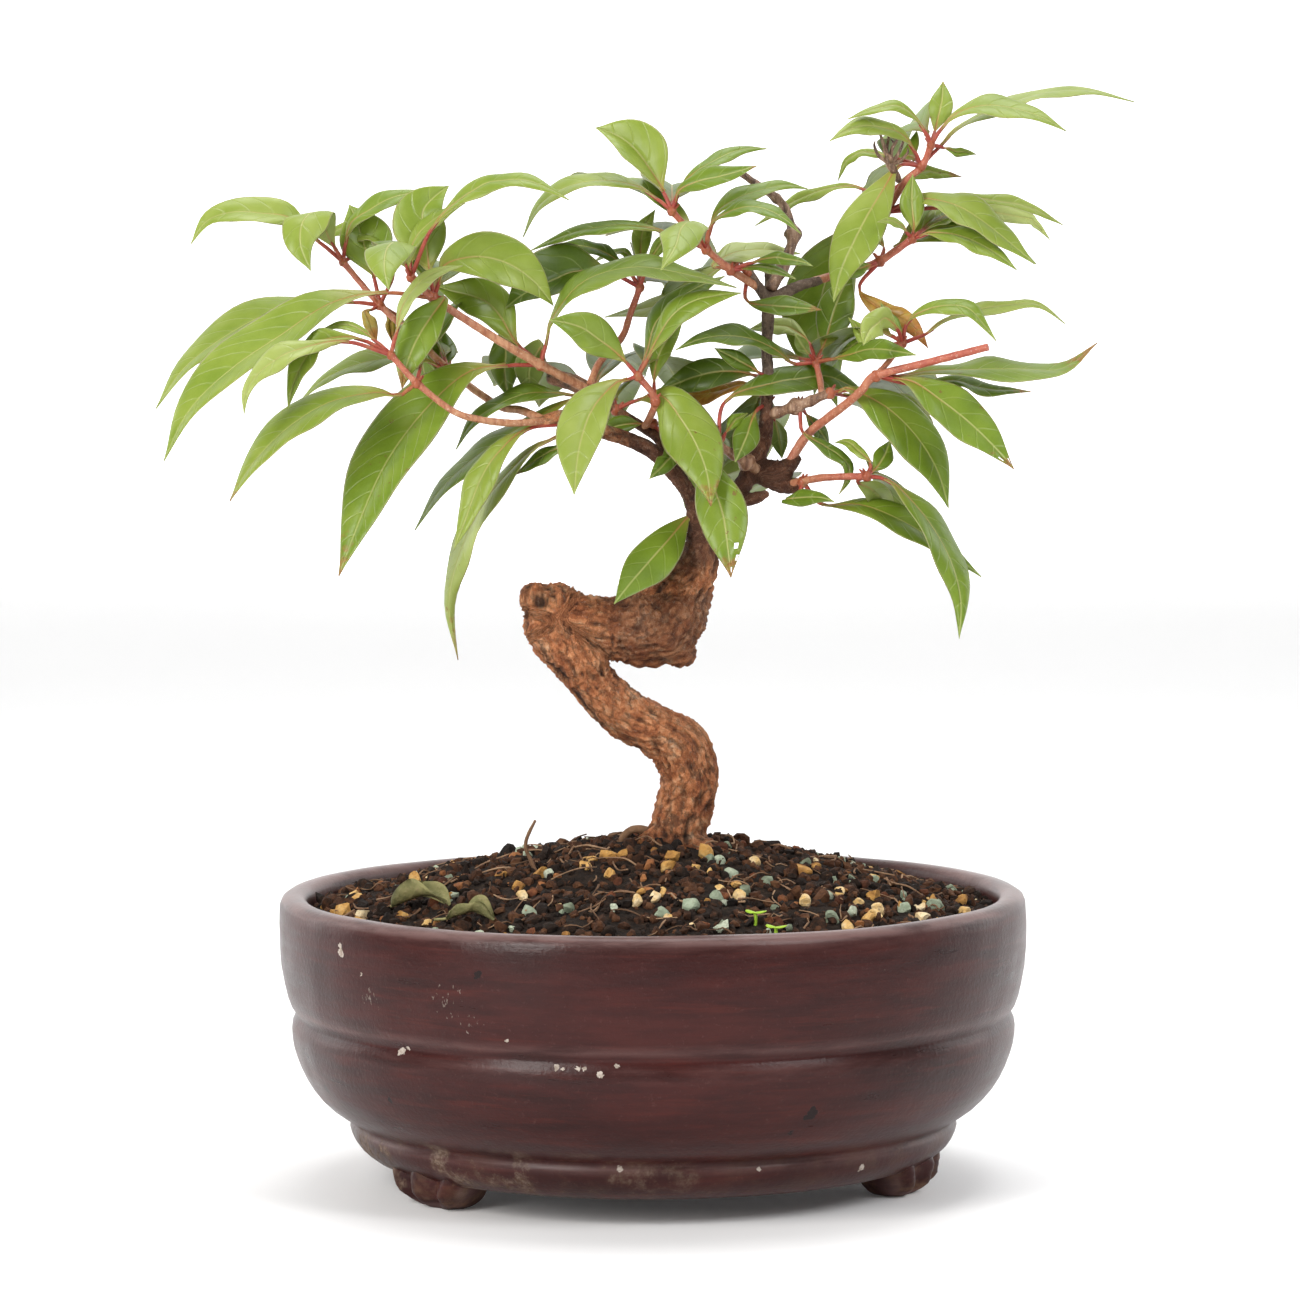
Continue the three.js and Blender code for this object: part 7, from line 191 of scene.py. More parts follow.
  ["bk12","leaves_crown_shoot_base",[[21.5,0,244.3],[17.9,4.7,247.6],[14.2,9.6,250.4],[7.8,18.2,253.7],[1.1,27.1,255.4],[-5.7,36.1,255.4],[-12.4,45,253.8]],[[7.1,4.2,1.7],[7.1,4.2,1.7],[7,4.4,1.8],[6.8,4.6,1.9],[6.6,4.8,1.9],[6.5,5,1.9],[6.4,5.2,1.9]],[[-6.1,-5.6,1.5],[-6.2,-5.6,1.5],[-6.3,-5.4,1.6],[-6.4,-5.3,1.6],[-6.5,-5.1,1.7],[-6.7,-4.9,1.7],[-6.8,-4.8,1.7]]],
  ["R11","leaves_top_fork",[[26.1,5,243.5],[25.7,2.3,236.1],[33.2,-1.1,234.7],[36.3,-2.5,234.5],[39.4,-4,234.2],[42.5,-5.5,234],[45.5,-7,233.7]],[[2.7,0,-0.1],[2.1,0,1.6],[0.7,0.1,2.6],[0.3,0,2.7],[0.2,0,2.7],[0.2,0,2.7],[0.2,0,2.7]],[[-2.2,0.8,0],[-2,-1.4,-1],[-0.9,-1.5,-2],[-0.6,-1.5,-2.1],[-0.6,-1.4,-2.1],[-0.6,-1.4,-2.1],[-0.6,-1.4,-2.1]]],
  ["DKa","leaves_top_fork",[[26.1,5,243.5],[23.2,7,246.9],[18.7,9.3,244.9],[11.3,13.9,240.1],[4.1,18.8,235.5],[-4.2,23.8,233.4],[-12.5,29,231.6]],[[-2.5,-5.6,-0.4],[-1.8,-5.2,-1.8],[-0.3,-5.5,-2.6],[-0.2,-5.3,-2.7],[-0.6,-5.2,-2.6],[-1,-5.2,-2.5],[-1.2,-5.2,-2.4]],[[2.5,5.6,0.4],[1.8,5.2,1.8],[0.3,5.5,2.6],[0.2,5.3,2.7],[0.6,5.2,2.6],[1,5.2,2.5],[1.2,5.2,2.4]]],
  ["bk13","leaves_top_fork",[[26.1,5,243.5],[22.9,9.8,245.5],[19.5,14.9,246.2],[13.9,23.2,244],[9.3,30.2,238.3],[6.2,34.8,229.7],[5.1,36.5,219.7]],[[6.2,2.3,4.5],[5.9,2.7,4.6],[5.1,3.9,4.7],[4.3,5.1,4.4],[3.5,6.4,3.3],[2.9,7.2,1.8],[2.8,7.4,0.9]],[[-6.8,-3.9,-1.5],[-6.7,-4.1,-1.6],[-6.4,-4.5,-1.6],[-6.2,-4.9,-1.5],[-5.9,-5.3,-1.1],[-5.7,-5.6,-0.6],[-5.6,-5.7,-0.3]]],
  ["F1","leaves_front_shoot_tip",[[-3.4,-10,216.4],[-6.7,-11.4,220.2],[-10.3,-13,223.6],[-14.1,-14.6,226.4],[-17.9,-16.3,229.1],[-22.2,-18.2,230.6],[-26.8,-20,231.4]],[[-3.1,-1.5,-3],[-2.9,-1.5,-3.2],[-2.5,-1.4,-3.5],[-2.2,-1.5,-3.7],[-1.6,-1.4,-4],[-0.8,-1.4,-4.2],[-0.5,-1.4,-4.3]],[[3.5,0,3],[3.3,0,3.2],[2.9,0,3.5],[2.6,0,3.7],[2,0,4.1],[1.2,0,4.4],[0.8,0,4.5]]],
  ["F2p","leaves_front_shoot_tip",[[-3.4,-10,216.4],[-2.1,-9.2,219.8],[-0.8,-8.5,223.2],[1.4,-6.6,230.4],[6.5,-4.6,235.9],[12.9,-2.4,239.9],[19.8,-0.3,242.7]],[[-2.7,3.8,0.5],[-2.7,3.7,0.5],[-2.7,3.8,0.4],[-2.6,4.2,0.8],[-2.3,4.2,1.6],[-1.9,4.2,2.1],[-1.7,4.2,2.2]],[[3.4,-2.6,-1],[3.4,-2.4,-1],[3.4,-2.8,-0.8],[3.3,-3.6,-1.3],[2.7,-3.6,-2.3],[2.2,-3.6,-2.8],[1.9,-3.6,-3]]],
  ["F2","leaves_front_shoot_tip",[[-3.4,-10,216.4],[-0.4,-10.5,221.8],[2.4,-11.1,227.2],[6.1,-11.8,232.6],[11.4,-12.6,236.1],[17.6,-13.4,237.5],[24,-14.1,238.3]],[[-2.3,3.3,1.5],[-2.3,3.3,1.5],[-2.2,3.3,1.6],[-1.7,3.3,2.1],[-0.9,3.3,2.6],[-0.3,3.3,2.7],[-0.1,3.3,2.7]],[[2.8,-2.8,-1.7],[2.8,-2.8,-1.7],[2.6,-2.8,-1.9],[2.1,-2.8,-2.5],[1.1,-2.8,-3],[0.4,-2.8,-3.2],[0.2,-2.8,-3.2]]],
  ["F3","leaves_front_shoot_tip",[[-3.4,-10,216.4],[-6.5,-11.4,215.4],[-9.5,-12.8,214.4],[-15,-17.2,208.5],[-18.1,-21.9,201.1],[-19.6,-26.9,193.5],[-20.2,-32,185.8]],[[2.4,-4.1,-4],[2.7,-4.3,-3.9],[3.9,-4.1,-2.7],[4.5,-3.9,-1.4],[4.6,-2.1,-0.7],[4.5,-0.3,-0.6],[4.5,0.6,-0.6]],[[-2.1,0,6.1],[-2.5,0.2,5.9],[-4.2,0.1,4.9],[-5.5,0,3.4],[-6.2,0,2],[-6.4,0,1],[-6.4,0,0.6]]],
  ["bk14","leaves_front_shoot_tip",[[-3.4,-10,216.4],[-1.9,-4.8,218.9],[-0.2,0.7,220.5],[2.6,10.2,220.6],[5.4,19.4,217.7],[7.7,27.2,212],[9.5,33,204.1]],[[8.3,-2.5,0.1],[8.3,-2.5,0.1],[8.4,-2.5,0.1],[8.4,-2.5,0.1],[8.4,-2.5,0.1],[8.4,-2.5,0.1],[8.4,-2.5,0]],[[-8.1,0.8,3.2],[-8,1.1,3.4],[-7.7,1.9,3.6],[-7.5,2.8,3.6],[-7.2,3.8,3.2],[-6.9,4.7,2.6],[-6.8,5,2.2]]],
  ["G4b","leaf_front_shoot_base",[[1.1,-6,209.6],[0.8,-4.1,214.5],[1.4,-1.9,219.1],[2.6,0,222.6],[4.5,2,225.8],[6.7,4,228.7],[8.9,6,231.5]],[[-2.4,0.4,-0.2],[-2.4,0.6,0],[-2.4,0.8,0.3],[-2.3,1.1,0.7],[-2.2,1.1,1],[-2.1,1.1,1.2],[-2.1,1.1,1.2]],[[2.4,0.6,0],[2.4,0.4,-0.2],[2.4,-0.2,-0.4],[2.3,-0.9,-0.8],[2.2,-1.1,-1],[2.1,-1.1,-1.2],[2.1,-1.1,-1.2]]],
  ["G1","leaf_grey_bough_front",[[-9.4,2,207.1],[-3.8,-0.7,209.7],[2.9,-4,210.9],[8.1,-8.2,204.6],[12.2,-12.7,197.6],[14.8,-17.3,190.2],[15.7,-22,182.3]],[[-2.2,2.4,6.1],[-0.8,2.6,6.4],[3.2,2.3,5.6],[5.6,2.2,3.3],[6.2,2.2,2.1],[6.4,1.7,1],[6.5,1.4,0.4]],[[2.9,0,-6.4],[1.6,-0.2,-6.8],[-2.8,0,-6.4],[-5.6,0.1,-4.2],[-6.4,0,-2.9],[-6.8,0.1,-1.7],[-6.9,0,-0.9]]],
  ["bk15","leaf_grey_bough_front",[[-9.4,2,207.1],[-9.7,7.1,209.6],[-10,12.5,211.3],[-10.5,22,211.8],[-11,31.2,209.5],[-11.5,39.3,204.5],[-11.8,45.5,197.4]],[[8.3,-1.4,3.7],[8.3,-1.1,3.8],[8.2,-0.1,4.1],[8.2,0.9,4.1],[8.1,2.1,3.8],[8.1,3.1,3.1],[8,3.6,2.7]],[[-9.2,-0.4,-0.3],[-9.2,-0.4,-0.3],[-9.2,-0.5,-0.3],[-9.2,-0.5,-0.3],[-9.2,-0.6,-0.3],[-9.2,-0.7,-0.2],[-9.2,-0.7,-0.2]]],
  ["G2","leaves_hanging_spur",[[17.8,-9,197.7],[16.2,-9.6,196.5],[14.6,-10.2,195.4],[16.6,-13.5,187.3],[19,-17.1,179.5],[20.1,-21,171.5],[20.9,-25,163.5]],[[3.5,0,-4.8],[4.1,-0.4,-3.7],[5.9,0,0.3],[5.7,0.1,1.5],[5.8,0,1.3],[5.9,0,0.8],[5.9,0,0.6]],[[-3.5,0,4.8],[-4.1,0.4,3.7],[-5.9,0,-0.3],[-5.7,-0.1,-1.5],[-5.8,0,-1.3],[-5.9,0,-0.8],[-5.9,0,-0.6]]],
  ["LR16","leaves_hanging_spur",[[17.8,-9,197.7],[20,-5.9,201.3],[22.4,-2.6,204.4],[23.3,-1.7,204.8],[24.2,-0.8,205.3],[25.1,0.1,205.7],[26,1,206.2]],[[-1.4,0,0.8],[-1.3,0,0.9],[-1.2,0,1.1],[-0.9,0.1,1.3],[-0.7,0,1.4],[-0.7,0,1.4],[-0.7,0,1.4]],[[1.4,0,-0.8],[1.3,0,-0.9],[1.2,0,-1.1],[0.9,-0.1,-1.3],[0.7,0,-1.4],[0.7,0,-1.4],[0.7,0,-1.4]]],
  ["R3","leaves_hanging_spur",[[17.8,-9,197.7],[19.9,-4.2,209.6],[33.2,1.4,214.1],[40.2,4.4,215.1],[47.2,7.4,215.7],[53.6,10.5,213],[59.6,13.6,209.3]],[[-3.5,2.2,0.1],[-3.2,3.3,1.7],[-1.9,3.5,3.1],[-1.2,3.3,3.4],[-0.3,3.3,3.6],[0.8,3.4,3.5],[1.2,3.3,3.4]],[[3.2,-0.3,-0.5],[3,-3.5,-1.5],[1.9,-3.7,-2.8],[1.2,-3.6,-3.1],[0.4,-3.5,-3.3],[-0.6,-3.6,-3.3],[-1,-3.5,-3.2]]],
  ["bk16","leaves_hanging_spur",[[17.8,-9,197.7],[16.6,-3.3,199.9],[15.5,2.7,200.9],[13.5,12.9,199.8],[11.7,22.1,195.5],[10.2,29.5,188.4],[9.3,34.2,179.2]],[[7.8,2.6,-2.9],[7.8,2.4,-3],[8,1.6,-3.1],[8.1,0.8,-3],[8.3,-0.2,-2.6],[8.5,-0.9,-1.9],[8.5,-1.2,-1.5]],[[-5.5,-3.3,5.9],[-5.7,-2.7,6],[-6,-1.2,6.3],[-6.3,0.4,6],[-6.6,2.3,5.2],[-6.9,3.7,3.8],[-7,4.3,2.9]]],
  ["G3","leaf_trunk_neck",[[13,0,181.1],[11,-1.4,179.4],[9,-2.8,177.7],[4.1,-7.7,172.2],[-0.8,-12.9,167],[-5.5,-18.4,161.9],[-9.9,-24,156.7]],[[3.9,-2,-3.8],[4,-2.1,-3.7],[4.4,-1.9,-3.2],[4.5,-1.9,-3.1],[4.5,-1.8,-3.1],[4.5,-1.8,-3],[4.6,-1.8,-2.9]],[[-3.8,2.9,3.2],[-3.8,2.9,3.1],[-4.2,2.7,2.7],[-4.2,2.7,2.5],[-4.3,2.6,2.5],[-4.3,2.5,2.4],[-4.4,2.5,2.4]]],
  ["G5","leaves_left_bough_front",[[0.5,0,203.3],[-2.6,-0.7,203.4],[-5.6,-1.4,203.4],[-8,-2.1,203.1],[-10.2,-2.8,202.5],[-12.2,-3.5,201.3],[-14.1,-4.2,199.9]],[[0.1,-1.1,-2.2],[0.1,-1.1,-2.2],[0.3,-1.1,-2.1],[0.6,-1.1,-2.1],[1,-1.1,-1.9],[1.3,-1,-1.7],[1.4,-1.1,-1.6]],[[0,0,2.4],[0,0,2.4],[-0.2,0,2.4],[-0.5,0,2.4],[-0.9,0,2.2],[-1.3,0,2],[-1.4,0,2]]],
  ["G4","leaves_left_bough_front",[[0.5,0,203.3],[4.1,-3.7,199.7],[5.5,-7.8,195.3],[4,-9.9,193.7],[2.5,-12,192.1],[0.9,-14.2,190.7],[-0.6,-16.3,189.2]],[[1.7,0,1.7],[2.1,0,1.2],[2.4,-0.1,0.1],[2,-0.2,-1.3],[1.7,0,-1.7],[1.7,0,-1.7],[1.7,0,-1.7]],[[-1.7,0,-1.7],[-2.1,0,-1.2],[-2.4,0.1,-0.1],[-2,0.2,1.3],[-1.7,0,1.7],[-1.7,0,1.7],[-1.7,0,1.7]]],
  ["CB1","leaves_upright_bough_top",[[31.4,4,215.4],[27.6,4.5,216.2],[23.9,5,217],[18,6,217.1],[12.2,7,215.8],[6.6,8.1,213.7],[1.1,9.2,211.4]],[[-0.9,-1.3,-3.7],[-0.8,-1.3,-3.7],[-0.4,-1.3,-3.7],[0.3,-1.3,-3.8],[0.9,-1.3,-3.7],[1.2,-1.3,-3.6],[1.3,-1.3,-3.5]],[[0.9,1.3,3.7],[0.8,1.3,3.7],[0.4,1.3,3.7],[-0.3,1.3,3.8],[-0.9,1.3,3.7],[-1.2,1.3,3.6],[-1.3,1.3,3.5]]],
  ["CB2","leaves_upright_bough_top",[[31.4,4,215.4],[27.8,6.1,213.5],[24,8.6,213.5],[18.2,12.8,211.7],[12.5,17.1,210.7],[6.7,21.6,210.2],[1,26.2,209.5]],[[0.1,-3.8,-2.4],[-0.5,-3.6,-2.4],[-0.8,-3.5,-2.3],[-0.8,-3.5,-2.4],[-0.9,-3.4,-2.3],[-1,-3.3,-2.3],[-1,-3.3,-2.3]],[[-0.1,3.8,2.4],[0.5,3.6,2.4],[0.8,3.5,2.3],[0.8,3.5,2.4],[0.9,3.4,2.3],[1,3.3,2.3],[1,3.3,2.3]]],
  ["U2","leaves_upright_bough_top",[[31.4,4,215.4],[29,2.5,216.9],[26.5,1.1,218.5],[24.1,-0.7,219.8],[21.6,-2.4,221.2],[19.2,-4.3,222.4],[16.8,-6.1,223.7]],[[-1.1,-0.3,-1.9],[-1.1,-0.3,-1.9],[-1,-0.3,-1.9],[-1,-0.3,-1.9],[-0.9,-0.3,-1.9],[-0.9,-0.3,-2],[-0.9,-0.3,-2]],[[1.1,0.3,1.9],[1.1,0.3,1.9],[1,0.3,1.9],[1,0.3,1.9],[0.9,0.3,1.9],[0.9,0.3,2],[0.9,0.3,2]]],
  ["bk17","leaves_upright_bough_top",[[31.4,4,215.4],[30.1,10.6,212.1],[28.9,17,208.5],[26.9,27.2,201.5],[25.1,36.7,193.5],[23.4,45.3,184.7],[21.9,53.1,175]],[[7.8,3,3],[7.8,3.1,3],[7.8,3.3,2.9],[7.7,3.5,2.7],[7.7,3.8,2.5],[7.6,4,2.3],[7.6,4.1,2.1]],[[-8.8,-1.5,0.4],[-8.8,-1.5,0.3],[-8.8,-1.5,0.3],[-8.8,-1.4,0.3],[-8.8,-1.4,0.3],[-8.8,-1.4,0.3],[-8.8,-1.4,0.3]]],
  ["U1","leaves_inner_right_shoot",[[44.3,6,219.6],[38.1,3.8,219.4],[33.2,1.1,223],[26.8,-2.2,225.9],[19.8,-5.7,226.8],[13,-9.4,225.9],[6.6,-13.1,223.3]],[[1,-4.5,-1.8],[0.5,-4.4,-2.1],[0.1,-4.4,-2.2],[0.6,-4.3,-2.1],[1.2,-4.2,-1.9],[1.6,-4.2,-1.5],[1.9,-4.2,-1.3]],[[-1,4.1,2.7],[-0.2,4,2.9],[0.3,4,2.9],[-0.3,3.9,2.9],[-1.1,3.9,2.7],[-1.7,3.8,2.3],[-2.1,3.8,2.1]]],
  ["T1a","leaves_inner_right_shoot",[[44.3,6,219.6],[45.7,7.2,222.6],[47.1,8.4,225.5],[48.5,10.6,230.4],[50.1,13,235.2],[52.2,15.5,239.8],[54.5,18,244.2]],[[-3.9,2.4,1.3],[-3.9,2.3,1.2],[-4,2.1,0.9],[-4,2,0.7],[-4,2.1,0.9],[-3.9,2.2,1.1],[-3.9,2.3,1.3]],[[4.4,0,-2],[4.4,0,-2],[4.6,0,-1.6],[4.6,0,-1.5],[4.5,0,-1.7],[4.4,0,-2],[4.3,0,-2.2]]],
  ["T1b","leaves_inner_right_shoot",[[44.3,6,219.6],[42.7,4.1,221.5],[41,2.2,223.5],[40.4,1.1,224.4],[39.7,0.1,225.4],[39.1,-1,226.3],[38.5,-2,227.3]],[[-1.2,0,-1.1],[-1.2,0,-1],[-1.3,0,-1],[-1.3,0,-0.9],[-1.4,0,-0.9],[-1.4,0,-0.9],[-1.4,0,-0.9]],[[1.2,0,1.1],[1.2,0,1],[1.3,0,1],[1.3,0,0.9],[1.4,0,0.9],[1.4,0,0.9],[1.4,0,0.9]]],
  ["R5","leaves_inner_right_shoot",[[44.3,6,219.6],[48.8,2.5,220.6],[53.2,-0.9,221.6],[57.5,-5,223],[61.7,-9.3,223.1],[65.9,-13.6,222.5],[70.1,-18,221.8]],[[0.4,2.5,2.6],[0.4,2.5,2.6],[0.3,2.4,2.6],[0.6,2.3,2.6],[1.1,2.2,2.4],[1.3,2.2,2.3],[1.3,2.2,2.2]],[[-0.4,-2.5,-2.6],[-0.4,-2.5,-2.6],[-0.3,-2.4,-2.6],[-0.6,-2.3,-2.6],[-1.1,-2.2,-2.4],[-1.3,-2.2,-2.3],[-1.3,-2.2,-2.2]]],
  ["S4b","leaves_inner_right_shoot",[[44.3,6,219.6],[42.3,11.3,225.2],[37.7,17.2,228.6],[34.8,20.3,229.2],[32,23.5,229.3],[29.3,26.8,228.7],[26.6,30,228]],[[-2.1,-0.9,-0.4],[-2,-1.3,-0.9],[-1.6,-1.3,-1.6],[-0.9,-1.3,-2],[-0.4,-1.2,-2.2],[-0.1,-1.2,-2.2],[0,-1.2,-2.2]],[[2.2,1.2,0.3],[2,1.3,0.9],[1.6,1.3,1.6],[0.9,1.3,2],[0.4,1.2,2.2],[0.1,1.2,2.2],[0,1.2,2.2]]],
  ["bk18","leaves_inner_right_shoot",[[44.3,6,219.6],[39.7,11.1,220.6],[35,16.3,221],[27.1,25,220.3],[19.4,33.5,217.9],[12.1,41.6,213.9],[5.2,49.2,208.3]],[[5.6,4.1,4.6],[5.4,4.3,4.7],[5.1,4.7,4.7],[4.7,5.1,4.6],[4.2,5.6,4.5],[3.8,6.1,4.3],[3.6,6.3,4.1]],[[-6.2,-5.4,-1.3],[-6.2,-5.4,-1.4],[-6.1,-5.5,-1.4],[-6,-5.7,-1.3],[-5.8,-5.8,-1.3],[-5.7,-5.9,-1.2],[-5.7,-6,-1.2]]],
  ["R2a","leaf_right_branch_end",[[47.8,-3,211.5],[50.4,-3.3,212.1],[53.1,-3.6,212.6],[62.6,-5,207.7],[70.3,-6.6,200.3],[75.9,-8.3,191.2],[79,-10.1,181]],[[-0.8,4.7,5.3],[-0.2,4.7,5.3],[2.3,4.7,4.9],[3.5,4.6,4.1],[4.5,4.6,3.1],[5.1,4.5,1.9],[5.3,3.7,1.2]],[[0.9,-4,-5.9],[0.3,-4.1,-5.8],[-2.4,-4,-5.4],[-3.8,-4,-4.6],[-4.8,-3.9,-3.4],[-5.5,-3.8,-2.2],[-5.7,-2,-1.6]]],
  ["bk19","leaf_right_branch_end",[[47.8,-3,211.5],[51.6,0.4,210.9],[55.3,3.8,209.9],[61.4,9.4,207.2],[67.1,14.5,203.3],[72.3,19.3,198.3],[76.9,23.5,192.4]],[[5.4,-5.4,3.6],[5.5,-5.3,3.6],[5.9,-5,3.5],[6.2,-4.7,3.4],[6.5,-4.4,3.1],[6.9,-4.1,2.8],[7,-3.9,2.6]],[[-5.7,6.2,-0.1],[-5.7,6.2,-0.1],[-5.7,6.2,-0.1],[-5.7,6.2,-0.1],[-5.7,6.2,-0.1],[-5.7,6.2,-0.1],[-5.8,6.2,-0.1]]],
  ["R1a","leaves_right_shoot",[[59.7,-11,216.2],[64.9,-12.3,215.4],[69.9,-14,214.4],[76.9,-17,209.5],[83.6,-20.2,204.2],[89.6,-23.5,198.3],[95.2,-27,192]],[[1.2,2.5,5.3],[1.5,2.6,5.2],[2.8,2.5,4.6],[3.6,2.4,4.1],[4,2.4,3.7],[4.2,2.4,3.4],[4.4,2.4,3.2]],[[-1.2,-3.4,-4.7],[-1.6,-3.4,-4.6],[-2.7,-3.3,-4.1],[-3.4,-3.3,-3.5],[-3.7,-3.2,-3.2],[-4,-3.2,-2.8],[-4.1,-3.2,-2.7]]],
  ["Q1","leaves_right_shoot",[[59.7,-11,216.2],[66.9,-10.3,216.2],[74.1,-9.5,217.4],[85.9,-8,217.7],[97.7,-6.4,217.8],[109.5,-4.7,217.8],[119,-3,224.6]],[[-0.4,7.5,2.4],[-0.7,7.4,2.4],[-0.7,7.4,2.4],[-0.6,7.4,2.4],[-0.7,7.4,2.4],[-1.4,7.4,2.1],[-1.9,7.4,1.6]],[[0.4,-7.5,-2.4],[0.7,-7.4,-2.4],[0.7,-7.4,-2.4],[0.6,-7.4,-2.4],[0.7,-7.4,-2.4],[1.4,-7.4,-2.1],[1.9,-7.4,-1.6]]],
  ["Q2","leaves_right_shoot",[[59.7,-11,216.2],[70,-6.3,213.8],[80.7,-1.1,214.6],[86.1,1.9,213.1],[91.5,4.9,212],[97,7.9,211.7],[102.4,11,211.3]],[[-0.5,3.5,1.8],[-0.7,3.4,1.7],[-0.8,3.3,1.7],[-0.6,3.3,1.8],[-0.8,3.3,1.7],[-0.9,3.3,1.7],[-0.9,3.3,1.7]],[[0.5,-3.5,-1.8],[0.7,-3.4,-1.7],[0.8,-3.3,-1.7],[0.6,-3.3,-1.8],[0.8,-3.3,-1.7],[0.9,-3.3,-1.7],[0.9,-3.3,-1.7]]],
  ["bk20","leaves_right_shoot",[[59.7,-11,216.2],[61.6,-4.2,215.7],[63.5,2.6,214.9],[66.6,13.8,212.7],[69.6,24.8,209.4],[72.5,35.4,205],[75.4,45.6,199.7]],[[7.7,-1.9,4.1],[7.7,-1.8,4.1],[7.8,-1.5,4.1],[7.9,-1.2,4],[8,-0.8,3.9],[8.1,-0.5,3.8],[8.1,-0.3,3.7]],[[-8.6,2.4,-0.4],[-8.6,2.3,-0.4],[-8.6,2.3,-0.4],[-8.6,2.3,-0.4],[-8.6,2.2,-0.4],[-8.6,2.2,-0.4],[-8.6,2.2,-0.4]]],
  ["S1a","leaves_right_side_shoot",[[67,-7,224.8],[68.1,-8.5,230.4],[72.7,-10.3,233.3],[78.3,-12.4,234.7],[83.7,-14.5,234],[87.6,-16.7,229.9],[91,-19,225.5]],[[-2,2.3,0.8],[-1.4,3.2,1.7],[-0.3,3.1,2.2],[0.6,3.1,2.2],[1.6,3.1,1.6],[2,3,0.9],[2.1,3.1,0.8]],[[1.8,-0.7,-0.5],[1.2,-3.3,-1.6],[0.2,-3.3,-2],[-0.6,-3.3,-1.9],[-1.5,-3.2,-1.4],[-1.9,-3.2,-0.7],[-1.9,-3.2,-0.6]]],
  ["S2","leaves_right_side_shoot",[[67,-7,224.8],[73,-6,227.2],[78.3,-4.9,230.6],[86.6,-3.1,233.3],[95.3,-1.2,234.7],[103.9,0.7,234.5],[110.9,2.7,229.7]],[[-0.7,2.6,1.2],[-0.8,2.6,1.1],[-0.8,2.6,1.1],[-0.6,2.6,1.2],[-0.4,2.6,1.3],[0.1,2.6,1.4],[0.5,2.6,1.3]],[[0.7,-2.6,-1.2],[0.8,-2.6,-1.1],[0.8,-2.6,-1.1],[0.6,-2.6,-1.2],[0.4,-2.6,-1.3],[-0.1,-2.6,-1.4],[-0.5,-2.6,-1.3]]],
  ["S4","leaves_right_side_shoot",[[67,-7,224.8],[65.2,-10.3,228.9],[62,-13.8,231.6],[59.9,-16.1,230.2],[57.9,-18.5,228.7],[56.7,-20.9,226.7],[55.8,-23.3,224.5]],[[-3,0,-1.3],[-2.5,0,-2],[-0.9,0.1,-3.1],[1.6,0.1,-2.8],[2.5,0,-2.1],[2.9,0,-1.5],[3,0,-1.1]],[[3,0,1.3],[2.5,0,2],[0.9,-0.1,3.1],[-1.6,-0.1,2.8],[-2.5,0,2.1],[-2.9,0,1.5],[-3,0,1.1]]],
  ["S5","leaves_right_side_shoot",[[67,-7,224.8],[62.1,-4,224.3],[57.5,-0.7,225.3],[56.5,0.7,227],[55.4,2.2,228.7],[54.2,3.8,230.2],[52.9,5.3,231.6]],[[0.2,0,-1.9],[-0.1,0,-1.9],[-0.7,0,-1.7],[-1.4,0.1,-1.2],[-1.5,0,-1.1],[-1.4,0,-1.2],[-1.4,0,-1.3]],[[-0.2,0,1.9],[0.1,0,1.9],[0.7,0,1.7],[1.4,-0.1,1.2],[1.5,0,1.1],[1.4,0,1.2],[1.4,0,1.3]]],
  ["S6","leaves_right_side_shoot",[[67,-7,224.8],[61.4,-0.2,223.1],[56.7,7,224.9],[55.1,9.6,224.1],[53.6,12.2,223.2],[52.1,14.8,222.3],[50.6,17.4,221.3]],[[0.1,-0.9,-1.7],[-0.3,-0.8,-1.6],[-0.5,-0.7,-1.5],[0.1,-0.9,-1.7],[0.5,-0.8,-1.6],[0.5,-0.8,-1.6],[0.5,-0.8,-1.6]],[[-0.1,0.9,1.7],[0.3,0.8,1.6],[0.5,0.7,1.5],[-0.1,0.9,1.7],[-0.5,0.8,1.6],[-0.5,0.8,1.6],[-0.5,0.8,1.6]]],
  ["S7","leaves_right_side_shoot",[[67,-7,224.8],[66.7,-5.9,226.3],[66.4,-4.7,227.7],[64.9,-2.5,229.6],[63.5,-0.2,231.5],[62.5,2.1,233.5],[61.6,4.5,235.5]],[[-1.6,-0.4,-0.3],[-1.6,-0.6,-0.2],[-1.6,-1,-0.4],[-1.6,-1,-0.6],[-1.6,-1,-0.5],[-1.6,-0.9,-0.4],[-1.6,-0.8,-0.3]],[[1.6,0.8,0.1],[1.6,0.9,0.1],[1.6,1,0.4],[1.6,1,0.6],[1.6,1,0.5],[1.6,0.9,0.4],[1.6,0.9,0.3]]],
  ["bk21","leaves_right_side_shoot",[[67,-7,224.8],[64.1,-3.3,226.8],[61,0.6,227.8],[55.6,7.3,227.2],[50.7,13.4,223.8],[46.8,18.3,218],[44.3,21.5,210.5]],[[6.5,4,2.2],[6.4,4.2,2.3],[6,4.7,2.4],[5.6,5.2,2.3],[5.1,5.8,2],[4.8,6.2,1.5],[4.6,6.4,1.1]],[[-5.9,-5.2,0.9],[-6,-5.2,1],[-6.2,-5,1],[-6.3,-4.8,1],[-6.5,-4.5,0.9],[-6.7,-4.3,0.6],[-6.8,-4.2,0.5]]],
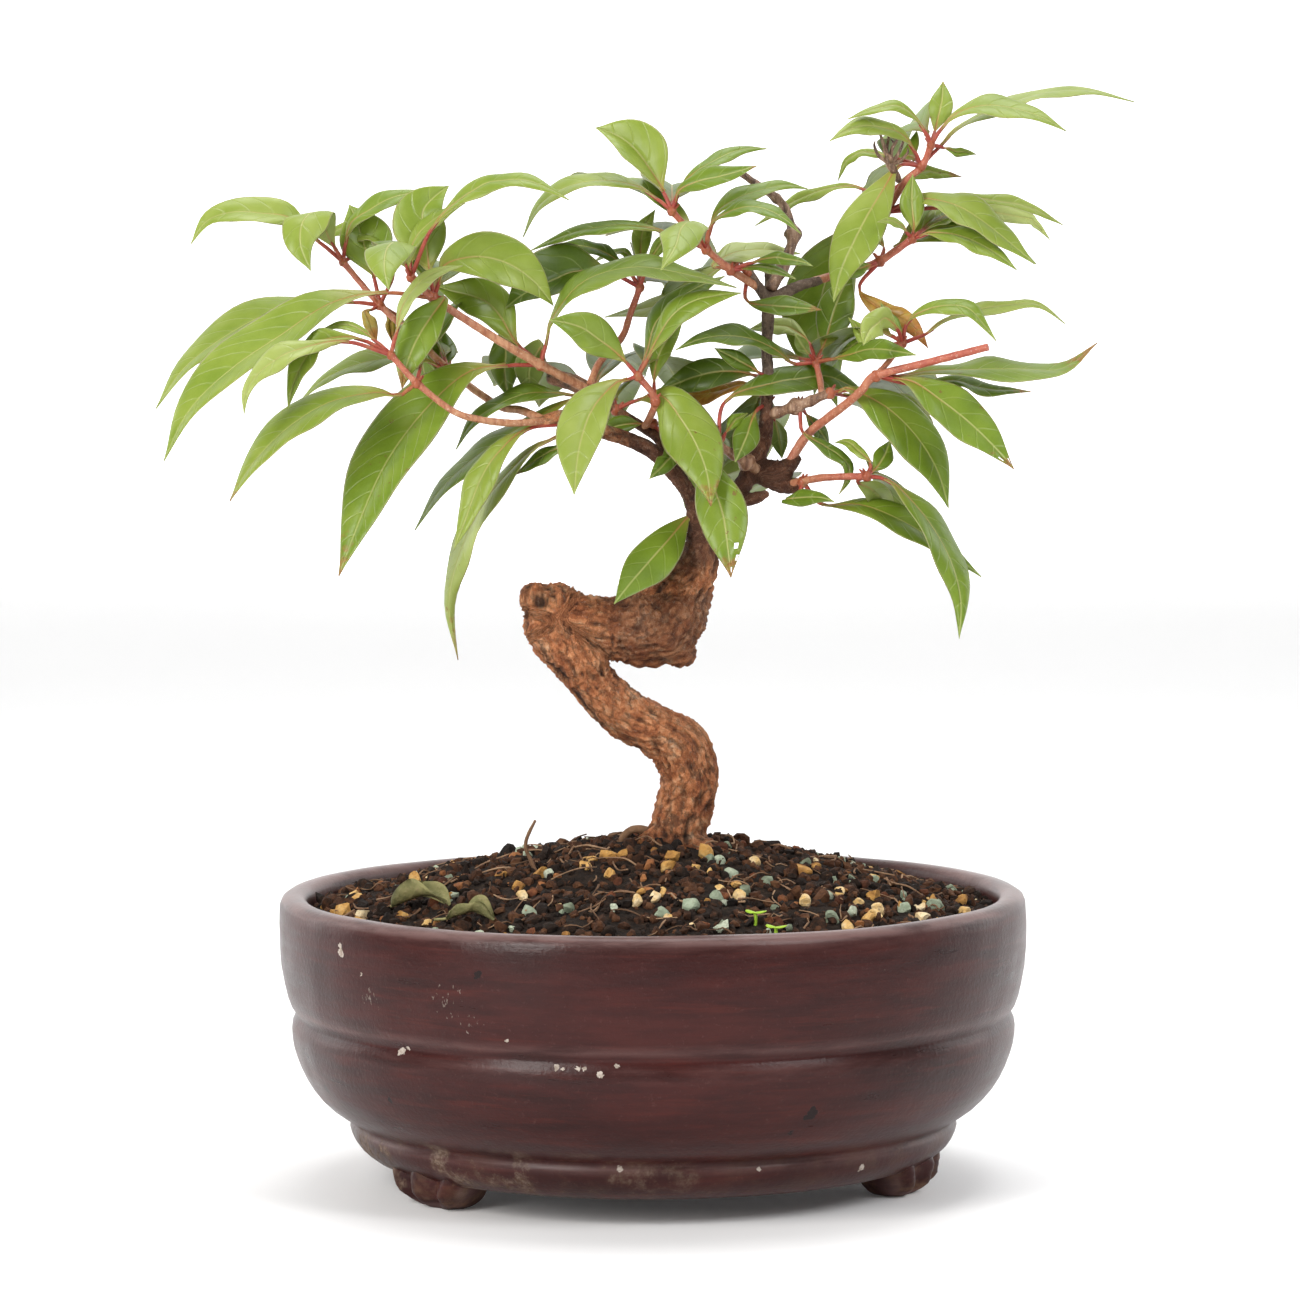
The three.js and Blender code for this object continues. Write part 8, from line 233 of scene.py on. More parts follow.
  ["R10","leaves_upper_right_node",[[61.7,10,246.6],[55.9,7.7,239.1],[62.8,4.7,233],[66.4,3.4,231.4],[69.7,2.1,229.4],[72.1,0.7,226.4],[74.2,-0.7,223.1]],[[2.2,-0.3,-1.6],[2.7,0.2,0.1],[1.8,0.4,1.9],[1.4,0.4,2.3],[1.8,0.3,2],[2.2,0.3,1.6],[2.3,0.3,1.4]],[[-2.2,0.3,1.6],[-2.7,0.1,-0.2],[-1.8,-0.4,-1.9],[-1.4,-0.4,-2.3],[-1.8,-0.3,-2],[-2.2,-0.3,-1.6],[-2.3,-0.3,-1.4]]],
  ["R12","leaves_upper_right_node",[[61.7,10,246.6],[59.2,8.4,245.7],[56.7,6.7,244.8],[54.9,5.4,244.4],[53.2,4.1,244],[51.4,2.7,243.5],[49.7,1.3,243.1]],[[0.8,0,-2],[0.8,0,-2],[0.6,0,-2.1],[0.5,0,-2.1],[0.5,0,-2.1],[0.6,0,-2.1],[0.6,0,-2.1]],[[-0.8,0,2],[-0.8,0,2],[-0.6,0,2.1],[-0.5,0,2.1],[-0.5,0,2.1],[-0.6,0,2.1],[-0.6,0,2.1]]],
  ["Z5","leaves_upper_right_node",[[61.7,10,246.6],[62.9,13.3,250.1],[61.2,17,252.8],[59.4,19.2,253.2],[57.8,21.5,252.6],[56.3,23.7,251.7],[54.8,26,250.7]],[[-1.6,0.6,0.3],[-1.6,0,-0.2],[-1.3,-0.7,-1],[-0.3,-0.7,-1.6],[0.4,-0.7,-1.6],[0.6,-0.6,-1.5],[0.6,-0.6,-1.5]],[[1.6,-0.4,-0.4],[1.6,0.4,0],[1.3,0.7,1],[0.3,0.7,1.6],[-0.4,0.7,1.6],[-0.6,0.6,1.5],[-0.6,0.6,1.5]]],
  ["bk22","leaves_upper_right_node",[[61.7,10,246.6],[66.5,14.3,250.4],[71.6,19,253.3],[80.6,27.2,255.8],[89.8,35.6,255.3],[98.7,43.6,251.8],[106.7,50.9,245.6]],[[6.6,-4.2,-3.4],[6.4,-4.4,-3.5],[5.9,-4.9,-3.8],[5.3,-5.4,-3.9],[4.6,-6,-3.9],[3.9,-6.6,-3.6],[3.6,-6.9,-3.4]],[[-6,1.5,5.8],[-5.7,1.8,6],[-4.8,2.6,6.5],[-3.9,3.5,6.7],[-2.7,4.6,6.6],[-1.6,5.6,6.2],[-1,6.1,5.8]]],
  ["Y","leaves_upper_right_tip",[[70.2,8,252.5],[72.6,7.3,253.3],[74.9,6.5,254],[81.4,4.1,253.5],[87.3,1.5,251.3],[92.6,-1.2,248],[97.5,-4,244.1]],[[-0.3,3.5,2.7],[-0.2,3.5,2.8],[0.7,3.4,2.7],[1.3,3.4,2.5],[1.8,3.3,2.1],[2.2,3.3,1.8],[2.3,3.3,1.6]],[[0.2,-3.6,-2.5],[0.1,-3.7,-2.5],[-0.7,-3.6,-2.4],[-1.3,-3.5,-2.2],[-1.8,-3.5,-1.8],[-2,-3.4,-1.5],[-2.2,-3.4,-1.4]]],
  ["Z1","leaves_upper_right_tip",[[70.2,8,252.5],[70.5,8.2,254.3],[70.7,8.4,256.2],[70.4,8.9,259.6],[70.2,9.4,263],[70.3,9.9,266.4],[70.5,10.4,269.8]],[[-2.9,0,0.4],[-2.9,0,0.4],[-3,0,0],[-3,0,-0.2],[-3,0,-0.1],[-3,0,0.1],[-3,0,0.2]],[[2.9,0,-0.4],[2.9,0,-0.4],[3,0,0],[3,0,0.2],[3,0,0.1],[3,0,-0.1],[3,0,-0.2]]],
  ["Z2","leaves_upper_right_tip",[[70.2,8,252.5],[68.8,6.3,254.2],[67.3,4.6,255.9],[65.7,3,256.7],[63.9,1.4,257.3],[62.1,-0.3,257.2],[60.4,-2,257]],[[-0.6,-0.9,-0.9],[-0.6,-1,-1],[-0.4,-0.9,-1.1],[-0.1,-0.9,-1.1],[0.2,-0.9,-1.1],[0.4,-0.9,-1],[0.5,-0.9,-1]],[[0.6,0.9,0.9],[0.6,1,1],[0.4,0.9,1.1],[0.1,0.9,1.1],[-0.2,0.9,1.1],[-0.4,0.9,1],[-0.5,0.9,1]]],
  ["Z3","leaves_upper_right_tip",[[70.2,8,252.5],[72.8,11.7,254.8],[75.4,15.4,257.1],[77.7,18.5,258.1],[80.1,21.6,259],[82.4,24.8,259.8],[84.8,28,260.4]],[[-1.8,1.1,1.3],[-1.8,1.1,1.3],[-1.6,1,1.5],[-1.4,1,1.8],[-1.2,1,1.9],[-1.1,1,1.9],[-1,1,2]],[[1.8,-1.1,-1.3],[1.8,-1.1,-1.3],[1.6,-1,-1.5],[1.4,-1,-1.8],[1.2,-1,-1.9],[1.1,-1,-1.9],[1,-1,-2]]],
  ["bk23","leaves_upper_right_tip",[[70.2,8,252.5],[74.2,12.8,255.6],[78.4,17.8,258.1],[85.7,26.5,260.7],[93.2,35.4,261.3],[100.6,44.3,259.9],[107.8,52.9,256.6]],[[6.2,-5.3,0.1],[6.2,-5.3,0.1],[6.2,-5.2,0.1],[6.2,-5.2,0.1],[6.2,-5.2,0.2],[6.2,-5.2,0.1],[6.2,-5.2,0.1]],[[-6.6,3.7,2.9],[-6.5,3.8,3],[-6.3,4.1,3.1],[-6,4.4,3.2],[-5.6,4.9,3.3],[-5.3,5.3,3.2],[-5.1,5.5,3.1]]],
  ["X","leaves_top_right_low",[[63.5,14,259.8],[68.5,12.6,262.1],[73.8,10.8,263.2],[82.1,7.8,261.3],[89.4,4.6,256.7],[96,1.3,251.2],[102.4,-2.2,245.6]],[[-1.1,4.4,3.9],[-0.4,4.4,4.1],[1.1,4.3,4],[2.3,4.2,3.4],[3,4.1,2.8],[3.3,4.1,2.5],[3.4,4.1,2.4]],[[0.8,-4.8,-3.5],[0.2,-4.8,-3.6],[-1.2,-4.7,-3.4],[-2.2,-4.6,-2.9],[-2.8,-4.5,-2.3],[-3,-4.5,-2],[-3.1,-4.5,-1.9]]],
  ["X2","leaves_top_right_low",[[63.5,14,259.8],[79.5,17.4,263.9],[96.1,21.5,262.2],[100.3,22.6,261.5],[104.5,23.7,260.2],[108.3,24.9,258.2],[112.1,26,256.2]],[[-0.7,2.2,1.8],[-0.4,2.2,1.9],[-0.1,2.2,1.9],[0.1,2.2,1.9],[0.4,2.2,1.9],[0.6,2.2,1.8],[0.6,2.2,1.8]],[[0.7,-2.2,-1.8],[0.4,-2.2,-1.9],[0.1,-2.2,-1.9],[-0.1,-2.2,-1.9],[-0.4,-2.2,-1.9],[-0.6,-2.2,-1.8],[-0.6,-2.2,-1.8]]],
  ["X3","leaves_top_right_low",[[63.5,14,259.8],[82.4,15.4,260.9],[101.2,17.1,258.1],[103.3,17.3,257],[105.1,17.5,255.5],[106.7,17.8,253.7],[108.3,18,251.8]],[[-0.1,0,1.9],[0.1,0,1.9],[0.3,0,1.9],[0.9,0,1.6],[1.3,0,1.4],[1.4,0,1.2],[1.4,0,1.2]],[[0.1,0,-1.9],[-0.1,0,-1.9],[-0.3,0,-1.9],[-0.9,0,-1.6],[-1.3,0,-1.4],[-1.4,0,-1.2],[-1.4,0,-1.2]]],
  ["V1p","leaves_top_right_low",[[63.5,14,259.8],[67.1,17.7,267.4],[74.4,22,270.6],[77,23.5,270.4],[79.6,25,270.1],[82.2,26.5,269.8],[84.8,28,269.3]],[[-1.6,1,0.5],[-1.4,1,0.9],[-0.9,1,1.4],[-0.3,1,1.6],[-0.1,1,1.6],[0,1,1.6],[0,1,1.6]],[[1.6,-0.9,-0.5],[1.4,-1,-0.9],[0.9,-1,-1.4],[0.3,-1,-1.6],[0.1,-1,-1.6],[0,-1,-1.6],[0,-1,-1.6]]],
  ["V2d","leaves_top_right_low",[[63.5,14,259.8],[57.5,17.2,266.2],[48.7,21.1,266.1],[43.2,23.7,264.5],[38.1,26.4,262.1],[33.3,29.2,259.2],[28.6,32,256.3]],[[-1.3,-2.4,-0.6],[-1.1,-2.4,-1],[-0.5,-2.4,-1.4],[-0.1,-2.4,-1.5],[0.1,-2.3,-1.5],[0.2,-2.3,-1.5],[0.2,-2.3,-1.5]],[[1.3,2.4,0.6],[1.1,2.4,1],[0.5,2.4,1.4],[0.1,2.4,1.5],[-0.1,2.3,1.5],[-0.2,2.3,1.5],[-0.2,2.3,1.5]]],
  ["bk24","leaves_top_right_low",[[63.5,14,259.8],[58.4,18.6,256.9],[53.9,22.7,252.5],[48.3,27.8,242.7],[45.7,30.1,230.7],[46.6,29.4,218.3],[50.7,25.6,207.2]],[[6.9,6.2,-2.2],[7,6,-2.1],[7.4,5.6,-1.7],[7.7,5.3,-1.1],[7.9,5.2,-0.2],[9.2,1.5,1.6],[8.9,1.8,2.7]],[[-6.7,-3.8,5.5],[-7.1,-3.4,5.2],[-8.1,-2.5,4.2],[-8.9,-1.8,2.7],[-9.3,-1.4,0.6],[-7.9,-5.2,-0.7],[-7.7,-5.3,-1.1]]],
  ["W","leaves_top_right_middle",[[72.9,14,272.1],[67,12,272.2],[63,9.7,266.4],[58.4,6.5,259.1],[54.4,3.1,251.6],[50.8,-0.5,243.8],[48.7,-4.2,235.8]],[[0.4,-2.7,-5.4],[3.2,-2.7,-4.4],[4.7,-2.6,-2.6],[5,-2.6,-2.2],[5.1,-2.3,-1.8],[5.2,-1.6,-1.5],[5.3,-0.9,-1.2]],[[-0.4,2.7,5.4],[-3.2,2.7,4.4],[-4.7,2.6,2.6],[-5,2.6,2.2],[-5.1,2.5,1.8],[-5.3,2.2,1.3],[-5.3,1.9,0.9]]],
  ["V2a","leaves_top_right_middle",[[72.9,14,272.1],[70.6,12,276.9],[67.1,9.8,280.6],[62.1,7.3,282.1],[57,4.8,282.5],[52.2,2.1,281],[47.8,-0.6,278.5]],[[-1.7,-2.5,-1.4],[-1.4,-2.9,-1.8],[-0.5,-2.8,-2.2],[0.3,-2.7,-2.2],[1,-2.7,-2.1],[1.5,-2.7,-1.7],[1.7,-2.7,-1.5]],[[2,2.6,1.5],[1.6,2.7,1.9],[0.7,2.6,2.4],[-0.2,2.6,2.5],[-1,2.5,2.3],[-1.6,2.5,1.9],[-1.8,2.5,1.7]]],
  ["V2e","leaves_top_right_middle",[[72.9,14,272.1],[78.1,14.8,277.5],[83.5,15.7,282.5],[94.8,17.5,287.9],[106.7,19.4,291.7],[119,21.3,292.1],[131.2,23.4,289.3]],[[-1.3,7.5,0.6],[-1.3,7.4,0.6],[-1.2,7.4,0.8],[-1.1,7.4,1],[-0.9,7.4,1.2],[-0.6,7.4,1.4],[-0.4,7.4,1.5]],[[1.5,-7.5,-0.8],[1.5,-7.4,-0.8],[1.4,-7.4,-1.1],[1.2,-7.4,-1.3],[0.9,-7.4,-1.5],[0.6,-7.4,-1.7],[0.3,-7.4,-1.7]]],
  ["V2c","leaves_top_right_middle",[[72.9,14,272.1],[65.5,17,274.4],[58.1,20.4,275.8],[55.4,21.7,275],[53.2,23.2,273.4],[52,24.6,270.9],[51,26,268.3]],[[-0.6,-1.6,-0.9],[-0.6,-1.6,-1],[-0.5,-1.6,-1.1],[0,-1.6,-1.2],[0.5,-1.5,-1],[0.8,-1.6,-0.9],[0.9,-1.1,-0.7]],[[0.6,1.6,0.9],[0.6,1.6,1],[0.5,1.6,1.1],[0,1.6,1.2],[-0.5,1.5,1],[-0.8,1.6,0.9],[-0.9,1.4,0.8]]],
  ["bk25","leaves_top_right_middle",[[72.9,14,272.1],[71.7,19,274],[70.3,24.2,274.9],[68.1,33,274.3],[66.1,41.3,271],[64.3,48.2,265.2],[63.1,53.1,257.6]],[[6.2,-1.1,7],[6,-0.5,7.2],[5.6,1.2,7.5],[5.2,3,7.3],[4.6,5,6.5],[4.2,6.7,5],[4,7.4,4.2]],[[-8.4,-0.6,-4.1],[-8.4,-0.9,-4.2],[-8.1,-1.9,-4.4],[-7.8,-3,-4.3],[-7.5,-4.2,-3.8],[-7.3,-5.2,-3],[-7.2,-5.6,-2.4]]],
  ["V3a","leaves_top_right_tip",[[75.5,12,277.7],[73.4,10.8,282],[70.3,9.3,285.6],[66.2,7.8,287.9],[61.6,6.2,287.3],[57.1,4.5,286],[52.8,2.8,284.4]],[[-1.1,-2.3,-0.9],[-0.9,-2.5,-1.1],[-0.5,-2.5,-1.3],[0.2,-2.5,-1.4],[0.7,-2.4,-1.2],[0.9,-2.5,-1.1],[1,-2.4,-1.1]],[[1.1,2.4,0.9],[0.9,2.5,1.1],[0.5,2.5,1.3],[-0.2,2.5,1.4],[-0.7,2.4,1.2],[-0.9,2.5,1.1],[-1,2.4,1.1]]],
  ["V3b","leaves_top_right_tip",[[75.5,12,277.7],[76.6,14.3,281.3],[77.6,16.5,285],[78.3,18.3,287.5],[78.9,20.2,290.1],[79.2,22.1,292.6],[79.4,24,295.2]],[[-2.9,0,0.8],[-2.9,0,0.8],[-2.9,0,0.8],[-2.9,0,0.7],[-2.9,0,0.4],[-3,0,0.2],[-3,0,0.1]],[[2.9,0,-0.8],[2.9,0,-0.8],[2.9,0,-0.8],[2.9,0,-0.7],[2.9,0,-0.4],[3,0,-0.2],[3,0,-0.1]]],
  ["V3c","leaves_top_right_tip",[[75.5,12,277.7],[78.5,11,282.4],[82.6,9.8,286.1],[89.9,8,288],[97.3,6.1,287.1],[104.4,4.1,284.7],[111,2,281]],[[-2,4.3,1.8],[-1.7,4.3,2.2],[-0.6,4.2,2.7],[0.4,4.2,2.7],[1.2,4.2,2.5],[1.7,4.2,2.2],[1.9,4.2,2]],[[1.8,-4.4,-1.7],[1.5,-4.4,-2],[0.5,-4.4,-2.5],[-0.5,-4.4,-2.5],[-1.2,-4.3,-2.2],[-1.6,-4.3,-1.9],[-1.8,-4.3,-1.8]]],
  ["V2f","leaves_top_right_tip",[[75.5,12,277.7],[79,13.6,277],[82.2,15.5,275.8],[83.7,16.4,275.8],[85.2,17.4,275.7],[86.7,18.3,275.5],[88.2,19.2,275.2]],[[0.1,0.4,1.1],[0.2,0.4,1.1],[0.1,0.4,1.1],[0,0.4,1.1],[0,0.4,1.1],[0,0.4,1.1],[0.1,0.4,1.1]],[[-0.1,-0.4,-1.1],[-0.2,-0.4,-1.1],[-0.1,-0.4,-1.1],[0,-0.4,-1.1],[0,-0.4,-1.1],[0,-0.4,-1.1],[-0.1,-0.4,-1.1]]],
  ["bk26","leaves_top_right_tip",[[75.5,12,277.7],[74.7,17,280.9],[73.8,22.6,283.1],[72.3,32.5,284.4],[70.7,42.3,282.6],[69.3,51,277.8],[68.2,57.9,270.5]],[[5.9,-2.9,5.9],[5.8,-2.3,6.3],[5.6,-0.7,6.8],[5.3,1,7],[5,3.2,6.6],[4.7,5.1,5.6],[4.5,5.9,4.9]],[[-8.1,0.9,-3.5],[-8,0.6,-3.7],[-7.9,-0.3,-4],[-7.7,-1.3,-4.1],[-7.5,-2.6,-3.9],[-7.3,-3.7,-3.3],[-7.3,-4.2,-2.8]]],
  ["LR1","leaves_lower_right_tip",[[57.2,-13,189.7],[58.3,-10.8,192.9],[56.1,-8.3,195.2],[54.6,-6.6,196.6],[53.1,-4.8,198],[51.2,-2.9,198.5],[49.1,-1.1,198.2]],[[-1.4,0.8,0.2],[-1.3,-0.2,-0.2],[-1.3,-1,-0.6],[-1.1,-0.9,-0.8],[-0.9,-0.8,-1],[-0.5,-0.9,-1.3],[-0.2,-0.9,-1.4]],[[1.3,-0.5,-0.3],[1.4,0.6,0],[1.3,1,0.6],[1.1,0.9,0.8],[0.9,0.8,1],[0.5,0.9,1.3],[0.2,0.9,1.4]]],
  ["LR2","leaves_lower_right_tip",[[57.2,-13,189.7],[58.5,-11.9,190.8],[59.7,-10.7,191.8],[61,-8.9,193.4],[62.2,-7,195.2],[63,-5,197.1],[63.8,-3,198.9]],[[-1.6,0,1.8],[-1.6,0.1,1.8],[-1.8,0,1.6],[-2,0,1.3],[-2.2,0,1.1],[-2.2,0,0.9],[-2.3,0,0.8]],[[1.6,0,-1.8],[1.6,-0.1,-1.8],[1.8,0,-1.6],[2,0,-1.3],[2.2,0,-1.1],[2.2,0,-0.9],[2.3,0,-0.8]]],
  ["LR4","leaves_lower_right_tip",[[57.2,-13,189.7],[62.5,-13.7,188.8],[66.7,-14.6,185.5],[73.6,-16.5,177.3],[78.8,-18.6,168],[81.5,-20.7,157.7],[81.1,-23,147]],[[1.1,6.1,3.6],[2.1,6.1,3.2],[3.1,6,2.2],[3.5,6,1.6],[3.7,5.4,0.8],[3.8,3.7,0],[3.8,2.1,-0.4]],[[-1.1,-6.2,-3.4],[-2,-6.2,-2.9],[-3,-6.2,-2],[-3.3,-6.2,-1.4],[-3.4,-4.5,-0.8],[-3.5,-0.1,-0.4],[-3.5,3,-0.2]]],
  ["LR6","leaves_lower_right_tip",[[57.2,-13,189.7],[54.6,-9,188.1],[58.3,-5.1,186.2],[60.4,-1.9,184.3],[62.3,1.2,182.2],[64,4.5,180],[65.7,7.7,177.9]],[[1.4,-0.1,-2.6],[2.9,-0.1,0.4],[1.9,-0.1,2.3],[2,0,2.2],[2.3,0,1.9],[2.3,0,1.8],[2.4,0,1.8]],[[-1.4,0.1,2.6],[-2.9,0.1,-0.4],[-1.9,0.1,-2.3],[-2,0,-2.2],[-2.3,0,-1.9],[-2.3,0,-1.8],[-2.4,0,-1.8]]],
  ["bk27","leaves_lower_right_tip",[[57.2,-13,189.7],[58.4,-8.7,190.6],[59.5,-4.4,190.6],[61.4,2.7,189.1],[63.2,9.2,185.6],[64.6,14.4,180.4],[65.5,18.1,173.9]],[[8.5,-1.5,-4.1],[8.4,-1.8,-4.2],[8.2,-2.7,-4.2],[7.9,-3.6,-4],[7.7,-4.6,-3.4],[7.5,-5.4,-2.6],[7.4,-5.7,-2.1]],[[-6.2,0.3,7.3],[-6,0.9,7.4],[-5.6,2.4,7.4],[-5.2,4,7],[-4.7,5.8,6],[-4.3,7.2,4.6],[-4.2,7.8,3.7]]],
  ["LR5","leaves_lower_right_base",[[40.6,0,187.7],[45.8,-1.7,181.8],[55.7,-3.7,181.6],[64.5,-5.9,178.5],[72.7,-8.1,174],[80.3,-10.4,168.5],[87.6,-12.8,162.8]],[[2.9,5.3,1.6],[1.9,5.3,2.7],[1.4,5.4,3],[2,5.3,2.7],[2.4,5.3,2.3],[2.6,5.3,2.1],[2.6,5.3,2.1]],[[-2.7,-5.5,-1.4],[-1.8,-5.5,-2.4],[-1.3,-5.5,-2.8],[-1.9,-5.4,-2.4],[-2.2,-5.4,-2.1],[-2.4,-5.4,-1.9],[-2.5,-5.4,-1.8]]],
  ["LR8","leaves_lower_right_base",[[40.6,0,187.7],[39,-2.7,183.9],[35.6,-5.7,183.1],[39,-8.7,183.7],[42.3,-11.7,184],[45.5,-14.8,183.9],[48.5,-18,183.1]],[[1.9,-1.4,-0.3],[1.9,-1.8,-0.7],[1.7,0.9,0.7],[0.5,1.7,2],[0.7,1.7,1.9],[1,1.6,1.8],[1.2,1.6,1.6]],[[-2,1.7,0.2],[-1.9,1.8,0.7],[-1.7,-0.8,-0.8],[-0.5,-1.7,-2],[-0.7,-1.7,-1.9],[-1,-1.6,-1.8],[-1.2,-1.6,-1.6]]],
  ["bk28","leaves_lower_right_base",[[40.6,0,187.7],[38.5,4.3,188.3],[36.3,8.7,188.4],[32.7,16,187.8],[29.1,23.2,186],[25.7,30,183.1],[22.5,36.4,179.2]],[[8.5,4,1.4],[8.4,4.1,1.4],[8.4,4.2,1.4],[8.3,4.4,1.4],[8.2,4.5,1.4],[8.1,4.7,1.3],[8.1,4.8,1.3]],[[-8,-4.3,2.6],[-8.1,-4.2,2.6],[-8.2,-4,2.6],[-8.3,-3.7,2.6],[-8.5,-3.4,2.5],[-8.7,-3.1,2.4],[-8.7,-2.9,2.3]]],
  ["LR11","leaves_right_branch_base",[[39.8,0,208.3],[40.6,-1.5,201.1],[46.4,-3.3,197.1],[49.8,-4.4,195],[52.4,-5.6,192],[52.2,-6.7,188.1],[50,-7.9,184.7]],[[1.6,1.3,0],[1.6,2.2,0.5],[1.2,2.2,1.1],[1.4,2.2,1],[1.6,1.8,0.2],[1.6,-0.5,-0.3],[1.6,-2.1,-0.6]],[[-1.6,0.2,-0.2],[-1.6,-2.2,-0.5],[-1.2,-2.2,-1.1],[-1.4,-2.2,-1],[-1.6,-1.1,-0.3],[-1.6,1.5,0.2],[-1.6,2.1,0.6]]],
  ["LR12","leaves_right_branch_base",[[39.8,0,208.3],[41.5,2.5,205.9],[43.2,5.1,203.6],[44.6,7.3,202],[45.9,9.5,200.3],[47.1,11.7,198.6],[48.1,14,196.8]],[[1.4,0.5,1.3],[1.4,0.5,1.3],[1.4,0.5,1.3],[1.3,0.5,1.3],[1.4,0.5,1.3],[1.5,0.5,1.2],[1.5,0.5,1.1]],[[-1.4,-0.5,-1.3],[-1.4,-0.5,-1.3],[-1.4,-0.5,-1.3],[-1.3,-0.5,-1.3],[-1.4,-0.5,-1.3],[-1.5,-0.5,-1.2],[-1.5,-0.5,-1.1]]],
  ["bk29","leaves_right_branch_base",[[39.8,0,208.3],[38,5.2,208],[36.2,10.4,206.9],[33.3,18.5,203.6],[30.7,25.8,198.4],[28.6,31.7,191.6],[27,36.1,183.6]],[[6.5,2.6,4.8],[6.4,2.9,4.8],[6.1,3.7,4.6],[5.8,4.4,4.2],[5.5,5.3,3.6],[5.3,6,2.9],[5.2,6.2,2.4]],[[-7.8,-2.9,-1.4],[-7.8,-3,-1.4],[-7.7,-3.2,-1.4],[-7.6,-3.4,-1.3],[-7.5,-3.7,-1.1],[-7.5,-3.9,-0.9],[-7.4,-4,-0.7]]],
  ["LR15","leaves_upright_bough_middle",[[31.1,4,208.5],[28.1,1.1,206.7],[26.4,-2.1,203],[25.6,-4.5,200.5],[24.5,-7,198.1],[23.4,-9.5,195.8],[22.2,-12,193.5]],[[1.7,0,-2.7],[2.5,0,-2.1],[2.9,0,-1.3],[3,0,-1.2],[3,0,-1.3],[2.9,0,-1.4],[2.9,0,-1.4]],[[-1.7,0,2.7],[-2.5,0,2.1],[-2.9,0,1.3],[-3,0,1.2],[-3,0,1.3],[-2.9,0,1.4],[-2.9,0,1.4]]],
  ["LR14","leaves_upright_bough_middle",[[31.1,4,208.5],[33,7.2,204.6],[34.2,10.7,200.7],[34.5,12.5,198.8],[34.9,14.3,196.9],[35.2,16.1,195],[35.5,18,193.2]],[[1.9,0,0.9],[2,0,0.8],[2.1,0,0.6],[2.1,0,0.4],[2.1,0,0.3],[2.1,0,0.3],[2.1,0,0.3]],[[-1.9,0,-0.9],[-2,0,-0.8],[-2.1,0,-0.6],[-2.1,0,-0.4],[-2.1,0,-0.3],[-2.1,0,-0.3],[-2.1,0,-0.3]]]
]

# ================================================================ helpers
def mm(p):
    return (np.asarray(p, float) + SHIFT) * 0.001

def crom(A, n):
    """n even points on a smooth line through the rows of A (any columns)."""
    A = np.asarray(A, float)
    if len(A) == 2:
        return np.stack([np.interp(np.linspace(0, 1, n), [0, 1], A[:, k]) for k in range(A.shape[1])], -1)
    P = np.vstack([2 * A[0] - A[1], A, 2 * A[-1] - A[-2]])
    out = []
    for i in range(1, len(P) - 2):
        for t in np.linspace(0, 1, 12, endpoint=False):
            p0, p1, p2, p3 = P[i - 1:i + 3]
            out.append(0.5 * ((2 * p1) + (-p0 + p2) * t + (2 * p0 - 5 * p1 + 4 * p2 - p3) * t * t + (-p0 + 3 * p1 - 3 * p2 + p3) * t ** 3))
    out.append(A[-1])
    Q = np.array(out)
    d = np.r_[0, np.cumsum(np.linalg.norm(np.diff(Q[:, :3], axis=0), axis=1))]
    t = np.linspace(0, d[-1], n)
    return np.stack([np.interp(t, d, Q[:, k]) for k in range(Q.shape[1])], -1)

def frames(P):
    T = np.gradient(P, axis=0); T /= np.linalg.norm(T, axis=1)[:, None] + 1e-12
    n = np.array([0, 1.0, 0]) if abs(T[0][1]) < 0.9 else np.array([1.0, 0, 0])
    N = []
    for t in T:
        n = n - t * (n @ t); n /= np.linalg.norm(n) + 1e-12; N.append(n)
    N = np.array(N)
    return T, N, np.cross(T, N)

class Build:
    """Collects vertices, faces, per-corner maps and per-vertex values of one piece."""
    def __init__(self):
        self.v = []; self.f = []; self.uv = []; self.a = []; self.n = 0
    def add(self, V, F, UV=None, A=None):
        V = np.asarray(V, float)
        self.v.append(V)
        for f in F: self.f.append(tuple(int(i) + self.n for i in f))
        self.uv.append(np.zeros((len(V), 2)) if UV is None else np.asarray(UV, float))
        K = np.zeros((len(V), 8))
        if A is not None: A = np.asarray(A, float); K[:, :A.shape[1]] = A
        self.a.append(K)
        self.n += len(V)
    def done(self, name, mat, slot, *nodes, smooth=True):
        V = np.vstack(self.v); me = bpy.data.meshes.new(name)
        me.from_pydata(mm(V).tolist(), [], self.f)
        me.validate(); me.update()
        UV = np.vstack(self.uv); A = np.vstack(self.a)
        lay = me.uv_layers.new(name="along")
        idx = np.zeros(len(me.loops), dtype=np.int32); me.loops.foreach_get("vertex_index", idx)
        lay.data.foreach_set("uv", UV[idx].astype(np.float32).ravel())
        at = me.attributes.new("look", 'FLOAT_COLOR', 'POINT')
        at.data.foreach_set("color", np.ascontiguousarray(A[:, :4], np.float32).ravel())
        if A[:, 4:].any():
            at = me.attributes.new("look2", 'FLOAT_COLOR', 'POINT')
            at.data.foreach_set("color", np.ascontiguousarray(A[:, 4:], np.float32).ravel())
        if smooth: me.polygons.foreach_set("use_smooth", [True] * len(me.polygons))
        me.materials.append(mat)
        o = bpy.data.objects.new(name, me); bpy.context.scene.collection.objects.link(o)
        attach(o, "root")
        if nodes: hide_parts(*nodes)
        return o

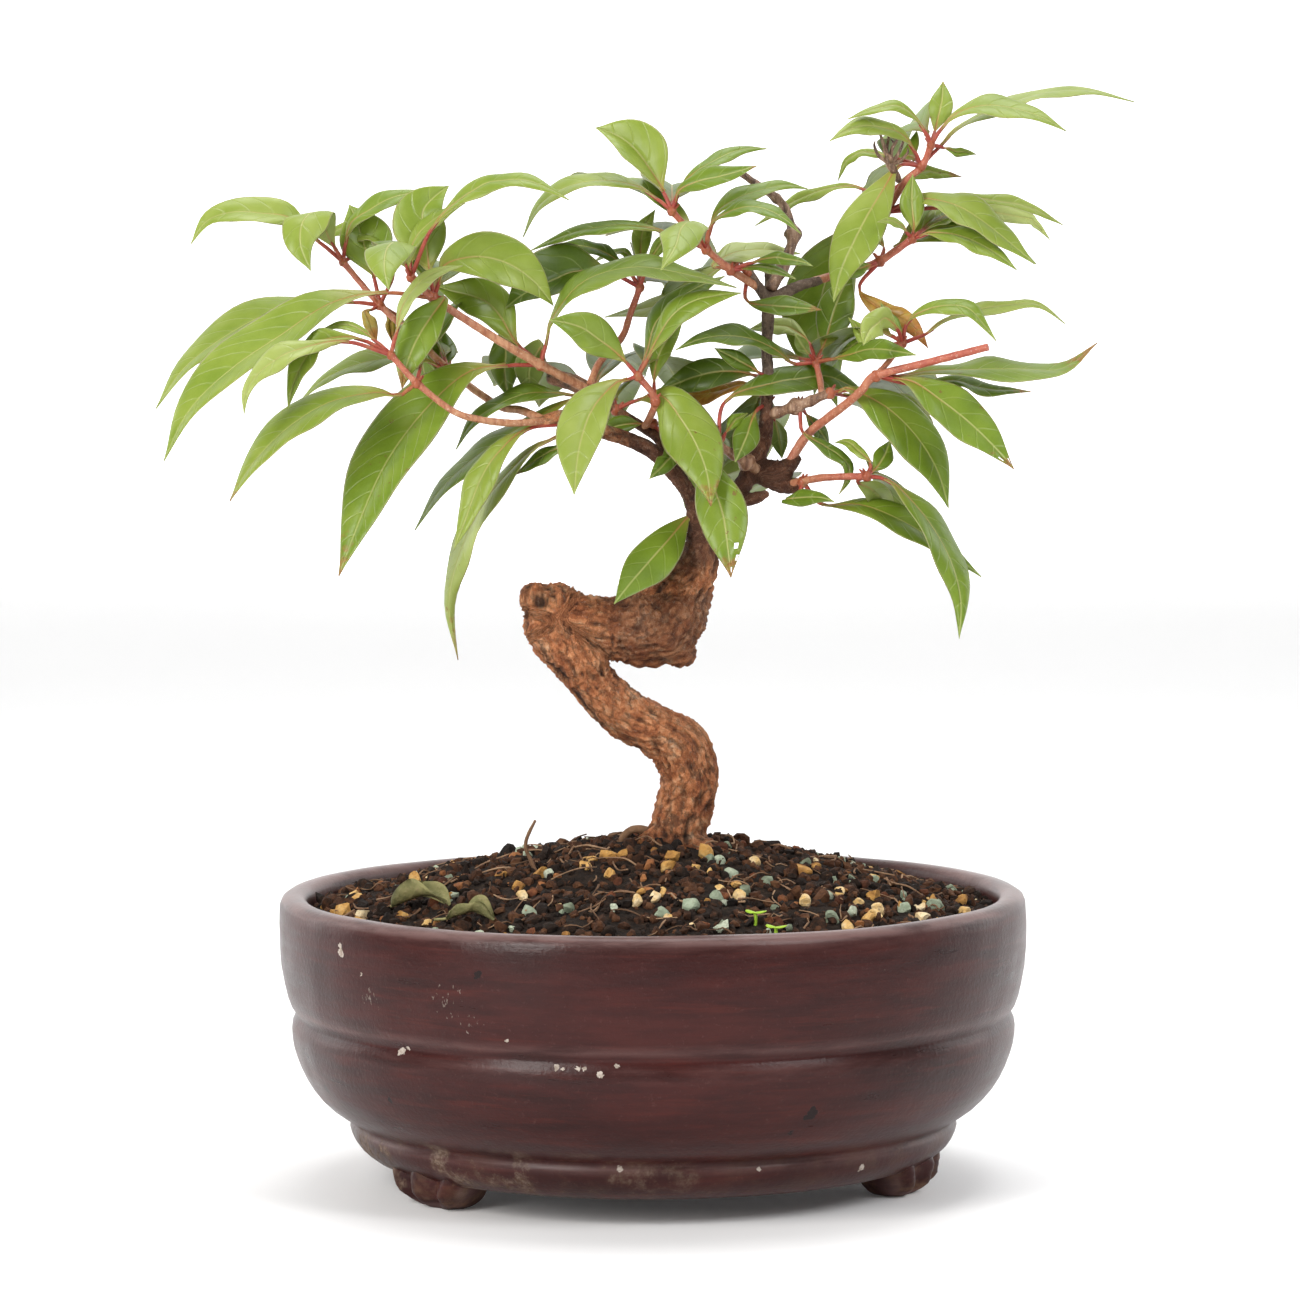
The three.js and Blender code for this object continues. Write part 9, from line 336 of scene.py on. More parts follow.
def tube(B, run, sides=12, step=0.7, A=None, bump=0.0, seed=0.0, knots=(), cap=0.55, colour=None):
    """Closed round limb along rows [x, y, z, r]; the ends are domed."""
    L = sum(np.linalg.norm(np.subtract(b[:3], a[:3])) for a, b in zip(run[:-1], run[1:]))
    n = max(6, int(L / step))
    C = crom(run, n); P, R = C[:, :3], C[:, 3].copy()
    s = np.linspace(0, L, n)
    for k, amp, wid in knots: R *= 1 + amp * np.exp(-((s - k * L) / wid) ** 2)
    T, N, Bn = frames(P)
    V = []; UV = []; AA = []
    a = np.arange(sides) * 2 * math.pi / sides
    def ring(p, r, i, u):
        for k, an in enumerate(a):
            rr = r
            if bump: rr = r * (1 + bump * noise.noise(Vector((p[0] * .5 + math.cos(an), p[1] * .5 + math.sin(an), p[2] * .5 + seed))))
            V.append(p + N[i] * rr * math.cos(an) + Bn[i] * rr * math.sin(an)); UV.append((k / sides, u))
            AA.append(colour(u / L, k) if colour else (A or (0, 0, 0, 0)))
    rings = 0
    for q in (0.25, 0.75): ring(P[0] - T[0] * R[0] * cap * (1 - q), R[0] * math.sin(math.pi / 2 * q * 1.0 + 0.12), 0, 0); rings += 1
    for i in range(n): ring(P[i], R[i], i, s[i]); rings += 1
    for q in (0.75, 0.25): ring(P[-1] + T[-1] * R[-1] * cap * (1 - q), R[-1] * math.sin(math.pi / 2 * q + 0.12), n - 1, L); rings += 1
    F = []
    for i in range(rings - 1):
        for k in range(sides):
            p, q = i * sides + k, i * sides + (k + 1) % sides
            F.append((p, q, q + sides, p + sides))
    F.append(tuple(reversed(range(sides)))); F.append(tuple((rings - 1) * sides + k for k in range(sides)))
    B.add(V, F, UV, AA)

# ================================================================ node helpers
class NT:
    def __init__(self, name):
        self.m = bpy.data.materials.new(name); self.m.use_nodes = True
        self.t = self.m.node_tree; self.t.nodes.clear()
        self.out = self.t.nodes.new("ShaderNodeOutputMaterial")
    def n(self, kind, **kw):
        o = self.t.nodes.new("ShaderNode" + kind)
        for k, v in kw.items():
            if k.startswith("i_"): o.inputs[k[2:].replace("_", " ")].default_value = v
            else: setattr(o, k, v)
        return o
    def l(self, a, b): self.t.links.new(a, b)
    def coords(self): return self.n("TexCoord").outputs["Object"]
    def noise(self, scale, detail=4, rough=0.55, vec=None, dist=0.0):
        o = self.n("TexNoise"); o.inputs["Scale"].default_value = scale; o.inputs["Detail"].default_value = detail
        o.inputs["Roughness"].default_value = rough; o.inputs["Distortion"].default_value = dist
        self.l(vec if vec is not None else self.coords(), o.inputs["Vector"]); return o.outputs["Fac"]
    def stretch(self, sx, sy, sz, vec=None):
        o = self.n("Mapping"); o.inputs["Scale"].default_value = (sx, sy, sz)
        self.l(vec if vec is not None else self.coords(), o.inputs["Vector"]); return o.outputs["Vector"]
    def ramp(self, fac, *stops, mode='LINEAR'):
        o = self.n("ValToRGB"); cr = o.color_ramp; cr.interpolation = mode
        while len(cr.elements) > 1: cr.elements.remove(cr.elements[-1])
        cr.elements[0].position = stops[0][0]; cr.elements[0].color = (*stops[0][1], 1) if not isinstance(stops[0][1], (int, float)) else (stops[0][1],) * 3 + (1,)
        for p, c in stops[1:]:
            e = cr.elements.new(p); e.color = (*c, 1) if not isinstance(c, (int, float)) else (c, c, c, 1)
        self.l(fac, o.inputs["Fac"]); return o.outputs["Color"]
    def mix(self, fac, a, b, blend='MIX'):
        o = self.n("Mix", data_type='RGBA', blend_type=blend)
        for sock, v in ((o.inputs[0], fac), (o.inputs[6], a), (o.inputs[7], b)):
            if hasattr(v, "is_output"): self.l(v, sock)
            elif isinstance(v, (int, float)): sock.default_value = v
            else: sock.default_value = (*v, 1)
        return o.outputs[2]
    def math(self, op, a, b=0.5, c=0.5, clamp=False):
        o = self.n("Math", operation=op, use_clamp=clamp)
        for i, v in enumerate((a, b, c)):
            if hasattr(v, "is_output"): self.l(v, o.inputs[i])
            else: o.inputs[i].default_value = v
        return o.outputs[0]
    def look(self):
        o = self.n("Attribute", attribute_name="look"); s = self.n("SeparateColor"); self.l(o.outputs["Color"], s.inputs[0])
        return s.outputs[0], s.outputs[1], s.outputs[2], o.outputs["Alpha"]
    def bump(self, h, dist, strength=1.0, chain=None):
        o = self.n("Bump"); o.inputs["Strength"].default_value = strength; o.inputs["Distance"].default_value = dist
        self.l(h, o.inputs["Height"])
        if chain is not None: self.l(chain, o.inputs["Normal"])
        return o.outputs["Normal"]
    def finish(self, col, rough, normal=None, spec=0.5, coat=0.0, coat_rough=0.2, sheen=0.0, translucent=None, trans_fac=0.0):
        p = self.n("BsdfPrincipled")
        if hasattr(col, "is_output"): self.l(col, p.inputs["Base Color"])
        else: p.inputs["Base Color"].default_value = (*col, 1)
        if hasattr(rough, "is_output"): self.l(rough, p.inputs["Roughness"])
        else: p.inputs["Roughness"].default_value = rough
        p.inputs["Specular IOR Level"].default_value = spec
        p.inputs["Coat Weight"].default_value = coat; p.inputs["Coat Roughness"].default_value = coat_rough
        p.inputs["Sheen Weight"].default_value = sheen
        if normal is not None: self.l(normal, p.inputs["Normal"])
        if translucent is not None:
            t = self.n("BsdfTranslucent"); self.l(translucent, t.inputs["Color"])
            if normal is not None: self.l(normal, t.inputs["Normal"])
            m = self.n("MixShader"); m.inputs[0].default_value = trans_fac
            self.l(p.outputs[0], m.inputs[1]); self.l(t.outputs[0], m.inputs[2]); self.l(m.outputs[0], self.out.inputs[0])
        else: self.l(p.outputs[0], self.out.inputs[0])
        return self.m

# ================================================================ materials
def leaf_material():
    t = NT("leaf")
    v, edge, tint, brown = t.look()
    o = t.n("Attribute", attribute_name="look2"); s = t.n("SeparateColor"); t.l(o.outputs["Color"], s.inputs[0])
    side, stalk, seed = s.outputs[0], s.outputs[1], s.outputs[2]
    uv = t.n("UVMap", uv_map="along"); sp = t.n("SeparateXYZ"); t.l(uv.outputs[0], sp.inputs[0])
    lat = t.math('ABSOLUTE', sp.outputs[0]); along = sp.outputs[1]
    n1 = t.noise(90, 3); n2 = t.noise(420, 4, .6); n3 = t.noise(1500, 2)
    tt = t.math('ADD', tint, t.math('MULTIPLY', t.math('SUBTRACT', n1, 0.5), 0.55), clamp=True)
    base = t.ramp(tt, (0.0, (0.068, 0.120, 0.009)), (0.2, (0.110, 0.180, 0.012)), (0.42, (0.175, 0.265, 0.020)), (0.62, (0.255, 0.335, 0.042)), (0.8, (0.345, 0.415, 0.090)), (1.0, (0.43, 0.49, 0.17)))
    # side veins curve forward from the midrib; finer net between them
    ph = t.math('DIVIDE', t.math('SUBTRACT', along, t.math('ADD', t.math('MULTIPLY', lat, 0.75), t.math('MULTIPLY', t.math('MULTIPLY', lat, lat), 0.075))), 6.3)
    pp = t.math('PINGPONG', t.math('ADD', ph, t.math('MULTIPLY', n1, 0.35)), 0.5)
    vein = t.ramp(pp, (0.0, 1.0), (0.030, 0.6), (0.065, 0.0))
    vor = t.n("TexVoronoi", feature='DISTANCE_TO_EDGE'); vor.inputs["Scale"].default_value = 620; t.l(t.coords(), vor.inputs["Vector"])
    net = t.ramp(vor.outputs["Distance"], (0.0, 1.0), (0.10, 0.0))
    rib = t.ramp(lat, (0.0, 1.0), (0.15, 0.8), (0.36, 0.0))
    col = t.mix(t.math('MULTIPLY', net, 0.05), base, (0.36, 0.46, 0.12))
    col = t.mix(t.math('MULTIPLY', vein, 0.25), col, (0.45, 0.52, 0.16))
    ribcol = t.ramp(v, (0.0, (0.52, 0.15, 0.07)), (0.16, (0.50, 0.24, 0.08)), (0.42, (0.48, 0.46, 0.15)), (1.0, (0.42, 0.48, 0.15)))
    col = t.mix(t.math('MULTIPLY', rib, 0.85), col, ribcol)
    foot = t.ramp(v, (0.0, 0.55), (0.10, 0.22), (0.22, 0.0))
    col = t.mix(foot, col, (0.50, 0.27, 0.09))
    col = t.mix(t.math('MULTIPLY', side, 0.40), col, (0.32, 0.385, 0.125))
    rim = t.ramp(edge, (0.93, 0.0), (0.975, 0.7), (1.0, 0.85))
    col = t.mix(t.math('MULTIPLY', rim, 0.70), col, (0.55, 0.46, 0.26))
    # brown tips, edges and spots on the older leaves
    tip = t.math('ADD', v, t.math('MULTIPLY', t.math('SUBTRACT', n2, 0.5), 0.55))
    tip = t.math('MULTIPLY', t.ramp(t.math('ADD', tip, t.math('MULTIPLY', t.math('SUBTRACT', brown, 0.5), 0.5)), (0.86, 0.0), (0.97, 1.0)), t.ramp(brown, (0.05, 0.0), (0.2, 1.0)))
    col = t.mix(t.math('MULTIPLY', tip, 0.85), col, t.ramp(n3, (0.3, (0.22, 0.085, 0.025)), (0.7, (0.45, 0.20, 0.06))))
    spots = t.math('MULTIPLY', t.ramp(n2, (0.665, 0.0), (0.70, 1.0)), t.ramp(brown, (0.15, 0.0), (0.5, 1.0)))
    col = t.mix(t.math('MULTIPLY', spots, 0.8), col, (0.20, 0.085, 0.03))
    over = t.ramp(brown, (0.90, 0.0), (1.0, 1.0))
    col = t.mix(t.math('MULTIPLY', over, 0.94), col, t.ramp(t.math('ADD', n2, t.math('MULTIPLY', vein, 0.15)), (0.38, (0.40, 0.115, 0.022)), (0.52, (0.58, 0.215, 0.045)), (0.66, (0.52, 0.33, 0.07))))
    red = t.ramp(t.noise(260, 2), (0.35, (0.33, 0.040, 0.030)), (0.6, (0.44, 0.085, 0.055)), (0.75, (0.40, 0.17, 0.07)))
    col = t.mix(stalk, col, red)
    h = t.math('ADD', t.math('MULTIPLY', vein, -0.55), t.math('ADD', t.math('MULTIPLY', t.ramp(pp, (0.0, 0.0), (0.5, 1.0)), 0.22), t.math('ADD', t.math('MULTIPLY', rib, -0.8), t.math('MULTIPLY', n2, 0.25))))
    nb = t.bump(h, 0.00030, 0.6)
    ro = t.math('ADD', 0.26, t.math('MULTIPLY', n2, 0.22))
    tr = t.mix(0.35, col, (0.50, 0.60, 0.03))
    return t.finish(col, ro, nb, spec=0.45, translucent=tr, trans_fac=0.24)

def stem_material():
    t = NT("green_stem")
    along, young, dry, _ = t.look()
    n1 = t.noise(320, 4); st = t.noise(260, 5, .6, vec=t.stretch(3, 3, .6)); n3 = t.noise(1400, 2)
    tan = t.ramp(t.math('ADD', st, t.math('MULTIPLY', n3, .15)), (0.38, (0.20, 0.085, 0.036)), (0.52, (0.38, 0.175, 0.080)), (0.68, (0.52, 0.30, 0.16)))
    pink = t.ramp(n1, (0.3, (0.32, 0.055, 0.036)), (0.6, (0.43, 0.115, 0.066)), (0.8, (0.42, 0.21, 0.09)))
    col = t.mix(young, tan, pink)
    dark = t.ramp(st, (0.36, (0.060, 0.030, 0.018)), (0.52, (0.19, 0.105, 0.062)), (0.68, (0.36, 0.24, 0.16)))
    col = t.mix(dry, col, dark)
    lent = t.ramp(t.noise(2300, 1), (0.66, 0.0), (0.70, 1.0))
    col = t.mix(t.math('MULTIPLY', lent, 0.5), col, (0.62, 0.50, 0.38))
    nb = t.bump(t.math('ADD', st, t.math('MULTIPLY', n3, .4)), 0.0004, 0.8)
    return t.finish(col, 0.48, nb, spec=0.45)

def bark_material():
    t = NT("bark")
    dark, crevice_shade, swell, grey = t.look()
    gr_ = t.n("Attribute", attribute_name="grain").outputs["Vector"]
    wob = t.mix(0.0016, gr_, t.n("TexNoise", i_Scale=260.0, i_Detail=3.0).outputs["Color"], 'ADD')
    along = t.stretch(1, 1, .58, vec=wob)
    a = t.noise(120, 5, .6); b = t.noise(820, 6, .72, vec=along, dist=.3); c = t.noise(1900, 4, .62, vec=t.stretch(1, 1, .5, vec=wob)); e = t.noise(330, 6, .70, vec=t.stretch(1, 1, .8, vec=wob), dist=.5)
    vor = t.n("TexVoronoi", feature='DISTANCE_TO_EDGE'); vor.inputs["Scale"].default_value = 430; t.l(t.stretch(1, 1, .50, vec=wob), vor.inputs["Vector"])
    crack = t.ramp(vor.outputs["Distance"], (0.0, 1.0), (0.05, 0.5), (0.13, 0.0))
    crack = t.math('MULTIPLY', crack, t.ramp(e, (0.42, 0.1), (0.58, 1.0)))
    m = t.math('ADD', t.math('MULTIPLY', a, .26), t.math('ADD', t.math('MULTIPLY', e, .34), t.math('MULTIPLY', b, .40)))
    col = t.ramp(m, (0.36, (0.085, 0.026, 0.010)), (0.42, (0.30, 0.088, 0.031)), (0.47, (0.54, 0.180, 0.068)), (0.52, (0.74, 0.300, 0.125)), (0.58, (0.88, 0.47, 0.25)), (0.66, (0.94, 0.68, 0.47)))
    col = t.mix(t.math('MULTIPLY', crack, 0.62), col, (0.070, 0.026, 0.013))
    patch = t.ramp(t.noise(170, 5, .7, vec=t.stretch(1, 1, .7)), (0.575, 0.0), (0.62, 1.0))
    col = t.mix(t.math('MULTIPLY', patch, 0.72), col, (0.085, 0.035, 0.019))
    # painted shade: darker in the crevices between the bark ridges, and darker towards the soil
    col = t.mix(t.ramp(crevice_shade, (0.10, 0.0), (0.7, 0.92)), col, (0.040, 0.017, 0.009))
    # painted shade: the first look channel (dark) blends the bark toward this darker ramp on the neck and upper boughs
    # under the crown and on the lower right of the upper mass
    up = t.ramp(m, (0.38, (0.034, 0.011, 0.006)), (0.47, (0.11, 0.038, 0.018)), (0.55, (0.24, 0.100, 0.052)), (0.65, (0.42, 0.25, 0.165)))
    col = t.mix(dark, col, up)
    gr = t.ramp(b, (0.35, (0.15, 0.105, 0.075)), (0.6, (0.29, 0.225, 0.17)), (0.8, (0.44, 0.37, 0.30)))
    col = t.mix(grey, col, gr)
    col = t.mix(t.math('MULTIPLY', t.ramp(c, (0.56, 0.0), (0.72, 1.0)), 0.34), col, (0.80, 0.62, 0.46))
    h = t.math('ADD', t.math('MULTIPLY', b, 1.0), t.math('ADD', t.math('MULTIPLY', crack, -0.8), t.math('ADD', t.math('MULTIPLY', c, 0.5), t.math('MULTIPLY', e, .8))))
    nb = t.bump(h, 0.0013, 1.0)
    return t.finish(col, 0.70, nb, spec=0.32)

# places where the clay is chipped pale, and small pits painted dark as the shade inside them: x, y, z, radius, mm from
# the pot's axis
CHIPS = [[-80.5, -60.1, 69.1, 1.5], [-80.7, -59.7, 70.9, 0.9], [-75.0, -66.7, 64.8, 0.8], [-64.3, -71.7, 45.1, 1.9], [-62.7, -73.0, 46.3, 1.0], [-24.3, -93.5, 44.4, 0.9], [-22.8, -94.0, 44.2, 0.8], [-19.2, -94.7, 44.3, 1.0], [-17.2, -95.2, 44.2, 0.8], [-13.4, -96.2, 42.8, 1.2], [-9.2, -96.0, 45.0, 0.7], [-36.9, -91.2, 51.0, 0.6], [-8.6, -81.0, 16.2, 1.3], [53.6, -60.6, 12.7, 1.4], [27.1, -77.1, 15.2, 0.8],
  [60, 76.5, 52, 1.6], [-30, 94, 46, 1.3], [88, 40, 60, 1.0], [-90, 30, 44, 1.5]]
PITS = [[40.2, -85.7, 31.2, 1.6], [39.1, -85.6, 30.2, 1.0], [34.6, -84.9, 26.0, 0.8], [-85.7, -38.8, 30.1, 1.2], [-44.2, -90.2, 67.6, 1.0], [-67.8, -66.4, 31.8, 0.7], [30, 95.4, 62, 1.3], [94, -30, 64, .9]]
def near(t, places, rough, grow=1.0):
    """1 within the given radius of any of the places, with a broken edge."""
    out = None; co = t.coords()
    for x, y, z, r in places:
        p = mm((x, y, z)); d = t.n("VectorMath", operation='DISTANCE'); t.l(co, d.inputs[0]); d.inputs[1].default_value = (float(p[0]), float(p[1]), float(p[2]))
        v = t.math('LESS_THAN', t.math('ADD', d.outputs["Value"], rough), r * .001 * grow)
        out = v if out is None else t.math('MAXIMUM', out, v)
    return out

def clay_material():
    t = NT("clay")
    ring, chip, foot, edge_wear_highlight = t.look()
    co = t.coords(); sp = t.n("SeparateXYZ"); t.l(co, sp.inputs[0]); z = sp.outputs[2]
    big = t.noise(14, 4, .55, vec=t.stretch(1, 1, 2.6)); mid = t.noise(75, 5, .6, vec=t.stretch(.5, .5, 3.4)); fine = t.noise(700, 4, .65); mot = t.noise(38, 6, .62)
    streak = t.noise(150, 5, .65, vec=t.stretch(.22, .22, 3.2))
    col = t.ramp(t.math('ADD', t.math('MULTIPLY', big, .40), t.math('MULTIPLY', mid, .60)), (0.36, (0.020, 0.0048, 0.0044)), (0.50, (0.034, 0.0072, 0.0064)), (0.62, (0.048, 0.0098, 0.0082)))
    col = t.mix(t.math('MULTIPLY', t.ramp(streak, (0.54, 0.0), (0.70, 1.0)), 0.38), col, (0.085, 0.014, 0.009))
    col = t.mix(t.math('MULTIPLY', t.ramp(mot, (0.52, 0.0), (0.72, 1.0)), 0.25), col, (0.018, 0.006, 0.006))
    col = t.mix(t.math('MULTIPLY', t.ramp(fine, (0.60, 0.0), (0.74, 1.0)), 0.22), col, (0.12, 0.055, 0.048))
    # worn rim and sharp edges, with painted highlight along the ridges of the waist groove; pale lime on the base ring,
    # bare clay where it is chipped
    wear_plus_highlight = t.math('MULTIPLY', edge_wear_highlight, t.ramp(mid, (0.40, 0.30), (0.58, 1.0)))
    col = t.mix(t.math('MULTIPLY', wear_plus_highlight, 0.62), col, (0.24, 0.155, 0.145))
    left = t.ramp(t.math('ADD', t.math('MULTIPLY', sp.outputs[0], -4.0), 0.5, clamp=True), (0.40, 0.15), (0.70, 1.0))
    lime = t.math('MULTIPLY', t.math('MULTIPLY', t.ramp(t.noise(60, 6, .75), (0.52, 0.0), (0.63, 1.0)), ring), left)
    col = t.mix(t.math('MULTIPLY', lime, 0.62), col, t.ramp(fine, (0.4, (0.085, 0.055, 0.035)), (0.6, (0.26, 0.20, 0.15))))
    bare = t.math('MULTIPLY', foot, t.ramp(t.noise(120, 5, .65), (0.44, 0.0), (0.60, 1.0)))
    col = t.mix(t.math('MULTIPLY', bare, 0.45), col, (0.26, 0.15, 0.085))
    # pale chips, scratches and specks, and small pits
    rag = t.math('MULTIPLY', t.math('SUBTRACT', t.noise(520, 4, .7), 0.5), 0.0034)
    chips = near(t, CHIPS, rag, .62); pits = near(t, PITS, rag)
    scratch = t.math('MULTIPLY', near(t, [[-51.9, -85.5, 60.4, 5.0], [-46, -88.5, 55, 3.5], [-72, -68.5, 58, 3.5]], 0.0), t.ramp(t.noise(900, 3, .6, vec=t.stretch(1, 1, .5)), (0.60, 0.0), (0.64, 1.0)))
    speck = t.n("TexVoronoi", feature='F1'); speck.inputs["Scale"].default_value = 120; t.l(co, speck.inputs["Vector"])
    dots = t.math('MULTIPLY', t.ramp(speck.outputs["Distance"], (0.0, 1.0), (0.035, 0.0)), t.ramp(t.noise(40, 2), (0.48, 0.0), (0.56, 1.0)))
    pale = t.math('MAXIMUM', t.math('MAXIMUM', chips, t.math('MULTIPLY', scratch, .35)), t.math('MULTIPLY', dots, .7))
    col = t.mix(pale, col, t.ramp(fine, (0.4, (0.26, 0.21, 0.17)), (0.6, (0.44, 0.38, 0.33))))
    # painted shade: the pits are coloured near black for the shade inside them
    col = t.mix(t.math('MULTIPLY', pits, .9), col, (0.008, 0.004, 0.004))
    h = t.math('ADD', t.math('MULTIPLY', mid, 0.35), t.math('ADD', t.math('MULTIPLY', streak, 0.25), t.math('ADD', t.math('MULTIPLY', fine, 0.40), t.math('MULTIPLY', t.math('MAXIMUM', chips, pits), -1.6))))
    nb = t.bump(h, 0.00045, 0.6)
    ro = t.math('ADD', t.math('ADD', 0.20, t.math('MULTIPLY', mid, 0.22)), t.math('MULTIPLY', t.math('MAXIMUM', t.math('ADD', lime, foot), pale), 0.35), clamp=True)
    return t.finish(col, ro, nb, spec=0.20)

def grain_material(name, stops, scale=500, rough=0.85, bump=0.0006, dusty=None):
    t = NT(name)
    r, g, b, _ = t.look()
    n = t.noise(scale, 5, .65); c = t.noise(scale * 4, 3, .6)
    f = t.math('ADD', t.math('MULTIPLY', n, .62), t.math('MULTIPLY', r, .38))
    col = t.ramp(f, *stops)
    if dusty: col = t.mix(t.math('MULTIPLY', t.ramp(c, (0.5, 0.0), (0.7, 1.0)), 0.45), col, dusty)
    nb = t.bump(t.math('ADD', n, t.math('MULTIPLY', c, .5)), bump, 0.9)
    return t.finish(col, rough, nb, spec=0.25)

MAT_LEAF = leaf_material(); MAT_STEM = stem_material(); MAT_BARK = bark_material(); MAT_CLAY = clay_material()
MAT_SOIL = grain_material("soil_fines", ((0.25, (0.006, 0.004, 0.003)), (0.5, (0.020, 0.012, 0.008)), (0.7, (0.060, 0.034, 0.020))), 700, .95, .0012)
MAT_PEAT = grain_material("peat_crumbs", ((0.2, (0.005, 0.0035, 0.003)), (0.45, (0.020, 0.011, 0.007)), (0.62, (0.075, 0.030, 0.014)), (0.8, (0.15, 0.070, 0.032))), 420, .92)
MAT_AKA = grain_material("red_lumps", ((0.25, (0.040, 0.014, 0.008)), (0.5, (0.13, 0.042, 0.018)), (0.72, (0.34, 0.14, 0.05))), 360, .9)
MAT_PUM = grain_material("pumice", ((0.25, (0.20, 0.085, 0.025)), (0.42, (0.52, 0.27, 0.07)), (0.56, (0.70, 0.45, 0.17)), (0.72, (0.86, 0.70, 0.44))), 330, .85, .0009, (0.12, 0.06, 0.03))
MAT_GREY = grain_material("grey_pebbles", ((0.25, (0.12, 0.14, 0.09)), (0.5, (0.31, 0.37, 0.26)), (0.75, (0.56, 0.60, 0.46))), 420, .7, .0006, (0.10, 0.08, 0.06))
MAT_FIBRE = grain_material("fibres", ((0.2, (0.05, 0.025, 0.014)), (0.5, (0.20, 0.11, 0.06)), (0.8, (0.42, 0.27, 0.16))), 300, .85, .0003)
MAT_DRYLEAF = grain_material("dry_leaf", ((0.2, (0.075, 0.075, 0.030)), (0.5, (0.17, 0.165, 0.065)), (0.8, (0.31, 0.28, 0.12))), 260, .75, .0005, (0.30, 0.24, 0.13))
MAT_SEED = grain_material("seedling", ((0.2, (0.18, 0.34, 0.02)), (0.5, (0.30, 0.48, 0.03)), (0.8, (0.42, 0.58, 0.08))), 600, .5, .0002)

# ================================================================ leaves
# how each leaf differs: (age 0 deep green .. 1 pale yellow-green, brown tips and spots 0 .. 1)
AGE = dict(B2a=(.70,.1), B2b=(.66,.05), B2d=(.45,.05), B1a=(.62,.0), B1c=(.55,.1), B1f=(.62,.3), B1d=(.75,.95), B1e=(.5,.95), Bx1=(.55,.0), Bx2=(.25,.0),
  C1a=(.62,.0), C1e=(.6,.0), C1b=(.88,.0), C1k=(.86,.0), BB1=(.60,.35), A2b=(.62,.0), A2m=(.45,.55), A3d=(.60,.1), A3e=(.62,.1), A3h=(.60,.0),
  A2g=(.58,.1), A2j=(.64,.0), A1l=(.50,.0), A1a=(.42,.45), A1b=(.15,.1), A1e=(.15,.1), A1n=(.45,.0), AA1=(.34,.1), AA2=(.26,.1), AA3=(.60,.2), AA4=(.82,.5), AA5=(.2,.5),
  Er=(.16,.1), Es=(.22,.0), E1=(.62,.0), E2=(.6,.0), E3=(.45,.0), D1t=(.34,.0), D2v=(.62,.0), D2w=(.64,.0), D2x1=(.36,.35), D2x2=(.38,.0), D1u=(.60,.0), D1b=(.46,.0),
  D1c=(.34,.0), D0a=(.22,.1), D0b=(.22,.1), D0c=(.96,.0), F1=(.52,.1), F2p=(.20,.0), F2=(.50,.0), F3=(.70,.0), G4b=(.45,.0), G1=(.60,.5), G2=(.45,.55), LR16=(.3,.3),
  R3=(.22,.0), G3=(.36,.0), G5=(.18,.1), G4=(.12,.1), CB1=(.10,.1), CB2=(.2,.98), U2=(.22,.1), U1=(.24,.1), T1a=(.26,.0), T1b=(.3,.0), R5=(.34,.0), S4b=(.95,.0),
  R11=(.20,.5), DKa=(.92,.0), R2a=(.34,.0), R1a=(.42,.5), Q1=(.50,.6), Q2=(.3,.5), S1a=(.58,.0), S2=(.86,.0), S4=(.80,.0), S5=(.66,.0), S6=(.3,.0), S7=(.3,.0),
  R10=(.6,.97), R12=(.3,.1), Z5=(.74,.2), Y=(.50,.1), Z1=(.55,.1), Z2=(.7,.3), Z3=(.6,.0), X=(.62,.0), X2=(.66,.2), X3=(.95,.3), V1p=(.6,.6), V2d=(.62,.2),
  W=(.62,.0), V2a=(.60,.2), V2e=(.70,.1), V2c=(.66,.2), V3a=(.62,.1), V3b=(.58,.45), V3c=(.62,.1), V2f=(.5,.4), LR1=(.6,.2), LR2=(.34,.0), LR4=(.42,.1), LR6=(.80,.1),
  LR5=(.44,.1), LR8=(.24,.1), LR11=(.20,.3), LR12=(.16,.1), LR15=(.20,.0), LR14=(.16,.0))
HOLES = dict(G2=((17, 7), (19, 8), (21, 6)), R1a=((20, 2), (21, 7)))
KS = np.array([-1, -.93, -.7, -.42, -.16, 0, .16, .42, .7, .93, 1.0])

def blade_width(s):
    s = np.clip(np.asarray(s, float), 0, 1)
    lo = np.sin(np.pi / 2 * np.clip(s / .49, 0, 1)) ** 1.22
    hi = np.cos(np.pi / 2 * np.clip((s - .49) / .51, 0, 1)) ** 1.02 * (1 - .22 * np.clip((s - .49) / .51, 0, 1) ** 2)
    return np.where(s < .49, lo, hi)

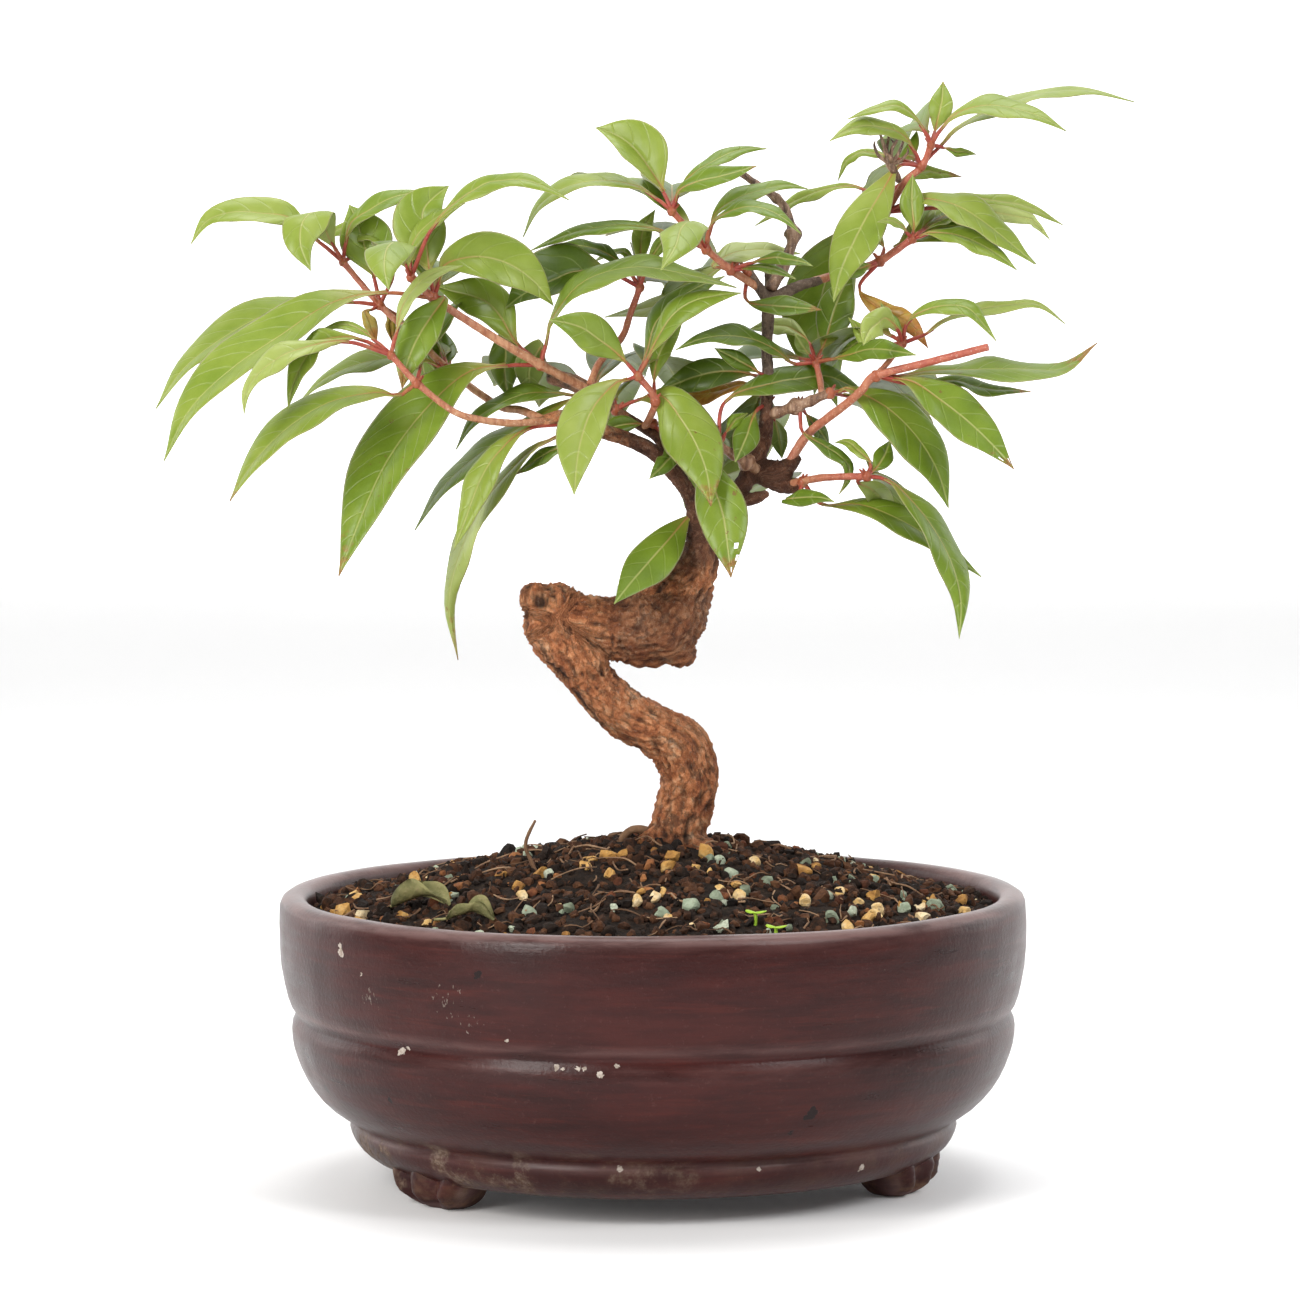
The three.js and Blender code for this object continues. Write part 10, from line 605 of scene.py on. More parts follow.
def make_leaf(B, row, rng):
    name = row[0]
    M, L, R = (np.array(x, float) for x in row[2:5])
    C = crom(np.hstack([M, L, R]), 160)
    i0 = int(np.argmin(np.linalg.norm(C[:, :3] - M[2], axis=1)))
    C[:i0, 3:] = C[i0, 3:]; C[:, 3:] *= 1.13
    i0 = max(int(i0 * .45), 6)      # the blade runs a long way down its stalk
    age, brown = AGE.get(name, (float(rng.uniform(.12, .5)), float(rng.choice([0, .1, .3]))))
    age = float(np.clip(age + rng.uniform(-.04, .04), 0, 1))
    seed = float(rng.random())
    bl = C[i0:]; n = 24
    d = np.r_[0, np.cumsum(np.linalg.norm(np.diff(bl[:, :3], axis=0), axis=1))]; Lb = d[-1]
    s = np.linspace(0, 1, n); s = s * .92 + .08 * (1 - np.cos(np.pi * s)) / 2
    Q = np.stack([np.interp(s * Lb, d, bl[:, k]) for k in range(9)], -1)
    P, Ul, Ur = Q[:, :3], Q[:, 3:6], Q[:, 6:9]
    T = np.gradient(P, axis=0); T /= np.linalg.norm(T, axis=1)[:, None]
    for q in range(2):       # steady the reach from ring to ring
        for U in (Ul, Ur): U[1:-1] = (U[:-2] + 2 * U[1:-1] + U[2:]) / 4
    w = blade_width(s); w[0] = 0.10; w[-1] = 0.012
    across = Ul - Ur
    N = np.cross(T, across); N /= np.linalg.norm(N, axis=1)[:, None] + 1e-9
    # the side that catches the light from above or the front is the upper side
    if (N.mean(0) @ np.array([0, -.55, .83])) < 0: N = -N
    f1, f2, ph1, ph2 = rng.uniform(1.6, 3.0), rng.uniform(1.6, 3.0), rng.uniform(0, 6.28), rng.uniform(0, 6.28)
    amp = rng.uniform(.35, .9) * min(1.0, Lb / 40)
    bul = rng.uniform(.25, .65)
    rows_t, rows_b, attr_t, attr_b, uvs = [], [], [], [], []
    V = []; UV = []; A = []
    nk = len(KS)
    top = np.zeros((n, nk), int); bot = np.zeros((n, nk), int)
    for i in range(n):
        for j, k in enumerate(KS):
            U = Ul[i] if k >= 0 else Ur[i]; a = abs(k)
            f, ph = (f1, ph1) if k >= 0 else (f2, ph2)
            wave = amp * a ** 1.8 * math.sin(2 * math.pi * f * s[i] + ph) * math.sin(math.pi * min(1, s[i] * 1.15 + .02))
            p = P[i] + U * (a * w[i]) + N[i] * (wave + bul * 4 * a * (1 - a) * min(1, w[i] * 1.3))
            lat = a * w[i] * np.linalg.norm(U)
            th = 0.15 if a < .9 else (0.09 if a < .99 else 0.0)
            if a == 0: tt, tb = 0.10, 0.16 + 0.36 * (1 - s[i]) ** 1.2
            else: tt = tb = th
            top[i, j] = len(V); V.append(p + N[i] * tt); UV.append((lat, s[i] * Lb + 3)); A.append((s[i], a, age, brown, 0.0 if a < 1 else .25, 0, seed, 1))
            if a < 1:
                bot[i, j] = len(V); V.append(p - N[i] * tb); UV.append((lat, s[i] * Lb + 3)); A.append((s[i], a, age, brown, 1.0, 0, seed, 1))
            else: bot[i, j] = top[i, j]
    F = []; eaten = HOLES.get(name, ())
    for i in range(n - 1):
        for j in range(nk - 1):
            if (i, j) in eaten:      # a hole a beetle left: only its wall
                c4 = [(i, j), (i, j + 1), (i + 1, j + 1), (i + 1, j)]
                for (a, b), (c, d) in zip(c4, c4[1:] + c4[:1]): F.append((top[c, d], top[a, b], bot[a, b], bot[c, d]))
                continue
            F.append((top[i, j], top[i, j + 1], top[i + 1, j + 1], top[i + 1, j]))
            F.append((bot[i, j + 1], bot[i, j], bot[i + 1, j], bot[i + 1, j + 1]))
    for i in (0, n - 1):
        for j in range(nk - 1):
            ring = [top[i, j], bot[i, j], bot[i, j + 1], top[i, j + 1]]
            q = []
            for x in ring:
                if x not in q: q.append(x)
            if i: q = q[::-1]
            if len(q) >= 3: F.append(tuple(q))
    V = np.array(V)
    a0, a1, a2 = V[top[n // 2, 2]], V[top[n // 2, 3]], V[top[n // 2 + 1, 3]]
    if np.cross(a1 - a0, a2 - a0) @ N[n // 2] < 0: F = [tuple(reversed(f)) for f in F]
    B.add(V, F, UV, A)
    # stalk, from the leaf base a little way under the midrib
    st = C[:i0 + 1, :3]
    m = max(6, int(i0 / 4)); idx = np.linspace(0, len(st) - 1, m).astype(int)
    e = P[0] - N[0] * .16; e2 = P[2] - N[2] * .30
    run = [[*st[i], .62 - .12 * q / m] for q, i in enumerate(idx[:-1])] + [[*e, .48], [*e2, .30]]
    redness = 1.0 if rng.random() < .85 else .8
    tube(B, run, sides=8, step=1.0, A=(0.05, 0, age, 0, 0, redness, seed, 1))

def build_leaves():
    for hn, at, r in HUBS:
        B = Build(); rng = np.random.default_rng(sum(ord(c) * (i + 1) for i, c in enumerate(hn)))
        rows = [l for l in LEAVES if l[1] == hn]
        for row in rows: make_leaf(B, row, rng)
        # swollen clasping base with small pointed stipules
        c = np.array(at); rr = min(r, 2.0)
        if r < 3.0:
            tube(B, [[*(c - [0, 0, rr * .55]), rr * .62], [*c, rr * .80], [*(c + [0, 0, rr * .55]), rr * .55]], sides=10, step=.4, A=(0.05, 0, .5, 0, 0, .85, .3, 1), bump=.12)
        for k in range(2):
            a = rng.uniform(0, 6.28); d = np.array([math.cos(a), math.sin(a) * .8, .9]); d /= np.linalg.norm(d)
            tube(B, [[*(c + d * rr * .4), .5], [*(c + d * (rr + .4)), .36], [*(c + d * (rr + 1.1)), .10]], sides=6, step=.6, A=(0.05, 0, .5, 0, 0, .9, .6, 1))
        B.done(hn.replace("leaves", "foliage").replace("leaf_", "foliage_"), MAT_LEAF, "leaf", hn)

# ================================================================ shoots
def build_stems():
    for name, run in STEMS:
        B = Build(); dry = 1.0 if "dry" in name else (.85 if name == "branch_right" else .65 if name == "spur_hanging" else 0.0)
        L = sum(np.linalg.norm(np.subtract(b[:3], a[:3])) for a, b in zip(run[:-1], run[1:]))
        old = name in ("stem_left", "stem_upper_left", "stem_long_right", "stem_low_left")
        def colour(u, k, dry=dry, old=old, name=name):
            y = ((.60 if name == 'stem_long_right' else .22) + max(0, u - .45) * 1.2 if old else .35 + .65 * u)
            return (u, float(np.clip(y, 0, 1)) * (1 - dry), dry, 1, 0, 0, 0, 1)
        knots = []
        for hn, at, r in HUBS:
            P = np.array(run)[:, :3]; d = np.linalg.norm(P - np.array(at), axis=1); j = int(d.argmin())
            if d[j] < 2.5:
                seg = np.r_[0, np.cumsum(np.linalg.norm(np.diff(P, axis=0), axis=1))]
                knots.append((seg[j] / seg[-1], .32, 1.3))
        if dry: knots += [(.42, .9, 1.4), (.70, .35, 1.2), (.15, .3, 1.5)]
        tube(B, run, sides=16, step=.6, bump=.10 if not dry else .22, seed=len(name) * 1.7, knots=knots, colour=colour, cap=.5 if name != "stem_long_right" else .12)
        B.done(name.replace("stem", "shoot").replace("branch", "side_branch").replace("spur", "short_spur"), MAT_STEM, "dry_wood" if "dry" in name else "green_stem", name)

# ================================================================ trunk: tubes joined by a fine remesh, then sculpted in code
EXTRA = [
  [[0.9,-1,149.5,9],[5.4,-2,144.2,6],[9.1,-2,140.9,3.4]],
  [[-26.4,-3,153.2,7.4],[-30.7,-3,156.5,5.2],[-32.3,-3,157.5,4.4]], [[-25.6,-3,153.2,7],[-24,-4,156.5,5.2]], [[-26.4,-3,150,7.6],[-29.6,-3,150.8,6.6]], [[-24,-3,146,6.8],[-27.4,-3,145.4,6]],
  [[9.1,0,111.7,7],[13.4,0,116.3,4.2]], [[10.1,0,109.8,6.5],[14.7,-1,109.9,4.2]], [[2.2,-4,148.4,8],[4.3,-9,146,3.4]],
  [[3,-2,93,4.6],[-3,-4,90,3.0],[-8,-6,87.5,2.0],[-13,-8,86,1.4]], [[7,-1,93,4.6],[13,-4,90,3.0],[19,-6,87.5,2]]]
def build_trunk():
    B = Build()
    for i, run in enumerate(LIMBS):
        q = 1.0 if i < 2 else .84
        tube(B, [[*r_[:3], r_[3] * q] for r_ in run], sides=20 if i < 2 else 14, step=1.0, cap=.9)
    for run in ROOTS: tube(B, run, sides=12, step=1.2)
    for run in EXTRA: tube(B, run, sides=16, step=1.0, cap=.9)
    o = B.done("trunk_wood", MAT_BARK, "bark", "trunk_and_boughs")
    m = o.modifiers.new("join", 'REMESH'); m.mode = 'VOXEL'; m.voxel_size = 0.00052
    dg = bpy.context.evaluated_depsgraph_get(); me = bpy.data.meshes.new_from_object(o.evaluated_get(dg), depsgraph=dg)
    o.modifiers.clear(); old = o.data; o.data = me; bpy.data.meshes.remove(old); me.name = "trunk_wood"
    n = len(me.vertices); co = np.zeros(n * 3); me.vertices.foreach_get("co", co); co = co.reshape(-1, 3)
    ed = np.zeros(len(me.edges) * 2, np.int32); me.edges.foreach_get("vertices", ed); ed = ed.reshape(-1, 2)
    deg = np.bincount(ed.ravel(), minlength=n).astype(float)
    from mathutils import kdtree
    ax, N1, N2, run_s = [], [], [], []
    for k, r in enumerate(LIMBS):
        Cq = crom(np.array(r, float), 90); T, Nq, Bq = frames(Cq[:, :3]); ax.append(Cq); N1.append(Nq); N2.append(Bq)
        run_s.append(np.r_[0, np.cumsum(np.linalg.norm(np.diff(Cq[:, :3], axis=0), axis=1))] + 31.0 * k)
    ax = np.vstack(ax); N1 = np.vstack(N1); N2 = np.vstack(N2); run_s = np.concatenate(run_s)
    kd = kdtree.KDTree(len(ax))
    for i, a in enumerate(ax): kd.insert(a[:3], i)
    kd.balance()
    q = co * 1000 - SHIFT; jj = np.array([kd.find(p)[1] for p in q]); rad = ax[jj, 3]
    off = q - ax[jj, :3]
    grain = np.stack([(off * N1[jj]).sum(1), (off * N2[jj]).sum(1), run_s[jj]], -1)      # along the limb, for the run of the bark
    soft = np.clip((rad - 2.6) / 4.0, 0.0, 1.0)
    def lap(X): return np.stack([np.bincount(ed[:, 0], X[ed[:, 1], k], n) + np.bincount(ed[:, 1], X[ed[:, 0], k], n) for k in range(3)], -1) / deg[:, None]
    for it in range(26):
        wt = (.12 if it < 4 else 0) + .5 * soft
        co = co + (lap(co) - co) * np.clip(wt, 0, .6)[:, None]
        if it < 14: grain = grain + (lap(grain) - grain) * .6
    me.vertices.foreach_set("co", co.ravel()); me.update()
    no = np.zeros(n * 3); me.vertices.foreach_get("normal", no); no = no.reshape(-1, 3)
    q = co * 1000 - SHIFT
    look = np.zeros((n, 4), np.float32); disp = np.zeros(n)
    for i in range(n):
        p = q[i]; r = rad[i]; g = grain[i]
        big = min(1.0, max(.12, (r - 1.5) / 5.5)); v = Vector(p)
        w = noise.noise_vector(v * .10)
        a = noise.noise(v * .11 + Vector((3, 1, 7)))
        u = Vector((g[0] + w[0] * 2.2, g[1] + w[1] * 2.2, g[2] * .36 + w[2] * 1.6))
        rid = 1 - abs(noise.noise(u * .42)) * 2.4
        rid2 = 1 - abs(noise.noise(u * 1.05 + Vector((9, 2, 4)))) * 2.2
        ring = noise.noise(Vector((p[0] * .22 + w[0], p[1] * .22, g[2] * .95 + w[2] * 1.2)))
        fine = noise.noise(Vector((g[0] * 1.9, g[1] * 1.9, g[2] * .95))); f2 = noise.noise(v * 2.6)
        wr = .46 * ring * min(1, max(0, (p[2] - 128) / 14)) + .20 * ring
        disp[i] = big * (.95 * a + .62 * rid - .46 + .30 * rid2 + wr) + (.22 * fine + .10 * f2) * (.35 + big)
        # painted shade in the crevices between the ridges; below z 97 it also grows darker towards the soil
        crevice_shade = max(0.0, .46 - rid * .50 - rid2 * .26 - ring * .20)
        # painted shade: darker on the neck and upper boughs under the crown, and on the lower right of the upper mass
        painted_shade = min(1.0, max(0.0, (p[2] - 160 + 5 * a) / 12)) if p[2] > 158 and p[0] > -6 else min(.60, max(0, (p[2] - 132) / 22)) * min(1, max(0, (p[0] + 16) / 8))
        if p[2] < 97: crevice_shade += (97 - p[2]) * .05
        gy = min(1.0, max(0.0, (p[2] - 205) / 14)) * .75
        look[i] = (painted_shade, min(1, crevice_shade), .5 + .5 * a, gy)
    co2 = co + no * (disp * .001)[:, None]
    me.vertices.foreach_set("co", co2.ravel()); me.update()
    at = me.attributes.new("look", 'FLOAT_COLOR', 'POINT'); at.data.foreach_set("color", look.ravel())
    ag = me.attributes.new("grain", 'FLOAT_VECTOR', 'POINT'); ag.data.foreach_set("vector", np.ascontiguousarray(grain * .001, np.float32).ravel())
    me.polygons.foreach_set("use_smooth", [True] * len(me.polygons))
    if not me.materials: me.materials.append(MAT_BARK)
    return o

# ================================================================ pot
RIM_R, RIM_TOP, WALL = 100.0, 77.8, 7.4
OUTER = [(96.0, 77.8), (98.2, 77.6), (99.6, 76.7), (100.2, 75.2), (100.45, 70), (100.3, 64), (99.9, 58.5), (99.1, 54.0), (98.3, 50.6), (97.4, 48.2), (96.35, 46.6), (96.05, 45.8), (96.4, 45.0),
         (97.0, 43.6), (97.25, 41.8), (97.1, 39.5), (96.7, 37.2), (96.0, 34.8), (94.9, 31.8), (93.6, 29.0), (92.0, 26.4), (90.0, 23.9), (87.4, 21.4), (84.6, 19.4), (82.2, 18.1), (81.35, 17.2), (81.2, 16.6), (81.6, 16.0), (81.75, 15.2),
         (81.4, 13.8), (80.7, 12.2), (79.6, 10.6), (77.9, 9.0), (76.2, 7.8), (74.0, 7.05), (70, 7.0)]
def build_pot():
    inner = [(12, 7.0), (11.2, 7.6), (11.0, 9), (11.0, 15), (11.4, 16.6), (12.6, 17.0), (40, 17.0), (78, 17.2), (83, 19.5), (88, 27), (90.6, 35), (92.0, 44), (92.6, 56), (92.7, 72), (92.9, 75.4), (93.8, 77.0), (95.0, 77.6)]
    prof = inner + OUTER
    P = np.array(prof); Q = []
    for i in range(len(P)):
        a, b = P[i], P[(i + 1) % len(P)]
        m = max(1, int(np.linalg.norm(b - a) / 2.2))
        for k in range(m): Q.append(a + (b - a) * k / m)
    Q = np.array(Q); n = 240; B = Build(); V = []; A = []
    for i in range(n):
        t = 2 * math.pi * i / n
        for r, z in Q:
            v = Vector((math.sin(t) * 3, -math.cos(t) * 3, z * .02))
            dr = .30 * noise.noise(v * .7) + .16 * noise.noise(Vector((math.sin(t) * 12, math.cos(t) * 12, z * .10)))
            dz = .22 * noise.noise(Vector((math.sin(t) * 3, math.cos(t) * 3, 5))) if z > 70 else 0
            if r < 60: dr = 0
            V.append(((r + dr) * math.sin(t), -(r + dr) * math.cos(t), z + dz))
            ring = max(0.0, min(1.0, (21 - z) / 3)) if r > 60 else 0
            # edge: wear on the rim top and the base ring; at z 48.3 and 43 it is painted highlight on the ridges of the
            # waist groove
            edge = max(math.exp(-((z - 77.3) / 1.6) ** 2) if r > 90 else 0, .30 * math.exp(-((z - 48.3) / .9) ** 2) if r > 95 else 0, .28 * math.exp(-((z - 43.0) / 1.2) ** 2) if r > 95 else 0, .5 * math.exp(-((z - 16) / .8) ** 2) if r > 79 else 0)
            A.append((ring, 0, 0.12 * ring, edge))
    m = len(Q); F = [(i * m + k, ((i + 1) % n) * m + k, ((i + 1) % n) * m + (k + 1) % m, i * m + (k + 1) % m) for i in range(n) for k in range(m)]
    B.add(V, [f[::-1] for f in F], None, A)
    o = B.done("clay_pot", MAT_CLAY, "clay", "pot")
    # two small holes for the wire, cut through the floor
    for sx in (-1, 1):
        bpy.ops.mesh.primitive_cylinder_add(radius=.0026, depth=.02, vertices=24, location=tuple(mm((sx * 34, 0, 12))))
        c = bpy.context.object; md = o.modifiers.new("hole", 'BOOLEAN'); md.operation = 'DIFFERENCE'; md.object = c; md.solver = 'EXACT'
        dg = bpy.context.evaluated_depsgraph_get(); me = bpy.data.meshes.new_from_object(o.evaluated_get(dg), depsgraph=dg)
        o.modifiers.clear(); o.data = me; bpy.data.objects.remove(c, do_unlink=True)
    o.data.polygons.foreach_set("use_smooth", [True] * len(o.data.polygons))
    for i, deg in enumerate((-52.5, 69, 189)): build_foot(i, deg)

def build_foot(i, deg):
    # carved cloud foot: two scrolls beside a tongue, narrowing to a rounded sole
    B = Build(); U, H = 36, 18; V = []; A = []
    for iz in range(H + 1):
        z = 12.5 * iz / H
        hw = 12.4 * (.50 + .50 * min(1, z / 9.5) ** .62); tuck = 3.4 * max(0, 1 - z / 5.0) ** 2
        for iu in range(U + 1):
            u = -1 + 2 * iu / U
            ang = math.radians(deg + hw * u)
            scroll = (1.15 * math.cos(u * math.pi * 2.6) - .55 * math.exp(-((abs(u) - .42) / .10) ** 2)) * min(1, z / 4 + .25)
            ro = 76.6 + 1.3 * math.sin(math.pi * z / 12.5 * .85) - tuck + scroll - 4.0 * abs(u) ** 5
            V.append((ro * math.sin(ang), -ro * math.cos(ang), z)); A.append((.9, 0, 1.0 if z < 3 else .45, .5 if z < 1.4 or abs(u) > .92 else 0))
        for iu in range(U, -1, -1):
            u = -1 + 2 * iu / U
            ang = math.radians(deg + hw * .84 * u); ri = 60.0 + 2.6 * abs(u) ** 3 + tuck * .8
            V.append((ri * math.sin(ang), -ri * math.cos(ang), z)); A.append((.3, 0, .8, 0))
    m = 2 * (U + 1); F = []
    for iz in range(H):
        for k in range(m):
            p, q = iz * m + k, iz * m + (k + 1) % m
            F.append((p, q, q + m, p + m))
    for iu in range(U):
        F.append((iu + 1, iu, m - 1 - iu, m - 2 - iu)); t = H * m
        F.append((t + iu, t + iu + 1, t + m - 2 - iu, t + m - 1 - iu))
    V = np.array(V)
    for k in range(len(V)):
        if .3 < V[k][2] < 11.5:
            d = noise.noise(Vector(V[k] * .30)); e = noise.noise(Vector(V[k] * .9)); V[k][:2] *= 1 + .006 * d + .003 * e
    B.add(V, F, None, A)
    B.done(("foot_left", "foot_right", "foot_back")[i], MAT_CLAY, "clay")

# ================================================================ soil
PROFILE = [(0, 91.6), (14, 90.6), (30, 87.6), (50, 83.6), (76, 76.8), (92.2, 72.8)]
def soil_h(x, y):
    r = math.hypot(x, y); h = float(np.interp(r, [p[0] for p in PROFILE], [p[1] for p in PROFILE]))
    k = min(1, max(0, (92 - r) / 6))
    return h + k * (1.5 * noise.noise(Vector((x * .05, y * .05, 2))) + .9 * noise.noise(Vector((x * .14, y * .14, 5))) + .5 * noise.noise(Vector((x * .4, y * .4, 8))))
def build_soil():
    B = Build(); V = [(0, 0, soil_h(0, 0))]; A = [(.5, 0, 0, 1)]; nr, na = 74, 200
    for i in range(1, nr + 1):
        r = 92.3 * i / nr
        for k in range(na):
            a = 2 * math.pi * k / na; x, y = r * math.cos(a), r * math.sin(a)
            V.append((x, y, soil_h(x, y) + .35 * noise.noise(Vector((x * 1.1, y * 1.1, 3))))); A.append((noise.noise(Vector((x * .3, y * .3, 1))) * .5 + .5, 0, 0, 1))
    F = [(0, 1 + k, 1 + (k + 1) % na) for k in range(na)]
    for i in range(nr - 1):
        for k in range(na):
            p, q = 1 + i * na + k, 1 + i * na + (k + 1) % na
            F.append((p, p + na, q + na, q))
    base = len(V); low = [(92.3, 56), (90, 34.5), (81, 17.6), (18, 17.6)]
    for r, z in low:
        for k in range(na):
            a = 2 * math.pi * k / na; V.append((r * math.cos(a), r * math.sin(a), z if r > 20 else 19.0)); A.append((.5, 0, 0, 1))
    prev = 1 + (nr - 1) * na
    for j in range(len(low)):
        cur = base + j * na
        for k in range(na): F.append((prev + k, cur + k, cur + (k + 1) % na, prev + (k + 1) % na))
        prev = cur
    F.append(tuple(prev + k for k in reversed(range(na))))
    B.add(V, F, None, A)
    B.done("soil_bed", MAT_SOIL, "soil", "soil")

def ico(sub):
    bm = bmesh.new(); bmesh.ops.create_icosphere(bm, subdivisions=sub, radius=1.0)
    bm.verts.ensure_lookup_table(); V = np.array([v.co[:] for v in bm.verts]); F = [[v.index for v in f.verts] for f in bm.faces]; bm.free()
    return V, F
def grains(name, mat, count, size, sub, seed, rmax=91.0, sink=.35, cut=.25, spots=(), flat=(.55, .95)):
    rng = np.random.default_rng(seed); V0, F0 = ico(sub); B = Build(); n = 0; put = []
    for sx, sy, ss in spots: put.append((sx, sy, ss))
    while len(put) < count:
        r = rmax * math.sqrt(rng.random()); a = rng.uniform(0, 6.283); x, y = r * math.cos(a), r * math.sin(a)
        if math.hypot(x - 6, y) < 10: continue
        s = rng.uniform(*size) if rng.random() < .75 else rng.uniform(size[0], (size[0] + size[1]) / 2)
        put.append((x, y, s))
    for x, y, s in put:
        V = V0 * s * rng.uniform([.75, .75, flat[0]], [1.2, 1.2, flat[1]])
        off = Vector(rng.uniform(0, 50, 3))
        if sub >= 2:      # broken, angular faces
            for _ in range(11):
                d = rng.normal(size=3); d /= np.linalg.norm(d); h = s * rng.uniform(.36, .74); k = V @ d - h
                V = V - np.outer(np.clip(k, 0, None) * .97, d)
            V = V * (1 + cut * .22 * np.array([noise.noise(Vector(v / s * 2.2) + off) for v in V]))[:, None]
        else: V = V * (1 + cut * rng.normal(size=(len(V), 1)) * .8)
        q = rng.normal(size=4); q /= np.linalg.norm(q); w, i, j, k = q
        tilt = np.array([[1 - 2 * (j * j + k * k), 2 * (i * j - k * w), 2 * (i * k + j * w)], [2 * (i * j + k * w), 1 - 2 * (i * i + k * k), 2 * (j * k - i * w)], [2 * (i * k - j * w), 2 * (j * k + i * w), 1 - 2 * (i * i + j * j)]])
        V = V @ tilt.T
        rr = math.hypot(x, y) + s
        if rr > 92.2: x, y = x * (92.2 - s) / math.hypot(x, y), y * (92.2 - s) / math.hypot(x, y)
        V = V + np.array([x, y, soil_h(x, y) + s * (1 - 2 * sink) * .6])
        B.add(V, F0, None, np.tile([rng.random(), rng.random(), rng.random(), 1], (len(V), 1)))
    o = B.done(name, mat, "soil", smooth=False)
    return o
def build_grains():
    grains("peat_fines", MAT_PEAT, 3600, (.7, 1.9), 1, 1, cut=.22)
    grains("peat_lumps", MAT_PEAT, 330, (1.6, 3.4), 2, 2, cut=.7)
    grains("red_grit", MAT_AKA, 150, (1.1, 2.7), 2, 3, cut=.45)
    grains("tan_pumice", MAT_PUM, 110, (1.1, 2.9), 3, 4, cut=.4, sink=.22,
           spots=[(14, -18, 3.6), (-12, -22, 3.2), (4, -34, 3.0), (40, -26, 3.3), (58, -34, 2.8), (-82, -24, 3.2), (-76, -34, 2.6), (70, -48, 3.0), (-34, -46, 2.4), (22, -52, 2.6), (-4, -60, 2.4), (50, -66, 2.6), (82, -28, 2.6)])
    grains("grey_green_pebbles", MAT_GREY, 90, (1.1, 2.6), 3, 5, cut=.35, sink=.25,
           spots=[(9, -62, 3.6), (2, -66, 3.0), (46, -62, 2.6), (66, -40, 2.8), (-56, -66, 3.2), (30, -38, 2.6), (74, -30, 2.8), (-22, -60, 2.4), (18, -76, 2.8), (-44, -74, 2.2)])
    rng = np.random.default_rng(9); B = Build()
    for _ in range(260):
        r = 90 * math.sqrt(rng.random()); a = rng.uniform(0, 6.283); x, y = r * math.cos(a), r * math.sin(a)
        if math.hypot(x - 6, y) < 12 or r > 86: continue
        L = rng.uniform(3, 13); d = rng.uniform(0, 6.283); c = rng.uniform(-.5, .5); pts = []
        for i in range(4):
            u = i / 3; xx, yy = x + L * u * math.cos(d + c * u), y + L * u * math.sin(d + c * u)
            if math.hypot(xx, yy) > 90: xx, yy = x, y + .2 * i
            pts.append([xx, yy, soil_h(xx, yy) + rng.uniform(.6, 2.2), rng.uniform(.13, .38) * (1 - .4 * u)])
        tube(B, pts, sides=5, step=1.2, A=(rng.random(), 0, 0, 1))
    B.done("soil_fibres", MAT_FIBRE, "soil")

# ================================================================ what lies on the soil
def top(x, y):
    return float(np.interp(math.hypot(x, y), [0, 14, 30, 50, 76, 92.3], [92.0, 91.0, 88.2, 84.2, 77.6, 73.4]))
def curled(name, node, pts, half, lift, curl, seed):
    B = Build(); C = crom(np.array([[p[0], p[1], top(p[0], p[1]) + lift + p[2]] for p in pts], float), 26); T, N, Bn = frames(C)
    V = []; A = []; ks = np.linspace(-1, 1, 13); n = len(C)
    for lay in (0, 1):
        for i in range(n):
            s = i / (n - 1); w = half * math.sin(math.pi * (.06 + .9 * s)) ** .8
            d = np.array([T[i][0], T[i][1], 0]); d /= np.linalg.norm(d); sd = np.array([-d[1], d[0], 0])
            for k in ks:
                an = k * curl * (1 + .25 * math.sin(5 * s + seed)); p = C[i] + sd * (w * math.sin(an) / curl * 1.15) + np.array([0, 0, 1]) * (w * (1 - math.cos(an)) / curl * 1.3 + .8 * math.sin(11 * s + 5 * k + seed) * abs(k) ** 2)
                V.append(p + np.array([0, 0, -.28 * lay * (1 - abs(k) ** 6)])); A.append((.5 + .4 * math.sin(k * 3 + s * 7), 0, 0, 1))
    m = len(ks); F = []; o = n * m
    for i in range(n - 1):
        for j in range(m - 1):
            a, b, c, d = i * m + j, i * m + j + 1, (i + 1) * m + j + 1, (i + 1) * m + j
            F += [(a, d, c, b), (o + a, o + b, o + c, o + d)]
    for i in range(n - 1):
        a, d = i * m, (i + 1) * m; F.append((a, o + a, o + d, d)); a, d = a + m - 1, d + m - 1; F.append((a, d, o + d, o + a))
    for j in range(m - 1):
        F.append((j, j + 1, o + j + 1, o + j)); q = (n - 1) * m; F.append((q + j, o + q + j, o + q + j + 1, q + j + 1))
    B.add(V, F, None, A); tube(B, [[*(C[0] - T[0] * 4 + [0, 0, .8]), .35], [*(C[0]), .4], [*C[n // 2], .3], [*C[-1], .15]], sides=6, A=(.9, 0, 0, 1))
    B.done(name, MAT_DRYLEAF, "dry_leaf", node)
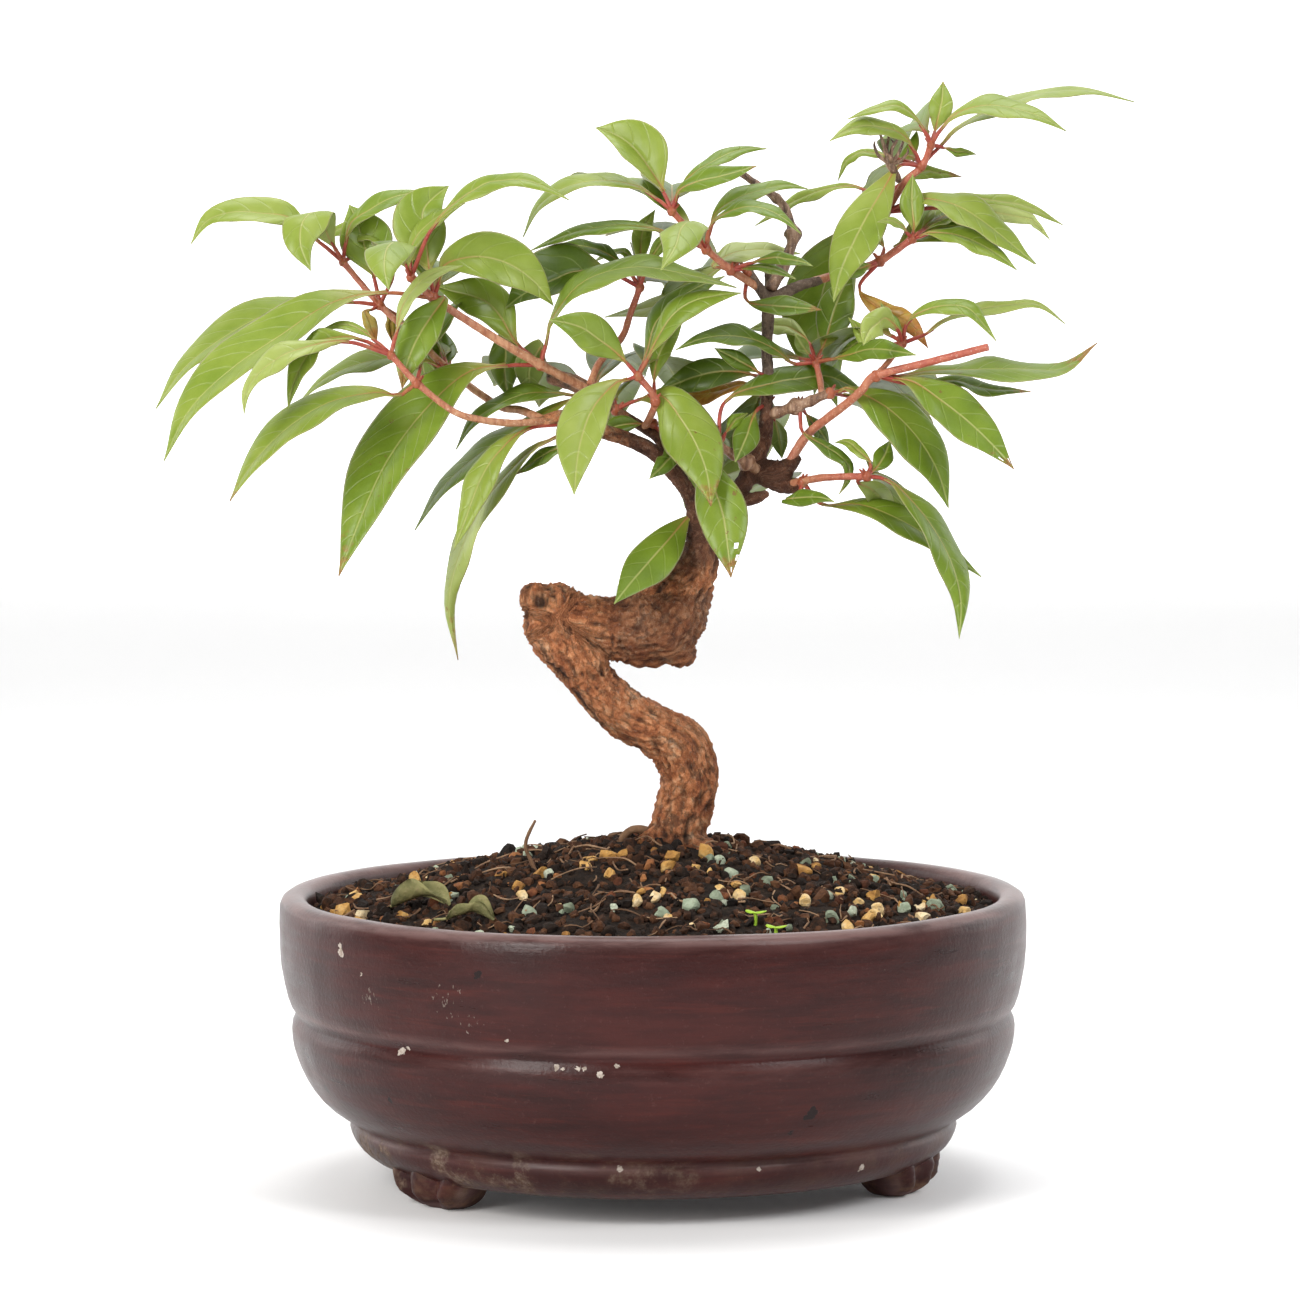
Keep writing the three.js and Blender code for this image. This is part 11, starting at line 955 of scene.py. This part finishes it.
def build_litter():
    curled("dry_leaf_left", "fallen_leaf_left", [[-68, -37, 0], [-64, -41, 1.6], [-60, -43, 2.6], [-56, -45, 1.8], [-53, -48, 0.0]], 5.4, 1.2, 1.75, 1.0)
    curled("dry_leaf_front", "fallen_leaf_front", [[-53, -60, .2], [-49, -62, 1.4], [-45, -63, 1.8], [-41, -66, .0]], 4.4, 1.2, 1.6, 3.0)
    B = Build(); z = top(-31, -24)
    tube(B, [[-31, -24, z - .5, .6], [-32.5, -24, z + 3, .55], [-33.6, -24, z + 6, .5], [-33, -24, z + 9, .5], [-31, -24, z + 13, .35]], sides=8, bump=.2, A=(.3, 0, 0, 1))
    B.done("dead_twig", MAT_FIBRE, "dry_wood", "dry_twig")
    for nm, node, x, y, h in (("green_seedling_left", "seedling_left", 26, -72, 2.4), ("green_seedling_right", "seedling_right", 31, -80, 2.0)):
        B = Build(); z = top(x, y)
        tube(B, [[x, y, z - 1, .5], [x + .3, y, z + .8 + h * .6, .45], [x, y, z + .8 + h, .4]], sides=8, A=(.4, 0, 0, 1))
        V0, F0 = ico(3)
        for a in (0, 2.3):
            V = V0 * [1.7, 1.1, .30] + [1.4, 0, 0]; V[:, 2] += .10 * V[:, 0] ** 2 * .5 - .12 * V[:, 1] ** 2
            c, s = math.cos(a), math.sin(a); V = V @ np.array([[c, s, 0], [-s, c, 0], [0, 0, 1]]) + [x, y, z + .8 + h]
            B.add(V, F0, None, np.tile([.6, 0, 0, 1], (len(V), 1)))
        B.done(nm, MAT_SEED, "seedling", node)
    # dried flower stalks and bracts near the tip of the top right shoot
    B = Build(); rng = np.random.default_rng(4); c = np.array([64.6, 11, 272.5])
    tube(B, [[67, 13, 268, .8], [*c, 1.3], [*(c + [-.5, 0, 2.5]), 1.1]], sides=8, step=.5, bump=.4, A=(.2, 0, 1, 1))
    for dx, dy, dz in ((-3.2, -1, 9), (-.4, 1, 8), (2.0, -2, 7.2), (4.6, -1, 3.2), (-4.4, 0, 5), (1, 3, 5.5), (-2, -3, 3.5), (3.4, 2, 6)):
        e = c + [dx, dy, dz]; tube(B, [[*c, .7], [*(c + np.array([dx, dy, dz]) * .5 + rng.normal(size=3) * .5), .55], [*e, .35], [*(e + [rng.uniform(-1, 1), 0, 1.2]), .15]], sides=6, step=.5, bump=.3, A=(.2, 0, 1, 1))
    o = B.done("dried_bracts", MAT_STEM, "dry_wood")
    B = Build()
    for a, b in (((2.0, -.6, 92.5), (-9.5, -4, 90.5)),):
        tube(B, [[*a, 1.5], [-3, -3, 94.6, 1.2], [-6.2, -4, 94.3, 1.1], [*b, .9]], sides=8, bump=.2, A=(.3, 0, 0, 1))
    B.done("root_arch", MAT_FIBRE, "bark")

# ================================================================ make everything
build_pot(); build_soil(); build_grains(); build_litter(); build_trunk(); build_stems(); build_leaves()

t = NT("mesh_plastic")
n1 = t.noise(900, 3); wv = t.n("TexWave"); wv.inputs["Scale"].default_value = 300; t.l(t.coords(), wv.inputs["Vector"])
m = t.finish(t.ramp(n1, (.3, (.012, .018, .012)), (.7, (.03, .042, .028))), .55, t.bump(wv.outputs["Fac"], .0002, .5))
for s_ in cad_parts["drain_screen"].material_slots: s_.material = m
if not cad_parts["drain_screen"].material_slots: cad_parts["drain_screen"].data.materials.append(m)

# ================================================================ floor, light, camera
bpy.ops.mesh.primitive_plane_add(size=14, location=(0, 0, 0)); floor = bpy.context.object; floor.name = "floor"
t = NT("floor"); fn = t.noise(3, 2); floor.data.materials.append(t.finish(t.ramp(fn, (0.0, (.90, .90, .90)), (1.0, (.93, .93, .93))), .6, None, spec=.25))
for nd in t.t.nodes:
    if nd.type == 'BSDF_PRINCIPLED': nd.inputs["Emission Color"].default_value = (1, 1, 1, 1); nd.inputs["Emission Strength"].default_value = .03
bpy.ops.mesh.primitive_plane_add(size=9, location=(0, 2.6, 0), rotation=(math.radians(90), 0, 0)); wall = bpy.context.object; wall.name = "backdrop"
t = NT("backdrop"); wn = t.noise(2, 2); wall.data.materials.append(t.finish((.9, .9, .9), .8, None, spec=.1))
for nd in t.t.nodes:
    if nd.type == 'BSDF_PRINCIPLED': nd.inputs["Emission Color"].default_value = (1, 1, 1, 1); nd.inputs["Emission Strength"].default_value = .95
w = bpy.data.worlds.new("studio"); bpy.context.scene.world = w; w.use_nodes = True
w.node_tree.nodes["Background"].inputs[0].default_value = (1, 1, 1, 1); w.node_tree.nodes["Background"].inputs[1].default_value = 0.26
def area(name, loc, target, size, power, col=(1, 1, 1), sy=None):
    l = bpy.data.lights.new(name, 'AREA'); l.shape = 'RECTANGLE'; l.size = size; l.size_y = sy or size; l.energy = power; l.color = col
    o = bpy.data.objects.new(name, l); bpy.context.scene.collection.objects.link(o); o.location = loc
    o.rotation_euler = (Vector(target) - Vector(loc)).to_track_quat('-Z', 'Y').to_euler(); return o
area("key", (-.82, -.95, .70), (0, 0, .13), .36, 17, (1, .985, .96), sy=.95)
area("fill", (.85, -.85, .95), (0, 0, .12), .40, 9, (.98, .99, 1), sy=.6)
area("top", (.1, .25, 1.5), (0, 0, .1), .9, 14)
area("rim_left", (-1.1, .55, .45), (0, 0, .12), .5, 3, sy=.8)
area("rim_right", (1.1, .5, .45), (0, 0, .12), .5, 3, sy=.8)
bpy.context.scene.view_settings.view_transform = 'Standard'

el, roll, D, TX, TZ, F_PX = math.radians(4.24), math.radians(0.2), 1400.0, 0.50, -66.23, 5198.2
fwd = Vector((0, math.cos(el), -math.sin(el))); right = Vector((1, 0, 0)); up = right.cross(fwd)
C = -D * fwd - TX * right - TZ * up + Vector((0, 0, 76.3))
r2 = right * math.cos(roll) - up * math.sin(roll); u2 = right * math.sin(roll) + up * math.cos(roll)
cam = bpy.data.cameras.new("camera"); co = bpy.data.objects.new("camera", cam); bpy.context.scene.collection.objects.link(co)
M = Matrix.Identity(4)
for i in range(3): M[i][0], M[i][1], M[i][2] = r2[i], u2[i], -fwd[i]
M.translation = Vector(mm(C[:]))
co.matrix_world = M; cam.sensor_width = 36; cam.sensor_fit = 'HORIZONTAL'; cam.lens = F_PX / 1300 * 36; cam.clip_start = .01
bpy.context.scene.camera = co
